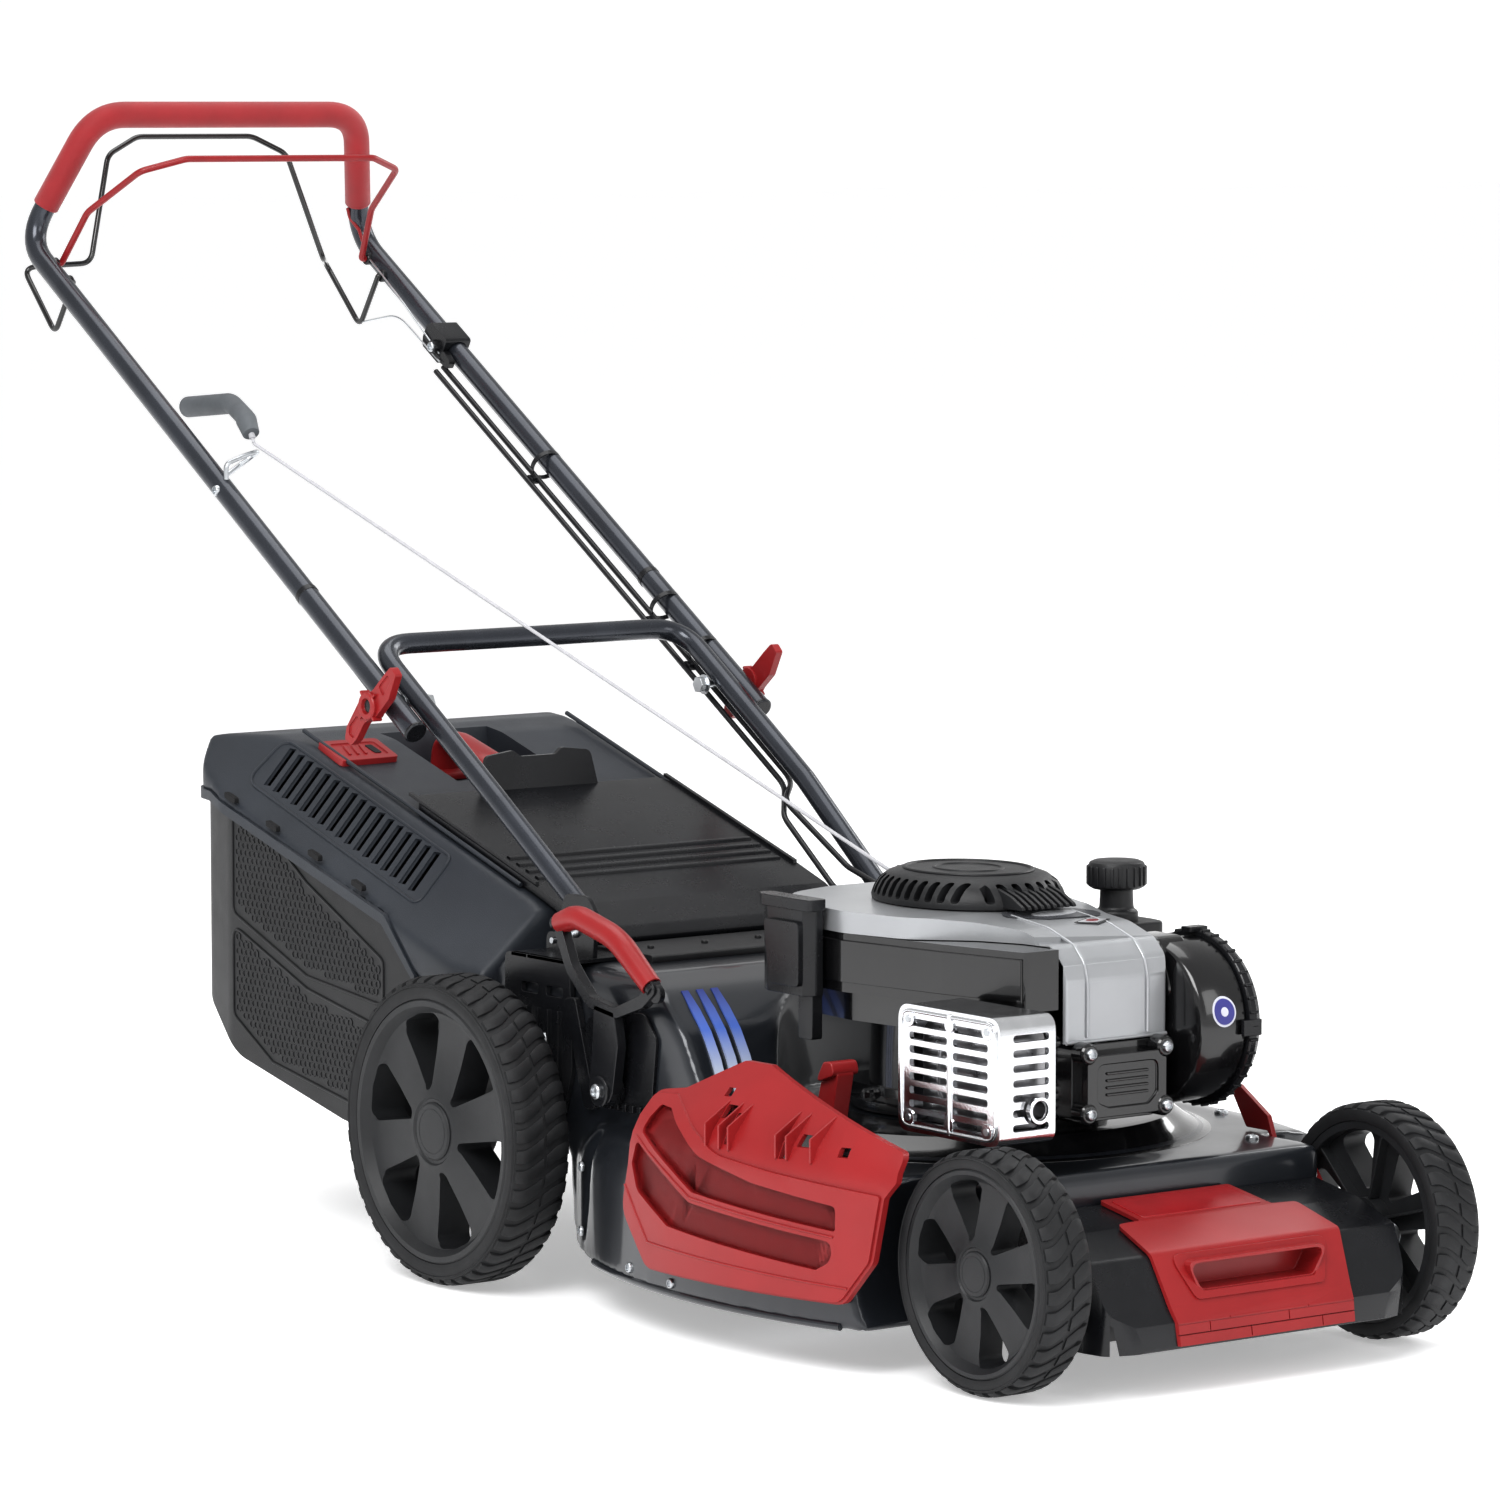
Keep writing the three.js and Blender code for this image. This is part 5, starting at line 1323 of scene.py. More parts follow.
def add_valve_cover():
    outline = round_corners([(-50, 200), (-44, 196), (40, 196), (50, 204), (50, 262), (-50, 262)],
                            [5, 6, 8, 8, 6, 6], 4)
    base = slab(outline, 98, 117.6, "Y")
    face = slab(round_corners([(-44, 205), (-36, 201), (34, 201), (43, 209), (43, 254), (-44, 254)],
                              [5, 6, 8, 8, 8, 8], 4), 84, 100, "Y")
    dish = slab(round_corners([(-33, 214), (-20, 209), (24, 209), (34, 218), (34, 246), (-33, 246)], 8, 4),
                82, 86.4, "Y")
    rounds = [turned([(0, 82.4), (7.5, 82.4), (9.5, 85), (9.5, 98), (0, 98)], (x, 0, z), "Y", 28)
              for x, z in ((-42, 256), (42, 256), (-42, 205), (42, 206))]
    ribs = row(slab(round_corners([(-22, 218.5), (24, 218.5), (24, 220.9), (-22, 220.9)], 1, 2), 84.6,
                    87.4, "Y"), 4, (0, 0, 6), "gloss_black")
    body = carve(face, ("cut", dish))
    bolts = merged(*[screw_head((x, 82.4, z), (0, -1, 0), 5.4, 3.6)
                     for x, z in ((-42, 256), (42, 256), (-42, 205), (42, 206))])
    piece("valve_cover_body", merged(base, body, *rounds, ribs), "deck", "gloss_black", ["valve_cover"],
          bevel=1.6, segments=3)
    piece("valve_cover_bolts", bolts, "deck", "steel", bevel=0.25)


def guard_slots():
    """Cutters through the guard's outer wall: long bars with a gap in the middle and round corner holes."""
    cuts = []
    for i in range(8):
        z = 206.5 + i * 11.4
        for y0, y1 in ((42, 88), (96, 146)):
            cuts.append(slab(round_corners([(y0, z), (y1, z), (y1, z + 6.4), (y0, z + 6.4)], 3, 3), -192,
                             -178))
    for i in range(7):
        z = 209 + i * 12.4
        cuts.append(slab(round_corners([(-172, z), (-134, z), (-134, z + 6.2), (-172, z + 6.2)], 3, 3), 18,
                         34, "Y"))
    return [("cut", c) for c in cuts]


def add_muffler():
    box = slab(round_corners([(40, 205), (146, 205), (146, 291), (40, 291)], 16, 5), -172, -126)
    dent = slab(round_corners([(60, 224), (126, 224), (126, 272), (60, 272)], 14, 5), -175, -169.6)
    pipe = tube([(-148, 22, 226), (-148, 44, 226)], 9.6, 28, hollow=7.4)
    box = carve(box, ("cut", dent))
    piece("muffler_box", merged(box, pipe), "deck", zinc_steel("dull muffler steel", (0.34, 0.34, 0.35)),
          ["muffler"], bevel=3, segments=3)
    outline = round_corners([(26, 197), (161, 197), (161, 304), (26, 304)], [12, 12, 14, 14], 6)
    guard = slab(outline, -186, -127)
    hollow = slab(round_corners([(30, 201), (157, 201), (157, 300), (30, 300)], [10, 10, 12, 12], 6), -181.5,
                  -100)
    pipe_hole = tube([(-148, 10, 226), (-148, 34, 226)], 13, 28)
    guard = carve(guard, ("cut", hollow), *guard_slots(), ("cut", pipe_hole))
    piece("muffler_guard_casting", guard, "deck", "cast_metal", ["muffler_guard"], bevel=1.3, segments=2)
    rim = []
    path = [(-186.4, y, z) for y, z in round_corners([(31, 202), (156, 202), (156, 299), (31, 299)], 12, 6)]
    rim.append(tube([*path, path[0]], 1.7, 8))
    rim += [tube([(-185.6, 92, 200), (-186.2, 92, 301)], 2.6, 10)]
    rim += [turned([(0, -187.4), (r, -187.4), (r, -183), (0, -183)], (0, y, z), "X", 24)
            for y, z, r in ((42, 292, 7), (146, 292, 7), (42, 209, 7), (146, 209, 7), (92, 292, 6),
                            (92, 209, 6))]
    cups = merged(*[turned([(0, -188.2), (3.2, -188.2), (3.2, -187.2), (0, -187.2)], (0, y, z), "X", 20)
                    for y, z in ((42, 292), (146, 292), (42, 209), (146, 209))])
    ring_ = tube([(-148, 19.4, 226), (-148, 25, 226)], 11.4, 32, hollow=8.2)
    piece("muffler_guard_rim", merged(*rim, ring_), "deck", "cast_metal", bevel=0.5)
    piece("muffler_guard_screws", cups, "deck", "steel")


def add_brake_bracket():
    post = slab(round_corners([(-158, 330), (-150, 322), (-140, 322), (-140.5, 392), (-150, 396),
                               (-158, 380)], 4, 3), 288, 366, "Z")
    cap = slab(round_corners([(-160, 318), (-139.6, 318), (-139.6, 398), (-152, 400), (-160, 386)], 6, 3),
               362, 372, "Z")
    foot = slab(round_corners([(324, 250), (344, 250), (344, 292), (324, 292)], 3, 3), -152, -141)
    box = slab(round_corners([(330, 296), (372, 296), (380, 352), (330, 352)], 5, 3), -163, -157)
    piece("brake_bracket_body", merged(post, cap, foot, box), "deck", "satin", ["brake_bracket"], bevel=1.4,
          segments=2)


def add_rotor():
    piece("starter_pulley_wheel", turned([(5.6, 369), (44, 369), (44, 371), (36, 373), (36, 378),
                                          (44, 380), (44, 382), (5.6, 382)], (0, 300, 0), "Z", 48),
          "starter_pulley", "black_plastic", ["starter_pulley"], bevel=0.5)
    shaft = turned([(0, 60.4), (32, 60.4), (32, 68), (14, 74), (12.5, 84), (12.5, 302), (78, 302),
                    (80, 306), (80, 318), (40, 324), (10, 328), (0, 328)], (0, 300, 0), "Z", 48)
    blades = ring(slab(round_corners([(24, 326), (30, 322), (76, 318), (76, 330), (30, 334)], 2, 2), 298.6,
                       301.4, "Y"), 14, (0, 300, 320), (0, 0, 1), "steel")
    piece("crankshaft_and_fan", merged(shaft, blades), "spindle", "steel", ["crankshaft"], bevel=0.6)
    r = 250
    outline = [(-r, -22), (-r + 70, -28), (-60, -30), (60, -30), (r - 70, -28), (r - 4, -30), (r, 22),
               (r - 70, 28), (60, 30), (-60, 30), (-r + 70, 28), (-r + 4, 30)]
    flat = slab(round_corners([(a, 300 + b) for a, b in outline], 5, 3), 55.5, 59.5, "Z")
    lifts = [slab([(x, 300 + y) for x, y in ((s * (r - 66), s * 22), (s * (r - 2), s * 16),
                                             (s * (r - 2), s * 26), (s * (r - 66), s * 30))], 59, 72, "Z")
             for s in (1, -1)]
    piece("cutting_blade", merged(carve(flat, ("cut", rod((0, 300, 50), (0, 300, 65), 9))), *lifts),
          "spindle", "steel", ["blade"], bevel=0.8)
    head = slab([(14 * math.cos(k * math.pi / 3), 300 + 14 * math.sin(k * math.pi / 3)) for k in range(6)],
                46, 55, "Z")
    washer = turned([(0, 54.6), (18, 54.6), (18, 55.4), (0, 55.4)], (0, 300, 0), "Z", 40)
    piece("blade_bolt_head", merged(head, washer), "spindle", "steel", ["blade_bolt"], bevel=0.6)


# ---------------------------------------------------------------- deck
DECK_RATIO = 1.48
SKIRT_R = 288
SKIRT_Z = 38
DECK_TOP = 165
DOME_TOP = 184
SHELL = 2.6


def dish(rows, steps=96):
    return turned(rows, (0, BLADE_Y, 0), "Z", steps, DECK_RATIO)


def wells(extra):
    front, rear = FRONT_R + 27 + extra, REAR_R + 27 + extra
    front_x, rear_x = 180 - extra, 225 - extra
    made = []
    for near, place, radius in ((front_x, (0, FRONT_R), front), (rear_x, (REAR_Y, REAR_R), rear)):
        for sign in (-1, 1):
            made.append(("cut", rod((sign * near, *place), (sign * 420, *place), radius, 72)))
    return made


def deck_block(inset):
    """The solid outline of the deck, inset by a wall when it is the hollow inside."""
    r, top = SKIRT_R - inset, DECK_TOP - inset
    low = SKIRT_Z if inset == 0 else SKIRT_Z - 20
    bowl = dish([(0, low), (r, low), (r, top - 44), (r - 3, top - 28), (r - 12, top - 12),
                 (r - 30, top - 3), (r - 52, top), (0, top)])
    dome = turned([(0, top - 60), (206 - inset, top - 60), (206 - inset, top + 1), (190 - inset, top + 9),
                   (178 - inset, DOME_TOP - inset), (0, DOME_TOP - inset)], (0, BLADE_Y, 0), "Z", 96)
    span = block(-400, 400, 40 + inset, 598 - inset, low - 5, top + 5)
    side = [(380, 60), (384, 150), (396, 190), (430, 248), (468, 281), (512, 292), (716, 292), (716, 172),
            (640, 172), (600, 120), (596, 60)]
    if inset:
        side = [(384, 40), (387, 149), (399, 188.6), (432, 245.8), (469.5, 278.4), (512.5, 292 - inset),
                (736, 292 - inset), (736, 172 + inset), (638.5, 172 + inset), (597.5, 121), (593, 40)]
    half = 214 - inset
    tunnel = slab(round_corners(side, [0, 20, 30, 40, 40, 30, 0, 0, 10, 10, 0], 6), -half, half)
    trim = slab(round_corners([(-half, 0), (half, 0), (half, 292 - inset), (-half, 292 - inset)],
                              [0, 0, 34, 34], 6), 300, 800, "Y")
    scoop = turned([(0, 150), (158 + inset, 150), (168 + inset, 240), (185 + inset, 320), (0, 320)],
                   (0, BLADE_Y, 0), "Z", 96)
    keep_low = block(-300, 300, 0, 700, 0, DOME_TOP - inset)
    tunnel = carve(tunnel, ("keep", trim), ("cut", carve(scoop, ("cut", keep_low))))
    return carve(bowl, ("keep", span), ("join", dome), ("join", tunnel))


def deck_surface():
    """One pressed shell: the outside softened where its shapes meet, then hollowed and trimmed."""
    apron = block(-168, 168, -30, 90, SKIRT_Z - 10, 106)
    outer = carve(deck_block(0), ("join", apron), *wells(0))
    outer = carve(outer, ("join", slab([(600, 40), (600, 126), (640, 176), (650, 40)], -205, 205)))
    outer = soften(outer, 4.2, 9, 0.5)
    inner = deck_block(SHELL + 1.2)
    inner_cut = carve(inner, *wells(SHELL + 2))
    apron_in = block(-164, 164, -26, 92, SKIRT_Z - 30, 102)
    outlet = block(-330, -240, 150, 352, 62, 138)
    floor_cut = block(-400, 400, -60, 800, 0, SKIRT_Z)
    behind = block(-400, 400, 715.6, 900, 0, 400)
    under_rear = slab([(597, 0), (597, 121), (639, 172), (800, 172), (800, 0)], -400, 400)
    bore = turned([(0, 120), (17, 120), (17, 200), (0, 200)], (0, BLADE_Y, 0), "Z", 40)
    return carve(outer, ("cut", inner_cut), ("cut", apron_in), ("cut", floor_cut), ("cut", under_rear),
                 ("cut", behind), ("cut", outlet), ("cut", bore))


def add_deck():
    shell = deck_surface()
    piece("deck_pressing", shell, "deck", "deck_paint", ["deck_shell"], sharp=50)
    rim_points = []
    for k in range(0, 97):
        a = math.pi * 0.5 + k / 96 * 2 * math.pi
        x, y = 286.5 * math.cos(a), 286.5 * DECK_RATIO * math.sin(a)
        rim_points.append((x, BLADE_Y + y, SKIRT_Z + 3.2))
    kept = [p for p in rim_points if p[0] < 0 and 135 < p[1] < 520]
    other = [p for p in rim_points if p[0] > 0 and 135 < p[1] < 520]
    beads = merged(tube(kept, 3.4, 12), tube(other, 3.4, 12))
    piece("deck_rolled_edge", beads, "deck", "deck_paint")
    lugs = merged(*[block(-251, -234, y, y + 5, 150, 193 + (y - 118) * 15 / 227 + 5) for y in (126, 332)])
    piece("cover_pin_lugs", lugs, "deck", "deck_paint", bevel=0.8)


def add_dome():
    """The round raised seat under the engine, in glossier paint, with its seating ring."""
    seat = turned([(108, 184.2), (172, 184.2), (180, 183.2), (190, 175.5), (203, 167.2), (212, 165.6),
                   (212, 164), (108, 183)], (0, BLADE_Y, 0), "Z", 96)
    seat = carve(seat, ("keep", block(-300, 300, 60, 330, 100, 200)))
    piece("deck_dome_gloss", seat, "deck", "gloss_black", bevel=0.3, sharp=30)


def add_deck_bolts():
    places = [((-262.6, 560, 60), (-1, 0.35, 0)), ((-238, 556, 118), (-1, 0.3, 0)),
              ((-289.2, 420, 52), (-1, 0.1, 0)), ((-289.2, 346, 50), (-1, 0, 0))]
    made = []
    for place, way in places:
        y = place[1]
        wide = SKIRT_R * math.sqrt(max(0.0, 1 - ((y - BLADE_Y) / (SKIRT_R * DECK_RATIO)) ** 2))
        for sign in (-1, 1):
            made.append(screw_head((sign * wide, y, place[2]), (sign, way[1], 0), 4.6, 3.0))
    top = [(222, 220), (-222, 420), (222, 420), (-150, 96), (150, 96)]
    made += [screw_head((x, y, DECK_TOP), (0, 0, 1), 6.0, 3.6) for x, y in top]
    piece("deck_screws", merged(*made), "deck", "steel", bevel=0.3)


# ---------------------------------------------------------------- front bumper and panel
NOSE = [(-95, 38), (-92, 60), (-85, 71), (-66, 112), (-19, 128), (38, 138)]


def carry_slot(extra=0.0):
    shape = [(-78 - extra, 108 + extra), (-64 - extra, 80 - extra), (64 + extra, 80 - extra),
             (78 + extra, 108 + extra)]
    return slab(round_corners(shape, 7, 5), -120, -40, "Y")


def add_bumper():
    front = round_corners([*NOSE, (38, 108), (-30, 108), (-31, 38)], [3, 3, 4, 8, 10, 2, 0, 0, 0], 4)
    plan = round_corners([(-120, -98), (-164, -84), (-168, -60), (-170, 40), (170, 40), (168, -60),
                          (164, -84), (120, -98)], [30, 12, 12, 2, 2, 12, 12, 30], 5)
    body = carve(slab(front, -170, 170), ("keep", slab(plan, 20, 200, "Z")))
    hollow = slab([(-89, 20), (-86, 62), (-79, 73), (-62, 106), (-34, 114), (-34, 20)], -160, 160)
    body = carve(body, ("cut", hollow), ("cut", block(-168.6, 168.6, -32, 90, 0, 106.4)),
                 ("cut", carry_slot()))
    piece("bumper_moulding", body, "deck", "satin", ["front_bumper"], bevel=2.2, segments=3)


def panel_layer(low, high, plan, extra_cut=()):
    """A skin between two offsets over the nose, trimmed to a plan outline."""
    outer = [(-94.6 - high, 41), (-91.6 - high, 60), (-85.4 - high * 0.9, 70.6 + high * 0.4),
             (-66.4 - high * 0.5, 112.4 + high * 0.8), (-19.4, 128.4 + high), (38, 138.4 + high)]
    inner = [(-94.6 - low, 41), (-91.6 - low, 60), (-85.4 - low * 0.9, 70.6 + low * 0.4),
             (-66.4 - low * 0.5, 112.4 + low * 0.8), (-19.4, 128.4 + low), (38, 138.4 + low)]
    soft_out = round_corners(outer + inner[::-1], [0, 3, 5, 10, 14, 0, 0, 13, 9, 4, 3, 0], 4)
    wide = slab(soft_out, -106, 106)
    return carve(wide, ("keep", slab(plan, 30, 170, "Z")), *extra_cut)


def add_front_panel():
    plan = round_corners([(-92, -110), (-98, -88), (-104, -66), (-98, -20), (-72, -18), (-71, 36),
                          (71, 36), (72, -18), (98, -20), (104, -66), (98, -88), (92, -110)],
                         [3, 3, 6, 6, 3, 4, 4, 3, 6, 6, 3, 3], 4)
    slot_in = carry_slot(-3)
    body = panel_layer(0.3, 3.6, plan, [("cut", slot_in)])
    # raised frame round the carry slot
    hood_out = slab(round_corners([(-86, 112), (-70, 76), (70, 76), (86, 112)], 8, 5), -98, -58, "Y")
    hood_in = slab(round_corners([(-76, 107), (-62, 82), (62, 82), (76, 107)], 6, 5), -120, -40, "Y")
    hood = carve(panel_layer(1.0, 5.6, plan), ("keep", hood_out), ("cut", hood_in))
    joints = []
    for z in (50.0, 58.5):
        joints.append(("cut", block(-96, 96, -101, -94.9, z - 0.5, z + 0.5)))
    for x, z0, z1 in ((-62, 50, 58.5), (-18, 42, 50), (24, 50, 58.5), (60, 42, 50), (-40, 58.5, 68),
                      (46, 58.5, 68)):
        joints.append(("cut", block(x - 0.5, x + 0.5, -101, -94.6, z0, z1)))
    body = carve(body, *joints)
    piece("front_panel_red", body, "deck", "red_plastic", ["front_panel"], bevel=0.8, segments=2)
    piece("front_panel_frame", hood, "deck", "red_plastic", bevel=1.2, segments=2)
    # inside of the carry slot: the red tray behind the opening
    tray = carve(carry_slot(-0.6), ("cut", carve(carry_slot(-3.2),
                                                 ("cut", block(-100, 100, -60, -40, 0, 200)))),
                 ("keep", block(-100, 100, -84, -56, 60, 120)))
    piece("carry_slot_lining", tray, "deck", "red_plastic", bevel=0.8)
    badge_plan = round_corners([(-66, -14), (-64, 30), (64, 30), (66, -14)], 4, 4)
    badge = panel_layer(2.6, 4.6, badge_plan)
    piece("front_badge_plate", badge, "deck", plain_finish("deep red gloss plate", (0.34, 0.018, 0.022),
                                                           0.2), bevel=0.7)
    trim = slab(round_corners([(152, 204), (112, 180), (104, 160), (52, 142), (36, 120), (44, 114),
                               (94, 132), (102, 150), (112, 167), (140, 167), (158, 194)], 3, 3), 181.4,
                186.4)
    piece("side_trim_plate", trim, "deck", "red_plastic", ["side_trim"], bevel=1.0)


# ---------------------------------------------------------------- side outlet cover
COVER_R = SKIRT_R + 9


def cover_shell(r):
    rows = [(0, 30), (r, 30), (r, 165), (r - 2, 176), (r - 8, 190), (r - 22, 208), (r - 60, 252), (0, 252)]
    return dish(rows, 128)


def cover_skin(low, high, outline, radii=5):
    """The part of the bulged shell between two radii inside a side outline."""
    shell = carve(cover_shell(high), ("cut", cover_shell(low)))
    return carve(shell, ("keep", slab(round_corners(outline, radii, 4), -330, -190)))


def cover_face(y, z, lift=0.0):
    """A point on the side cover's bulged outer face."""
    rows = [(0, 0), (165, 0), (176, -2), (190, -8), (208, -22), (252, -60)]
    for (z0, d0), (z1, d1) in zip(rows, rows[1:]):
        if z <= z1:
            r = COVER_R + lift + d0 + (d1 - d0) * (z - z0) / (z1 - z0)
            break
    return (-r * math.sqrt(max(0.0, 1 - ((y - BLADE_Y) / (r * DECK_RATIO)) ** 2)), y, z)


def along_face(path, lift, radius, parts=30):
    """A thin bead that follows a line drawn on the cover's face."""
    line = [Vector(p) for p in path]
    total = sum((b - a).length for a, b in zip(line, line[1:]))
    points = []
    for a, b in zip(line, line[1:]):
        count = max(1, round(parts * (b - a).length / total))
        points += [a.lerp(b, k / count) for k in range(count)]
    return tube([cover_face(p.x, p.y, lift) for p in (*points, line[-1])], radius, 10)


def cover_rib(y):
    """One of the thin upright ribs beside a hinge slot."""
    foot, head = cover_face(y, 177)[0], cover_face(y, 214)[0]
    rows = [(foot - 2.2, 177), (foot - 2.2, 197), (head - 0.4, 214), (head + 4, 214), (foot + 3, 177)]
    return slab(rows, y, y + 2.2, "Y")


def add_side_cover():
    outline = [(372, 60), (124, 62), (96, 100), (86, 155), (76, 168), (76, 192), (262, 244), (296, 244),
               (352, 216), (392, 210), (404, 146), (416, 106)]
    radii = [16, 14, 14, 6, 6, 8, 10, 10, 14, 14, 12, 20]
    skin = cover_skin(COVER_R - 5, COVER_R, outline, radii)
    raised = [(371, 62), (126, 64), (98, 101), (88, 157), (205, 166), (268, 172), (302, 186), (356, 211),
              (390, 208), (402, 146), (414, 106)]
    face = cover_skin(COVER_R - 3.5, COVER_R + 2.4, raised, [16, 14, 14, 3, 60, 50, 50, 10, 8, 12, 20])
    panels = [[(370, 201), (382, 178), (300, 136), (130, 123), (130, 144), (222, 154), (292, 168),
               (352, 200)], [(386, 169), (395, 148), (386, 126), (336, 102), (150, 89), (134, 98),
                             (134, 114), (304, 127)]]

    def recesses():
        return [("cut", cover_skin(COVER_R - 3.0, COVER_R + 8, p, [5, 6, 14, 3, 5, 60, 40, 6]))
                for p in panels]

    holes = [("cut", block(-330, -190, *spans)) for spans in
             ((286, 295, 216, 223), (268, 282, 200, 211), (257, 264, 181, 206),
              (188, 195, 177, 199), (162, 180, 188, 198), (126, 136, 184, 192))]
    piece("side_cover_skin", carve(skin, *recesses(), *holes), "side_cover", "red_plastic", ["side_cover"],
          bevel=1.3, segments=2)
    piece("side_cover_face", carve(face, *recesses()), "side_cover", "red_plastic", bevel=1.0, segments=2)
    beads = [along_face([(408, 128), (368, 84), (118, 77)], 2.4, 1.1),
             along_face([(388, 173), (303, 131.5), (132, 118.5)], 2.6, 1.0)]
    ribs = [cover_rib(y) for y in (283, 265, 253, 196, 184, 158)]
    piece("side_cover_ribs", merged(*beads, *ribs), "side_cover", "red_plastic", bevel=0.5)
    clips = []
    for y in (150, 306):
        z = 193 + (y - 118) * 15 / 227
        clips.append(block(-252, -240, y, y + 5, z - 8, z + 7))
    piece("side_cover_ears", merged(*clips), "side_cover", "red_plastic", bevel=0.8)
    pin = tube([(-246, 118, 193), (-246, 345, 208)], 3, 20)
    coil = []
    for start in (172, 244):
        turns = [(-246 + 5.2 * math.cos(t), start + t * 0.62,
                  193 + (start + t * 0.62 - 118) * 15 / 227 + 5.2 * math.sin(t))
                 for t in [k * 0.5 for k in range(0, 88)]]
        coil.append(tube(turns, 0.9, 6))
    piece("side_cover_pin_and_springs", merged(pin, *coil), "deck", "steel", ["side_cover_pin"])
    latch = slab(round_corners([(264, 179.4), (258, 200), (250, 226), (240, 244), (230, 246), (226, 236),
                                (234, 200), (238, 179.4)], [2, 10, 10, 6, 6, 8, 20, 2], 5), -200, -182)
    tip = slab(round_corners([(252, 226), (240, 246), (229, 247), (225, 236)], 5, 4), -205, -177)
    piece("cover_latch_body", merged(latch, tip), "cover_latch", "red_plastic", ["cover_latch"], bevel=2,
          segments=3)


# ---------------------------------------------------------------- grass catcher
CATCHER_HALF = 234
CATCHER_END = 1246


def catcher_plan(inset, half=CATCHER_HALF):
    h, end = half - inset, CATCHER_END - inset
    outline = [(-h + 14, 700), (-h, 760), (-h, end - 106), (-h + 12, end - 50), (-h + 60, end - 12),
               (-h + 150, end), (h - 150, end), (h - 60, end - 12), (h - 12, end - 50), (h, end - 106),
               (h, 760), (h - 14, 700)]
    return round_corners(outline, [0, 30, 60, 40, 50, 60, 60, 50, 40, 60, 30, 0], 5)


def slope_wedge(inset, sign):
    """What lies above the lid's long sloping side."""
    bm = bmesh.new()
    rings = []
    for y in (690, 1270):
        z = 334 + (y - 740) * 0.316 - inset
        shape = [(158, z), (240, z - 69), (300, z - 119), (300, z + 260), (158, z + 260)]
        rings.append([bm.verts.new(at(sign * x, y, zz)) for x, zz in shape])
    join_rings(bm, rings)
    bm.faces.new(rings[0][::-1])
    bm.faces.new(rings[1])
    return outward(bm)


def lid_block(inset):
    t, dip = inset, (-40 if inset else 0)
    outline = [(1250, 402 + dip), (1250, 426 - t), (1236, 441 - t), (1206, 450 - t), (1150, 452 - t),
               (1100, 445 - t), (980, 409 - t), (740, 333 - t), (718 + t, 323 - t), (718 + t, 258 + dip),
               (812, 258 + dip), (862, 309 + dip), (1166, 397 + dip)]
    radii = [0, 12, 20, 40, 60, 60, 60, 20, 6, 0, 20, 30, 30]
    body = carve(slab(round_corners(outline, radii, 5), -260, 260), ("cut", slope_wedge(t, 1)),
                 ("cut", slope_wedge(t, -1)))
    return carve(body, ("keep", slab(catcher_plan(inset), 100, 520, "Z")))


def pocket_block(extra):
    side = round_corners([(1137 + extra, 520), (1119 + extra, 403 - extra), (1000 - extra, 373 - extra),
                          (983 - extra, 520)], [0, 18, 18, 0], 5)
    plan = round_corners([(-64 - extra, 970), (64 + extra, 970), (64 + extra, 1150), (-64 - extra, 1150)],
                         22, 5)
    return carve(slab(side, -62 - extra, 62 + extra), ("keep", slab(plan, 300, 600, "Z")))


def lid_side(y, down):
    """A point on the sloping right side of the lid: y along, down the slope from its top edge."""
    z = 334 + (y - 740) * 0.316
    return Vector((-158 - down * 0.766, y, z - down * 0.643))


def lid_slot(y):
    """A cutter for one upright vent slot in the sloping side."""
    a, b = lid_side(y + 3, 16), lid_side(y - 5, 62)
    return tube([a, b], 4.3, 12)


def add_catcher_lid():
    outer = soften(lid_block(0), 4.0, 6, 0.5)
    outer = carve(outer, ("cut", pocket_block(0)))
    inner = lid_block(4.2)
    inner = carve(inner, ("cut", pocket_block(3)))
    slots = []
    for i in range(17):
        one = lid_slot(866 + i * 15.2)
        slots += [("cut", mirrored(one)), ("cut", one)]
    lid = carve(outer, ("cut", inner), ("cut", block(-196, 196, 700, 730, 240, 288)), *slots)
    piece("catcher_lid_shell", lid, "catcher", "catcher_grey", ["catcher_lid"], sharp=42)

    frame_out = round_corners([(850, 12), (1130, 12), (1130, 70), (842, 70)], [10, 16, 16, 10], 5)
    ridges = []
    for sign in (-1, 1):
        path = [lid_side(y, d) for y, d in frame_out]
        ridge = tube([*path, path[0]], 1.6, 8)
        ridges.append(ridge if sign < 0 else mirrored_once(ridge))
        path = [(-153, y, 336 + (y - 740) * 0.316 + 1.0) for y in range(760, 1140, 20)]
        crest = tube([Vector(p) for p in path], 2.2, 8)
        ridges.append(crest if sign < 0 else mirrored_once(crest))
    piece("catcher_lid_ridges", merged(*ridges), "catcher", "catcher_grey")
    hem = round_corners([(1232, 392), (1250, 396), (1250, 404), (1166, 400), (862, 312), (812, 261),
                         (812, 253), (866, 303), (1168, 391)], 3, 3)
    hem_body = carve(slab(hem, -260, 260), ("keep", slab(catcher_plan(-1.5), 200, 500, "Z")),
                     ("cut", slab(catcher_plan(3), 190, 520, "Z")))
    piece("catcher_lid_hem", hem_body, "catcher", "catcher_grey", bevel=1)
    clips = []
    for y in (905, 978, 1050, 1122):
        z = 309 + (y - 862) * 0.2895
        clip = slab(round_corners([(y - 9, z + 8), (y + 9, z + 13), (y + 9, z + 19), (y - 9, z + 14)], 2,
                                  3), 231.2, 236.4)
        clips += [mirrored(clip), clip]
    piece("catcher_clips", merged(*clips), "catcher", "recess", bevel=0.6)


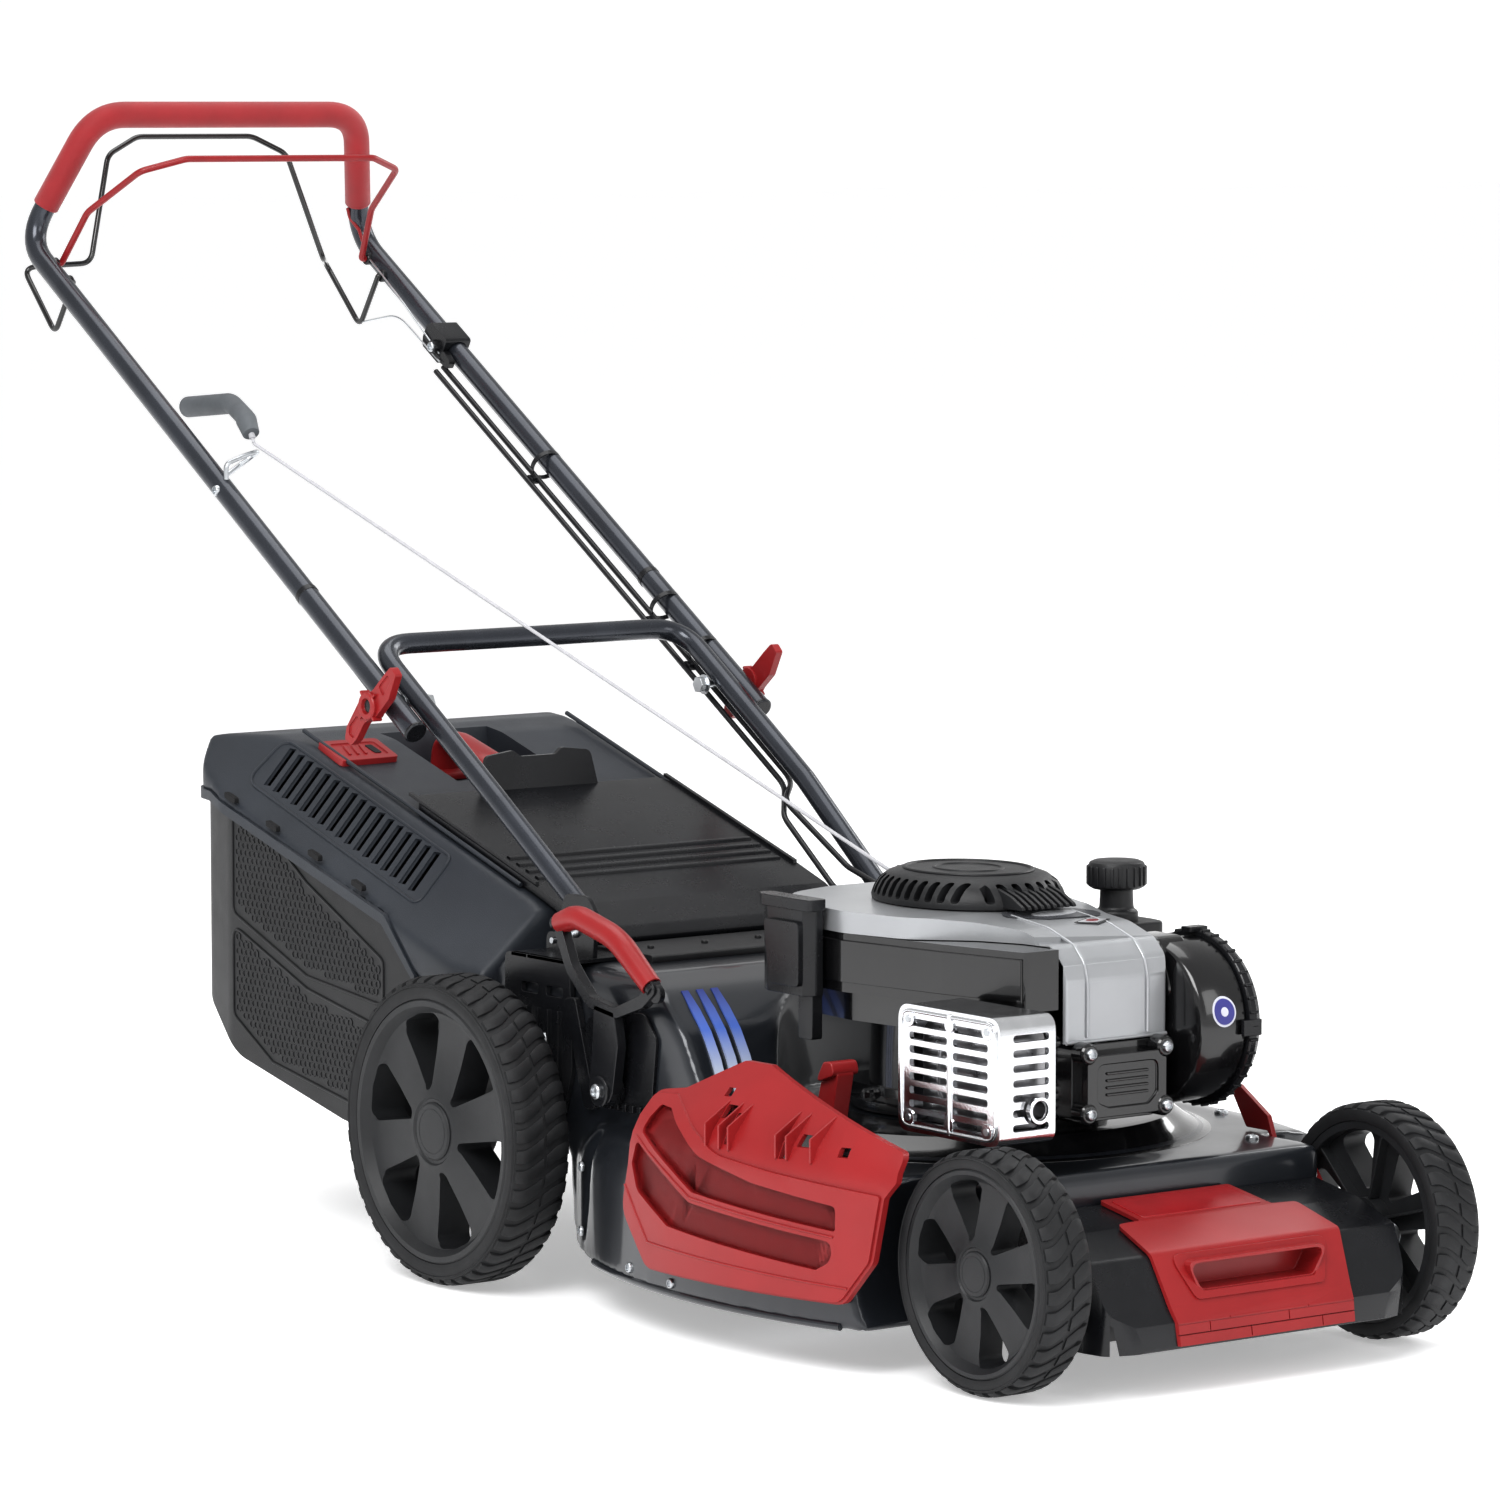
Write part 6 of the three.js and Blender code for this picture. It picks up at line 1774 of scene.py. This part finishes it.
def add_catcher_base():
    seam = [(1250, 401), (1166, 396.5), (862, 308.5), (812, 257.5), (718, 257.5)]
    low = [(718, 186), (748, 164), (778, 116), (806, 100), (940, 112), (1120, 152), (1196, 206), (1240, 320)]
    outline = seam[::-1] + low[::-1]
    radii = [2, 10, 20, 20, 2, 60, 50, 60, 60, 24, 20, 20, 4]
    outer = carve(slab(round_corners(outline, radii, 5), -260, 260),
                  ("keep", slab(catcher_plan(5), 50, 500, "Z")))
    low_in = [(715, 190), (750, 168), (782, 120), (808, 104.4), (939, 116), (1118, 156), (1191.5, 209),
              (1236, 322)]
    outline_in = [(1241, 402), *low_in[::-1], (700, 190), (700, 520), (1241, 520)]
    inner = carve(slab(outline_in, -260, 260), ("keep", slab(catcher_plan(8.4), 50, 600, "Z")))
    inner = carve(inner, ("cut", block(-300, 300, 690, 722, 0, 600)),
                  ("join", block(-196, 196, 690, 730, 192, 270)))
    body = carve(outer, ("cut", inner))
    piece("catcher_base_shell", body, "catcher", "black_plastic", ["catcher_base"], bevel=4,
          segments=3, sharp=30)


def base_side_x(y):
    """Half width of the catcher's lower shell at y."""
    flat_end = CATCHER_END - 111
    if y <= flat_end:
        return CATCHER_HALF - 5
    t = min(1.0, (y - flat_end) / 106)
    return CATCHER_HALF - 5 - 40 * t ** 2.4


def inside(point, outline):
    """Whether a point lies in an outline."""
    x, y = point
    found = False
    for (x0, y0), (x1, y1) in zip(outline, outline[1:] + outline[:1]):
        if (y0 > y) != (y1 > y) and x < (x1 - x0) * (y - y0) / (y1 - y0) + x0:
            found = not found
    return found


HOLE_FIELDS = [
    [(1120, 372), (1120, 296), (1000, 250), (880, 232), (880, 262), (1000, 318), (1060, 356)],
    [(1120, 268), (1120, 196), (1060, 160), (880, 128), (880, 196), (1000, 218)],
]


def add_catcher_holes(look):
    """Fields of round air holes down both sides of the lower shell, in staggered rows."""
    pitch = look.hole_pitch / MM
    rise = pitch * math.sqrt(3) / 2
    for side, sign in (("right", -1), ("left", 1)):
        spots = bmesh.new()
        for j in range(int(300 / rise)):
            for i in range(int(300 / pitch)):
                y, z = 850 + (i + 0.5 * (j % 2)) * pitch, 110 + j * rise
                if any(inside((y, z), field) for field in HOLE_FIELDS):
                    spots.verts.new(at(sign * (base_side_x(y) - 0.2), y, z))
        turn = (0.0, math.radians(90) * sign, 0.0)
        tiles = repeat(spots, "holes", "black_plastic", Tile_Radius=pitch * MM * 0.545, Hole_Share=0.64,
                       Depth=0.0019, Lift=0.0009, Turn=turn)
        piece(f"catcher_perforation_{side}", tiles, "catcher", "black_plastic", sharp=30)
    bands = []
    for path in ([(1128, 384), (1060, 366), (1000, 328), (872, 268), (872, 226), (1000, 240), (1128, 288)],
                 [(1128, 276), (1000, 228), (872, 204), (872, 120), (1060, 152), (1128, 190)]):
        soft = round_corners(path, 10, 4)
        line = [(-base_side_x(y) - 0.2, y, z) for y, z in soft]
        one = tube([*line, line[0]], 1.5, 8)
        bands += [mirrored(one), one]
    piece("catcher_field_rims", merged(*bands), "catcher", "black_plastic")


def add_catcher_details():
    path = bend_path([(0, 1108, 404), (0, 1102, 446), (0, 1018, 423), (0, 1010, 381)], [0, 26, 26, 0], 8)
    grip = tube(path, 8, 24)
    bmesh.ops.scale(grip, vec=(2.1, 1, 1), verts=grip.verts)
    collars = merged(*[slab(round_corners([(y - 14, z - 6), (y + 14, z + 1), (y + 12, z + 8),
                                           (y - 14, z + 2)], 3, 3), -24, 24)
                       for y, z in ((1102, 408), (1014, 385))])
    piece("catcher_handle_grip", merged(grip, collars), "catcher", "red_plastic", ["catcher_handle"],
          bevel=1.2)

    def pad_point(x, y, z):
        slant = math.atan(0.3)
        return (x - 124, 1070 + y * math.cos(slant) - z * math.sin(slant),
                438.2 + y * math.sin(slant) + z * math.cos(slant))

    pad = slab(round_corners([(-36, -26), (30, -24), (34, 24), (-32, 24)], 5, 4), -2.5, 4, "Z", pad_point)
    dish_ = slab(round_corners([(-27, -16), (24, -16), (26, 16), (-24, 16)], 4, 4), 2.6, 6, "Z", pad_point)
    bars = [slab(round_corners([(a, -11), (a + 3, -11), (a + 9, 11), (a + 6, 11)], 1, 2), 2.0, 4.2, "Z",
                 pad_point) for a in (-18, -9, 0)]
    window = slab(round_corners([(12, -10), (20, -10), (20, 10), (12, 10)], 2, 2), 1.8, 3.4, "Z", pad_point)
    piece("fill_indicator_pad", merged(carve(pad, ("cut", dish_)), *bars), "fill_indicator", "red_plastic",
          ["fill_indicator"], bevel=0.7)
    piece("fill_indicator_window", window, "fill_indicator", "recess", bevel=0.4)


# ---------------------------------------------------------------- rear flap
def add_rear_flap():
    top = [(664, 312), (700, 330), (740, 343.6), (948, 409), (953, 406), (952, 402.6), (742, 336.4),
           (706, 324), (700, 314), (676, 296.4), (660, 296.4), (656, 302)]
    plate = slab(round_corners(top, [8, 14, 30, 2, 2, 1, 30, 10, 6, 8, 6, 4], 4), -150, 150)
    plan = round_corners([(-150, 640), (150, 640), (150, 930), (128, 960), (-128, 960), (-150, 930)],
                         [4, 4, 16, 16, 16, 16], 4)
    plate = carve(plate, ("keep", slab(plan, 250, 460, "Z")),
                  ("cut", tube([(-200, 668, 304), (200, 668, 304)], 3.4, 24)))
    tab = slab(round_corners([(-66, 0), (66, 0), (60, 36), (28, 40), (20, 34), (-20, 34), (-28, 40),
                              (-60, 36)], [2, 2, 8, 6, 6, 6, 6, 8], 4), 0, 5, "Y", lambda x, y,
               z: (x, 944 + y + z * 0.16, 404 + z))
    ridge = lambda y: slab(round_corners([(y, 338 + (y - 740) * 0.314), (y + 8, 340.4 + (y - 740) * 0.314),
                                          (y + 7, 347.6 + (y - 740) * 0.314),
                                          (y + 1, 345.8 + (y - 740) * 0.314)], 2, 3), -138, 138)
    steps = row(ridge(752), 4, (0, 15, 15 * 0.314), "black_plastic")
    sides = [slab([(742, 344), (948, 409), (948, 412), (742, 347.4)], x, x + 4) for x in (-149, 145)]
    plaque = slab(round_corners([(826, 364), (900, 387.4), (900, 389.4), (826, 366)], 0.5, 1), -70, 70)
    whole = merged(plate, tab, steps, *sides, plaque)
    piece("rear_flap_plate", whole, "rear_flap", "satin", ["rear_flap"], bevel=1.1, segments=2)
    piece("rear_flap_pin_rod", rod((-184, 668, 304), (184, 668, 304), 3), "deck", "steel", ["rear_flap_pin"],
          bevel=0.4)
    lip = slab(round_corners([(560, 290.6), (560, 299), (648, 299), (660, 290.6)], [3, 6, 6, 3], 3), -150,
               150)
    bumps = [turned([(0, 299), (3.4, 299), (3.0, 301.6), (0, 302)], (x, 604, 0), "Z", 16)
             for x in (-120, -60, 0, 60, 120)]
    piece("tunnel_top_cover", merged(lip, *bumps), "deck", "black_plastic", bevel=1)


# ---------------------------------------------------------------- brackets, axles and height lever
def add_brackets():
    for side, sign in (("right", -1), ("left", 1)):
        outline = round_corners([(590, 296), (586, 200), (612, 124), (660, 118), (676, 150), (690, 200),
                                 (690, 296)], [8, 20, 14, 14, 20, 20, 8], 4)
        plate = slab(outline, 214.4, 219.4)
        window = [slab(round_corners([(y, z), (y + 26, z), (y + 26, z + 9), (y, z + 9)], 3, 3), 200, 240)
                  for y, z in ((600, 262), (638, 262), (640, 226))]
        plate = carve(plate, ("cut", tube([(200, 642, 135.4), (240, 642, 135.4)], 6.5, 24)),
                      *[("cut", w) for w in window])
        shelf = block(150, 219.4, 592, 655, 292.4, 296)
        ear = slab(round_corners([(596, 294), (592, 336), (604, 350), (640, 350), (654, 294)],
                                 [2, 10, 10, 10, 2], 4), 184.8, 189.6)
        pin_ear = slab(round_corners([(656, 292.4), (656, 312), (680, 312), (680, 292.4)], [1, 9, 9, 1], 4),
                       176, 181)
        pin_base = block(176, 219.4, 656, 680, 292.4, 296)
        ribs = row(slab(round_corners([(604, 150), (607, 150), (607, 250), (604, 250)], 1, 2), 219, 222),
                   4, (0, 16, 0), "gloss_black")
        screws = merged(screw_head((219.4, 627, 223), (1, 0, 0), 6, 4),
                        screw_head((189.6, 622, 318), (1, 0, 0), 6.4, 4))
        bodies = [merged(plate, shelf, ear, pin_ear, pin_base, ribs), screws]
        if sign < 0:
            bodies = [mirrored_once(b) for b in bodies]
        piece(f"handle_bracket_{side}_plate", bodies[0], "deck", "satin", [f"handle_bracket_{side}"],
              bevel=1)
        piece(f"handle_bracket_{side}_screws", bodies[1], "deck", "steel", bevel=0.3)


def axle_shape(pivot, wheel_y, wheel_z, inner_x, face_x):
    py, pz = pivot
    arm_x = inner_x - 9
    parts = [rod((-arm_x, py, pz), (arm_x, py, pz), 6)]
    turn = math.atan2(wheel_z - pz, wheel_y - py)
    outline = [(py + 11 * math.cos(turn + math.pi / 2 + k * math.pi / 12),
                pz + 11 * math.sin(turn + math.pi / 2 + k * math.pi / 12)) for k in range(13)]
    outline += [(wheel_y + 11 * math.cos(turn - math.pi / 2 + k * math.pi / 12),
                 wheel_z + 11 * math.sin(turn - math.pi / 2 + k * math.pi / 12)) for k in range(13)]
    for sign in (-1, 1):
        parts.append(rod((sign * (arm_x - 4), wheel_y, wheel_z), (sign * (face_x - 9), wheel_y, wheel_z), 6))
        parts.append(slab(outline, sign * arm_x - 3.5, sign * arm_x + 3.5))
    return merged(*parts)


def add_axles():
    front = axle_shape((-48, 98.0), 0, FRONT_R, 187, 238)
    rear = axle_shape((REAR_Y - 48, REAR_R - 3.6), REAR_Y, REAR_R, 242, 303)
    piece("front_axle_bar", front, "front_axle", "steel", ["front_axle"], bevel=0.7)
    piece("rear_axle_bar", rear, "rear_axle", "steel", ["rear_axle"], bevel=0.7)


LEVER_X = -231
LEVER_PIVOT = (520, 190)
LEVER_ARC = [(594, 330), (560, 340), (500, 326), (446, 286)]


def add_lever():
    loop = round_corners([(590, 325), (572, 290), (540, 262), (498, 256), (458, 270), (438, 286),
                          (446, 298), (462, 281), (500, 266), (536, 272), (564, 298), (580, 330)],
                         [4, 20, 24, 20, 14, 6, 6, 10, 18, 18, 14, 3], 5)
    stem = round_corners([(500, 262), (494, 232), (502, 190), (508, 180), (532, 180), (538, 190),
                          (532, 232), (530, 266)], [0, 16, 8, 8, 8, 8, 16, 0], 4)
    path = bend_path([(LEVER_X, y, z) for y, z in LEVER_ARC], [0, 40, 90, 0], 8)
    core = tube(path, 7.2, 20)
    boss = tube([(LEVER_X + 12, *LEVER_PIVOT), (LEVER_X - 7, *LEVER_PIVOT), (LEVER_X - 8, *LEVER_PIVOT)],
                [14, 14, 12.6], 32)
    heads = tube([(LEVER_X - 3, 442, 284), (LEVER_X + 3, 442, 284)], 8.5, 20)
    body = merged(slab(loop, LEVER_X - 5, LEVER_X + 5), slab(stem, LEVER_X - 5, LEVER_X + 5), core, boss,
                  heads)
    piece("height_lever_frame", body, "height_lever", "satin", ["height_lever"], bevel=1.4, segments=3)
    keep = [p for p in path if 452 < p.y < 586]
    start = Vector((LEVER_X, 588, 331.6))
    end = Vector((LEVER_X, 450, 289.4))
    line = [start, *keep, end]
    widths = [9.2] + [10.7] * len(keep) + [9.6]
    grip = tube(line, widths, 28, hollow=7.4)
    piece("lever_grip_sleeve", grip, "height_lever", "red_plastic", ["lever_grip"], bevel=1)
    pin = merged(rod((-214.4, *LEVER_PIVOT), (-241, *LEVER_PIVOT), 5),
                 screw_head((-240, *LEVER_PIVOT), (-1, 0, 0), 7, 3.4))
    piece("lever_pin_bolt", pin, "deck", "steel", ["lever_pin"], bevel=0.4)
    rack = slab(round_corners([(548, 168), (566, 168), (598, 262), (580, 266)], 6, 3), -221, -214.2)
    guide = slab(round_corners([(470, 172), (560, 172), (574, 204), (566, 250), (480, 262), (462, 240)],
                               [10, 10, 14, 14, 14, 12], 4), -217.5, -214.1)
    teeth_in = row(slab(round_corners([(470, 172), (476, 172), (476, 179), (470, 179)], 1, 2), -221, -215),
                   8, (0, 11, 0), "satin")
    piece("lever_rack", merged(rack, guide, teeth_in), "deck", "satin", bevel=1)


# ---------------------------------------------------------------- printed stripes and labels
def add_stripes():
    made = Finish("blue to white stripe print", (0.05, 0.12, 0.55), 0.3)
    split = made.node("ShaderNodeSeparateXYZ")
    made.link(made.place, split.inputs[0])
    low, high = at(0, 0, 214).z, at(0, 0, 280).z
    span = made.node("ShaderNodeMapRange")
    span.inputs["From Min"].default_value = low
    span.inputs["From Max"].default_value = high
    made.link(split.outputs["Z"], span.inputs["Value"])
    ramp = made.node("ShaderNodeValToRGB")
    ramp.color_ramp.elements[0].color = (0.62, 0.68, 0.80, 1)
    ramp.color_ramp.elements[1].color = (0.015, 0.035, 0.22, 1)
    middle = ramp.color_ramp.elements.new(0.55)
    middle.color = (0.10, 0.19, 0.60, 1)
    made.link(span.outputs[0], ramp.inputs["Fac"])
    made.paint(ramp.outputs["Color"])
    made.coat(0.4, 0.1)
    slope = [(396, 190), (402, 201), (416, 226), (430, 248), (449, 265), (468, 279.6)]
    stripes = []
    for k in range(3):
        x = -196 + k * 16
        rows = [(x + (5 if t < 3 else 3), y, z, 4.8) for t, (y, z) in enumerate(slope)]
        bm = bmesh.new()
        rings = []
        for n, (xx, y, z, wide) in enumerate(rows):
            lean = n * 2.0
            share = 1.0 if 0 < n < len(rows) - 1 else 0.75
            nrm = Vector((0, -0.8, 0.6))
            ring_here = [bm.verts.new(at(*(Vector((xx + lean + s * wide * share, y, z)) + nrm * h)))
                         for s, h in ((-1, -1.2), (1, -1.2), (1, 1.3), (-1, 1.3))]
            rings.append(ring_here)
        join_rings(bm, rings)
        bm.faces.new(rings[0][::-1])
        bm.faces.new(rings[-1])
        stripes.append(outward(bm))
    piece("tunnel_stripes", merged(*stripes), "deck", made.material)


# ---------------------------------------------------------------- settings
def colour(name, description, default):
    return FloatVectorProperty(name=name, description=description, subtype="COLOR", size=3, min=0.0,
                               max=1.0, default=default)


class MowerColours(PropertyGroup):
    """Base colours of the main finishes, as linear values."""
    red: colour("Red plastic", "Side cover, front panel, lever grip and knobs", (0.30, 0.017, 0.019))
    foam: colour("Foam grip", "Sleeve on the handle's top bar", (0.31, 0.012, 0.017))
    wire: colour("Red bail", "Coated wire of the stop bail", (0.27, 0.014, 0.017))
    catcher: colour("Grass box", "Blue-grey moulded grass box", (0.030, 0.035, 0.044))
    deck: colour("Deck paint", "Metallic charcoal coat of the deck", (0.020, 0.023, 0.029))
    silver: colour("Silver cowl", "Metallic plastic of the engine cowl", (0.42, 0.43, 0.445))


class MowerSizes(PropertyGroup):
    """Sizes of the repeated details."""
    tread_per_mm: FloatProperty(name="Tread density",
                                description="Tread blocks per millimetre of tyre radius", default=0.34,
                                min=0.15, max=0.6)
    hole_pitch: FloatProperty(
        name="Grass box hole pitch", description="Distance between the holes in the side of the grass box",
        default=0.0078, min=0.005, max=0.02, subtype="DISTANCE", unit="LENGTH")
    floor_reach: FloatProperty(
        name="Floor reach", description="Distance from the middle to the edge of the studio floor",
        default=60.0, min=10.0, max=200.0, subtype="DISTANCE", unit="LENGTH")


class MowerLights(PropertyGroup):
    """Strengths of the studio lights."""
    sky: FloatProperty(name="Sky", description="Strength of the even light from all round", default=0.62,
                       min=0.0)
    glow: FloatProperty(name="Floor glow", description="Light given off by the white floor", default=0.42,
                        min=0.0)
    key: FloatProperty(name="Key", description="Large soft light on the handle side", default=120.0,
                       min=0.0, unit="POWER")
    front: FloatProperty(name="Front", description="Low soft light ahead of the mower", default=20.0,
                         min=0.0, unit="POWER")
    top: FloatProperty(name="Top", description="Soft light straight above", default=40.0, min=0.0,
                       unit="POWER")
    far: FloatProperty(name="Far side", description="Soft light on the far side", default=30.0, min=0.0,
                       unit="POWER")


# ---------------------------------------------------------------- operators
class MOWER_OT_finishes(Operator):
    """Mix the finishes and give every part its finish"""
    bl_idname = "mower.finishes"
    bl_label = "Finishes"

    def execute(self, context):
        mix_finishes(context.scene.mower_colours)
        draw_patterns()
        dress_frame()
        return {"FINISHED"}


class MOWER_OT_wheels(Operator):
    """Build the four treaded tyres, their rims and the hub nuts"""
    bl_idname = "mower.wheels"
    bl_label = "Wheels"

    def execute(self, context):
        add_tyres(context.scene.mower_sizes)
        add_rims()
        return {"FINISHED"}


class MOWER_OT_handle(Operator):
    """Build the handle tubes, the foam grip and the small guides on them"""
    bl_idname = "mower.handle"
    bl_label = "Handle"

    def execute(self, context):
        add_tubes()
        add_foam_grip()
        add_cable_clamp()
        add_ties_and_guides()
        return {"FINISHED"}


class MOWER_OT_bails(Operator):
    """Build the red stop bail and the black drive bail"""
    bl_idname = "mower.bails"
    bl_label = "Bails"

    def execute(self, context):
        add_bails()
        return {"FINISHED"}


class MOWER_OT_starter(Operator):
    """Build the starter grip with the rope's knot"""
    bl_idname = "mower.starter"
    bl_label = "Starter grip"

    def execute(self, context):
        add_starter_grip()
        return {"FINISHED"}


class MOWER_OT_cords(Operator):
    """Build the starter rope and the two control cables"""
    bl_idname = "mower.cords"
    bl_label = "Rope and cables"

    def execute(self, context):
        add_cords()
        return {"FINISHED"}


class MOWER_OT_knobs(Operator):
    """Build the clamps and knobs that hold the folded joint"""
    bl_idname = "mower.knobs"
    bl_label = "Fold knobs"

    def execute(self, context):
        add_fold_knobs()
        return {"FINISHED"}


class MOWER_OT_cowl(Operator):
    """Build the engine cowl and its printed marks"""
    bl_idname = "mower.cowl"
    bl_label = "Engine cowl"

    def execute(self, context):
        add_cowl()
        add_decals()
        return {"FINISHED"}


class MOWER_OT_blower(Operator):
    """Build the blower housing and the slotted vent dome on it"""
    bl_idname = "mower.blower"
    bl_label = "Blower"

    def execute(self, context):
        add_blower()
        add_vent_dome()
        return {"FINISHED"}


class MOWER_OT_fuel(Operator):
    """Build the fuel tank, its neck and its ribbed cap"""
    bl_idname = "mower.fuel"
    bl_label = "Fuel tank"

    def execute(self, context):
        add_fuel_parts()
        return {"FINISHED"}


class MOWER_OT_filter(Operator):
    """Build the air filter drum and its ribbed lid"""
    bl_idname = "mower.air_filter"
    bl_label = "Air filter"

    def execute(self, context):
        add_filter()
        return {"FINISHED"}


class MOWER_OT_block(Operator):
    """Build the engine block, the valve cover and the rotor below"""
    bl_idname = "mower.block"
    bl_label = "Engine block"

    def execute(self, context):
        add_block()
        add_valve_cover()
        add_rotor()
        return {"FINISHED"}


class MOWER_OT_muffler(Operator):
    """Build the muffler and its slotted guard"""
    bl_idname = "mower.muffler"
    bl_label = "Muffler"

    def execute(self, context):
        add_muffler()
        return {"FINISHED"}


class MOWER_OT_bracket(Operator):
    """Build the bracket that carries the engine brake"""
    bl_idname = "mower.brake_bracket"
    bl_label = "Brake bracket"

    def execute(self, context):
        add_brake_bracket()
        return {"FINISHED"}


class MOWER_OT_deck(Operator):
    """Build the deck shell, the dome under the engine, the bolts and the stripes"""
    bl_idname = "mower.deck"
    bl_label = "Deck"

    def execute(self, context):
        add_deck()
        add_dome()
        add_deck_bolts()
        add_stripes()
        return {"FINISHED"}


class MOWER_OT_nose(Operator):
    """Build the front bumper and the red panel on it"""
    bl_idname = "mower.nose"
    bl_label = "Front bumper"

    def execute(self, context):
        add_bumper()
        add_front_panel()
        return {"FINISHED"}


class MOWER_OT_cover(Operator):
    """Build the red side cover with its hinges and latch"""
    bl_idname = "mower.side_cover"
    bl_label = "Side cover"

    def execute(self, context):
        add_side_cover()
        return {"FINISHED"}


class MOWER_OT_catcher(Operator):
    """Build the grass box: base, lid, holes, handle and fill indicator"""
    bl_idname = "mower.catcher"
    bl_label = "Grass box"

    def execute(self, context):
        add_catcher_lid()
        add_catcher_base()
        add_catcher_holes(context.scene.mower_sizes)
        add_catcher_details()
        return {"FINISHED"}


class MOWER_OT_flap(Operator):
    """Build the ribbed flap over the rear outlet"""
    bl_idname = "mower.rear_flap"
    bl_label = "Rear flap"

    def execute(self, context):
        add_rear_flap()
        return {"FINISHED"}


class MOWER_OT_running_gear(Operator):
    """Build the handle brackets and the two axles"""
    bl_idname = "mower.running_gear"
    bl_label = "Brackets and axles"

    def execute(self, context):
        add_brackets()
        add_axles()
        return {"FINISHED"}


class MOWER_OT_lever(Operator):
    """Build the cutting height lever, its grip and its toothed rack"""
    bl_idname = "mower.height_lever"
    bl_label = "Height lever"

    def execute(self, context):
        add_lever()
        return {"FINISHED"}


class MOWER_OT_stage(Operator):
    """Lay the pale floor, hang the soft lights and set up the camera"""
    bl_idname = "mower.stage"
    bl_label = "Stage"

    def execute(self, context):
        build_stage(context.scene.mower_lights, context.scene.mower_sizes.floor_reach)
        return {"FINISHED"}


OPERATORS = (
    MOWER_OT_finishes, MOWER_OT_wheels, MOWER_OT_handle, MOWER_OT_bails, MOWER_OT_starter, MOWER_OT_cords,
    MOWER_OT_knobs, MOWER_OT_cowl, MOWER_OT_blower, MOWER_OT_fuel, MOWER_OT_filter, MOWER_OT_block,
    MOWER_OT_muffler, MOWER_OT_bracket, MOWER_OT_deck, MOWER_OT_nose, MOWER_OT_cover, MOWER_OT_catcher,
    MOWER_OT_flap, MOWER_OT_running_gear, MOWER_OT_lever, MOWER_OT_stage,
)
GROUPS = {"mower_colours": MowerColours, "mower_sizes": MowerSizes, "mower_lights": MowerLights}


class MOWER_PT_panel(Panel):
    """Sidebar panel with the mower's settings and its building steps"""
    bl_idname = "MOWER_PT_panel"
    bl_label = "Lawn mower"
    bl_space_type = "VIEW_3D"
    bl_region_type = "UI"
    bl_category = "Lawn mower"

    def draw(self, context):
        for group, kind in GROUPS.items():
            box = self.layout.box()
            for prop in kind.__annotations__:
                box.prop(getattr(context.scene, group), prop)
        for step in OPERATORS:
            self.layout.operator(step.bl_idname)


def register():
    for kind in (*GROUPS.values(), *OPERATORS, MOWER_PT_panel):
        bpy.utils.register_class(kind)
    for group, kind in GROUPS.items():
        setattr(bpy.types.Scene, group, PointerProperty(type=kind))


def unregister():
    for group in GROUPS:
        delattr(bpy.types.Scene, group)
    for kind in reversed((*GROUPS.values(), *OPERATORS, MOWER_PT_panel)):
        bpy.utils.unregister_class(kind)


def main():
    register()
    for step in OPERATORS:
        family, name = step.bl_idname.split(".")
        getattr(getattr(bpy.ops, family), name)()


if __name__ == "__main__":
    main()
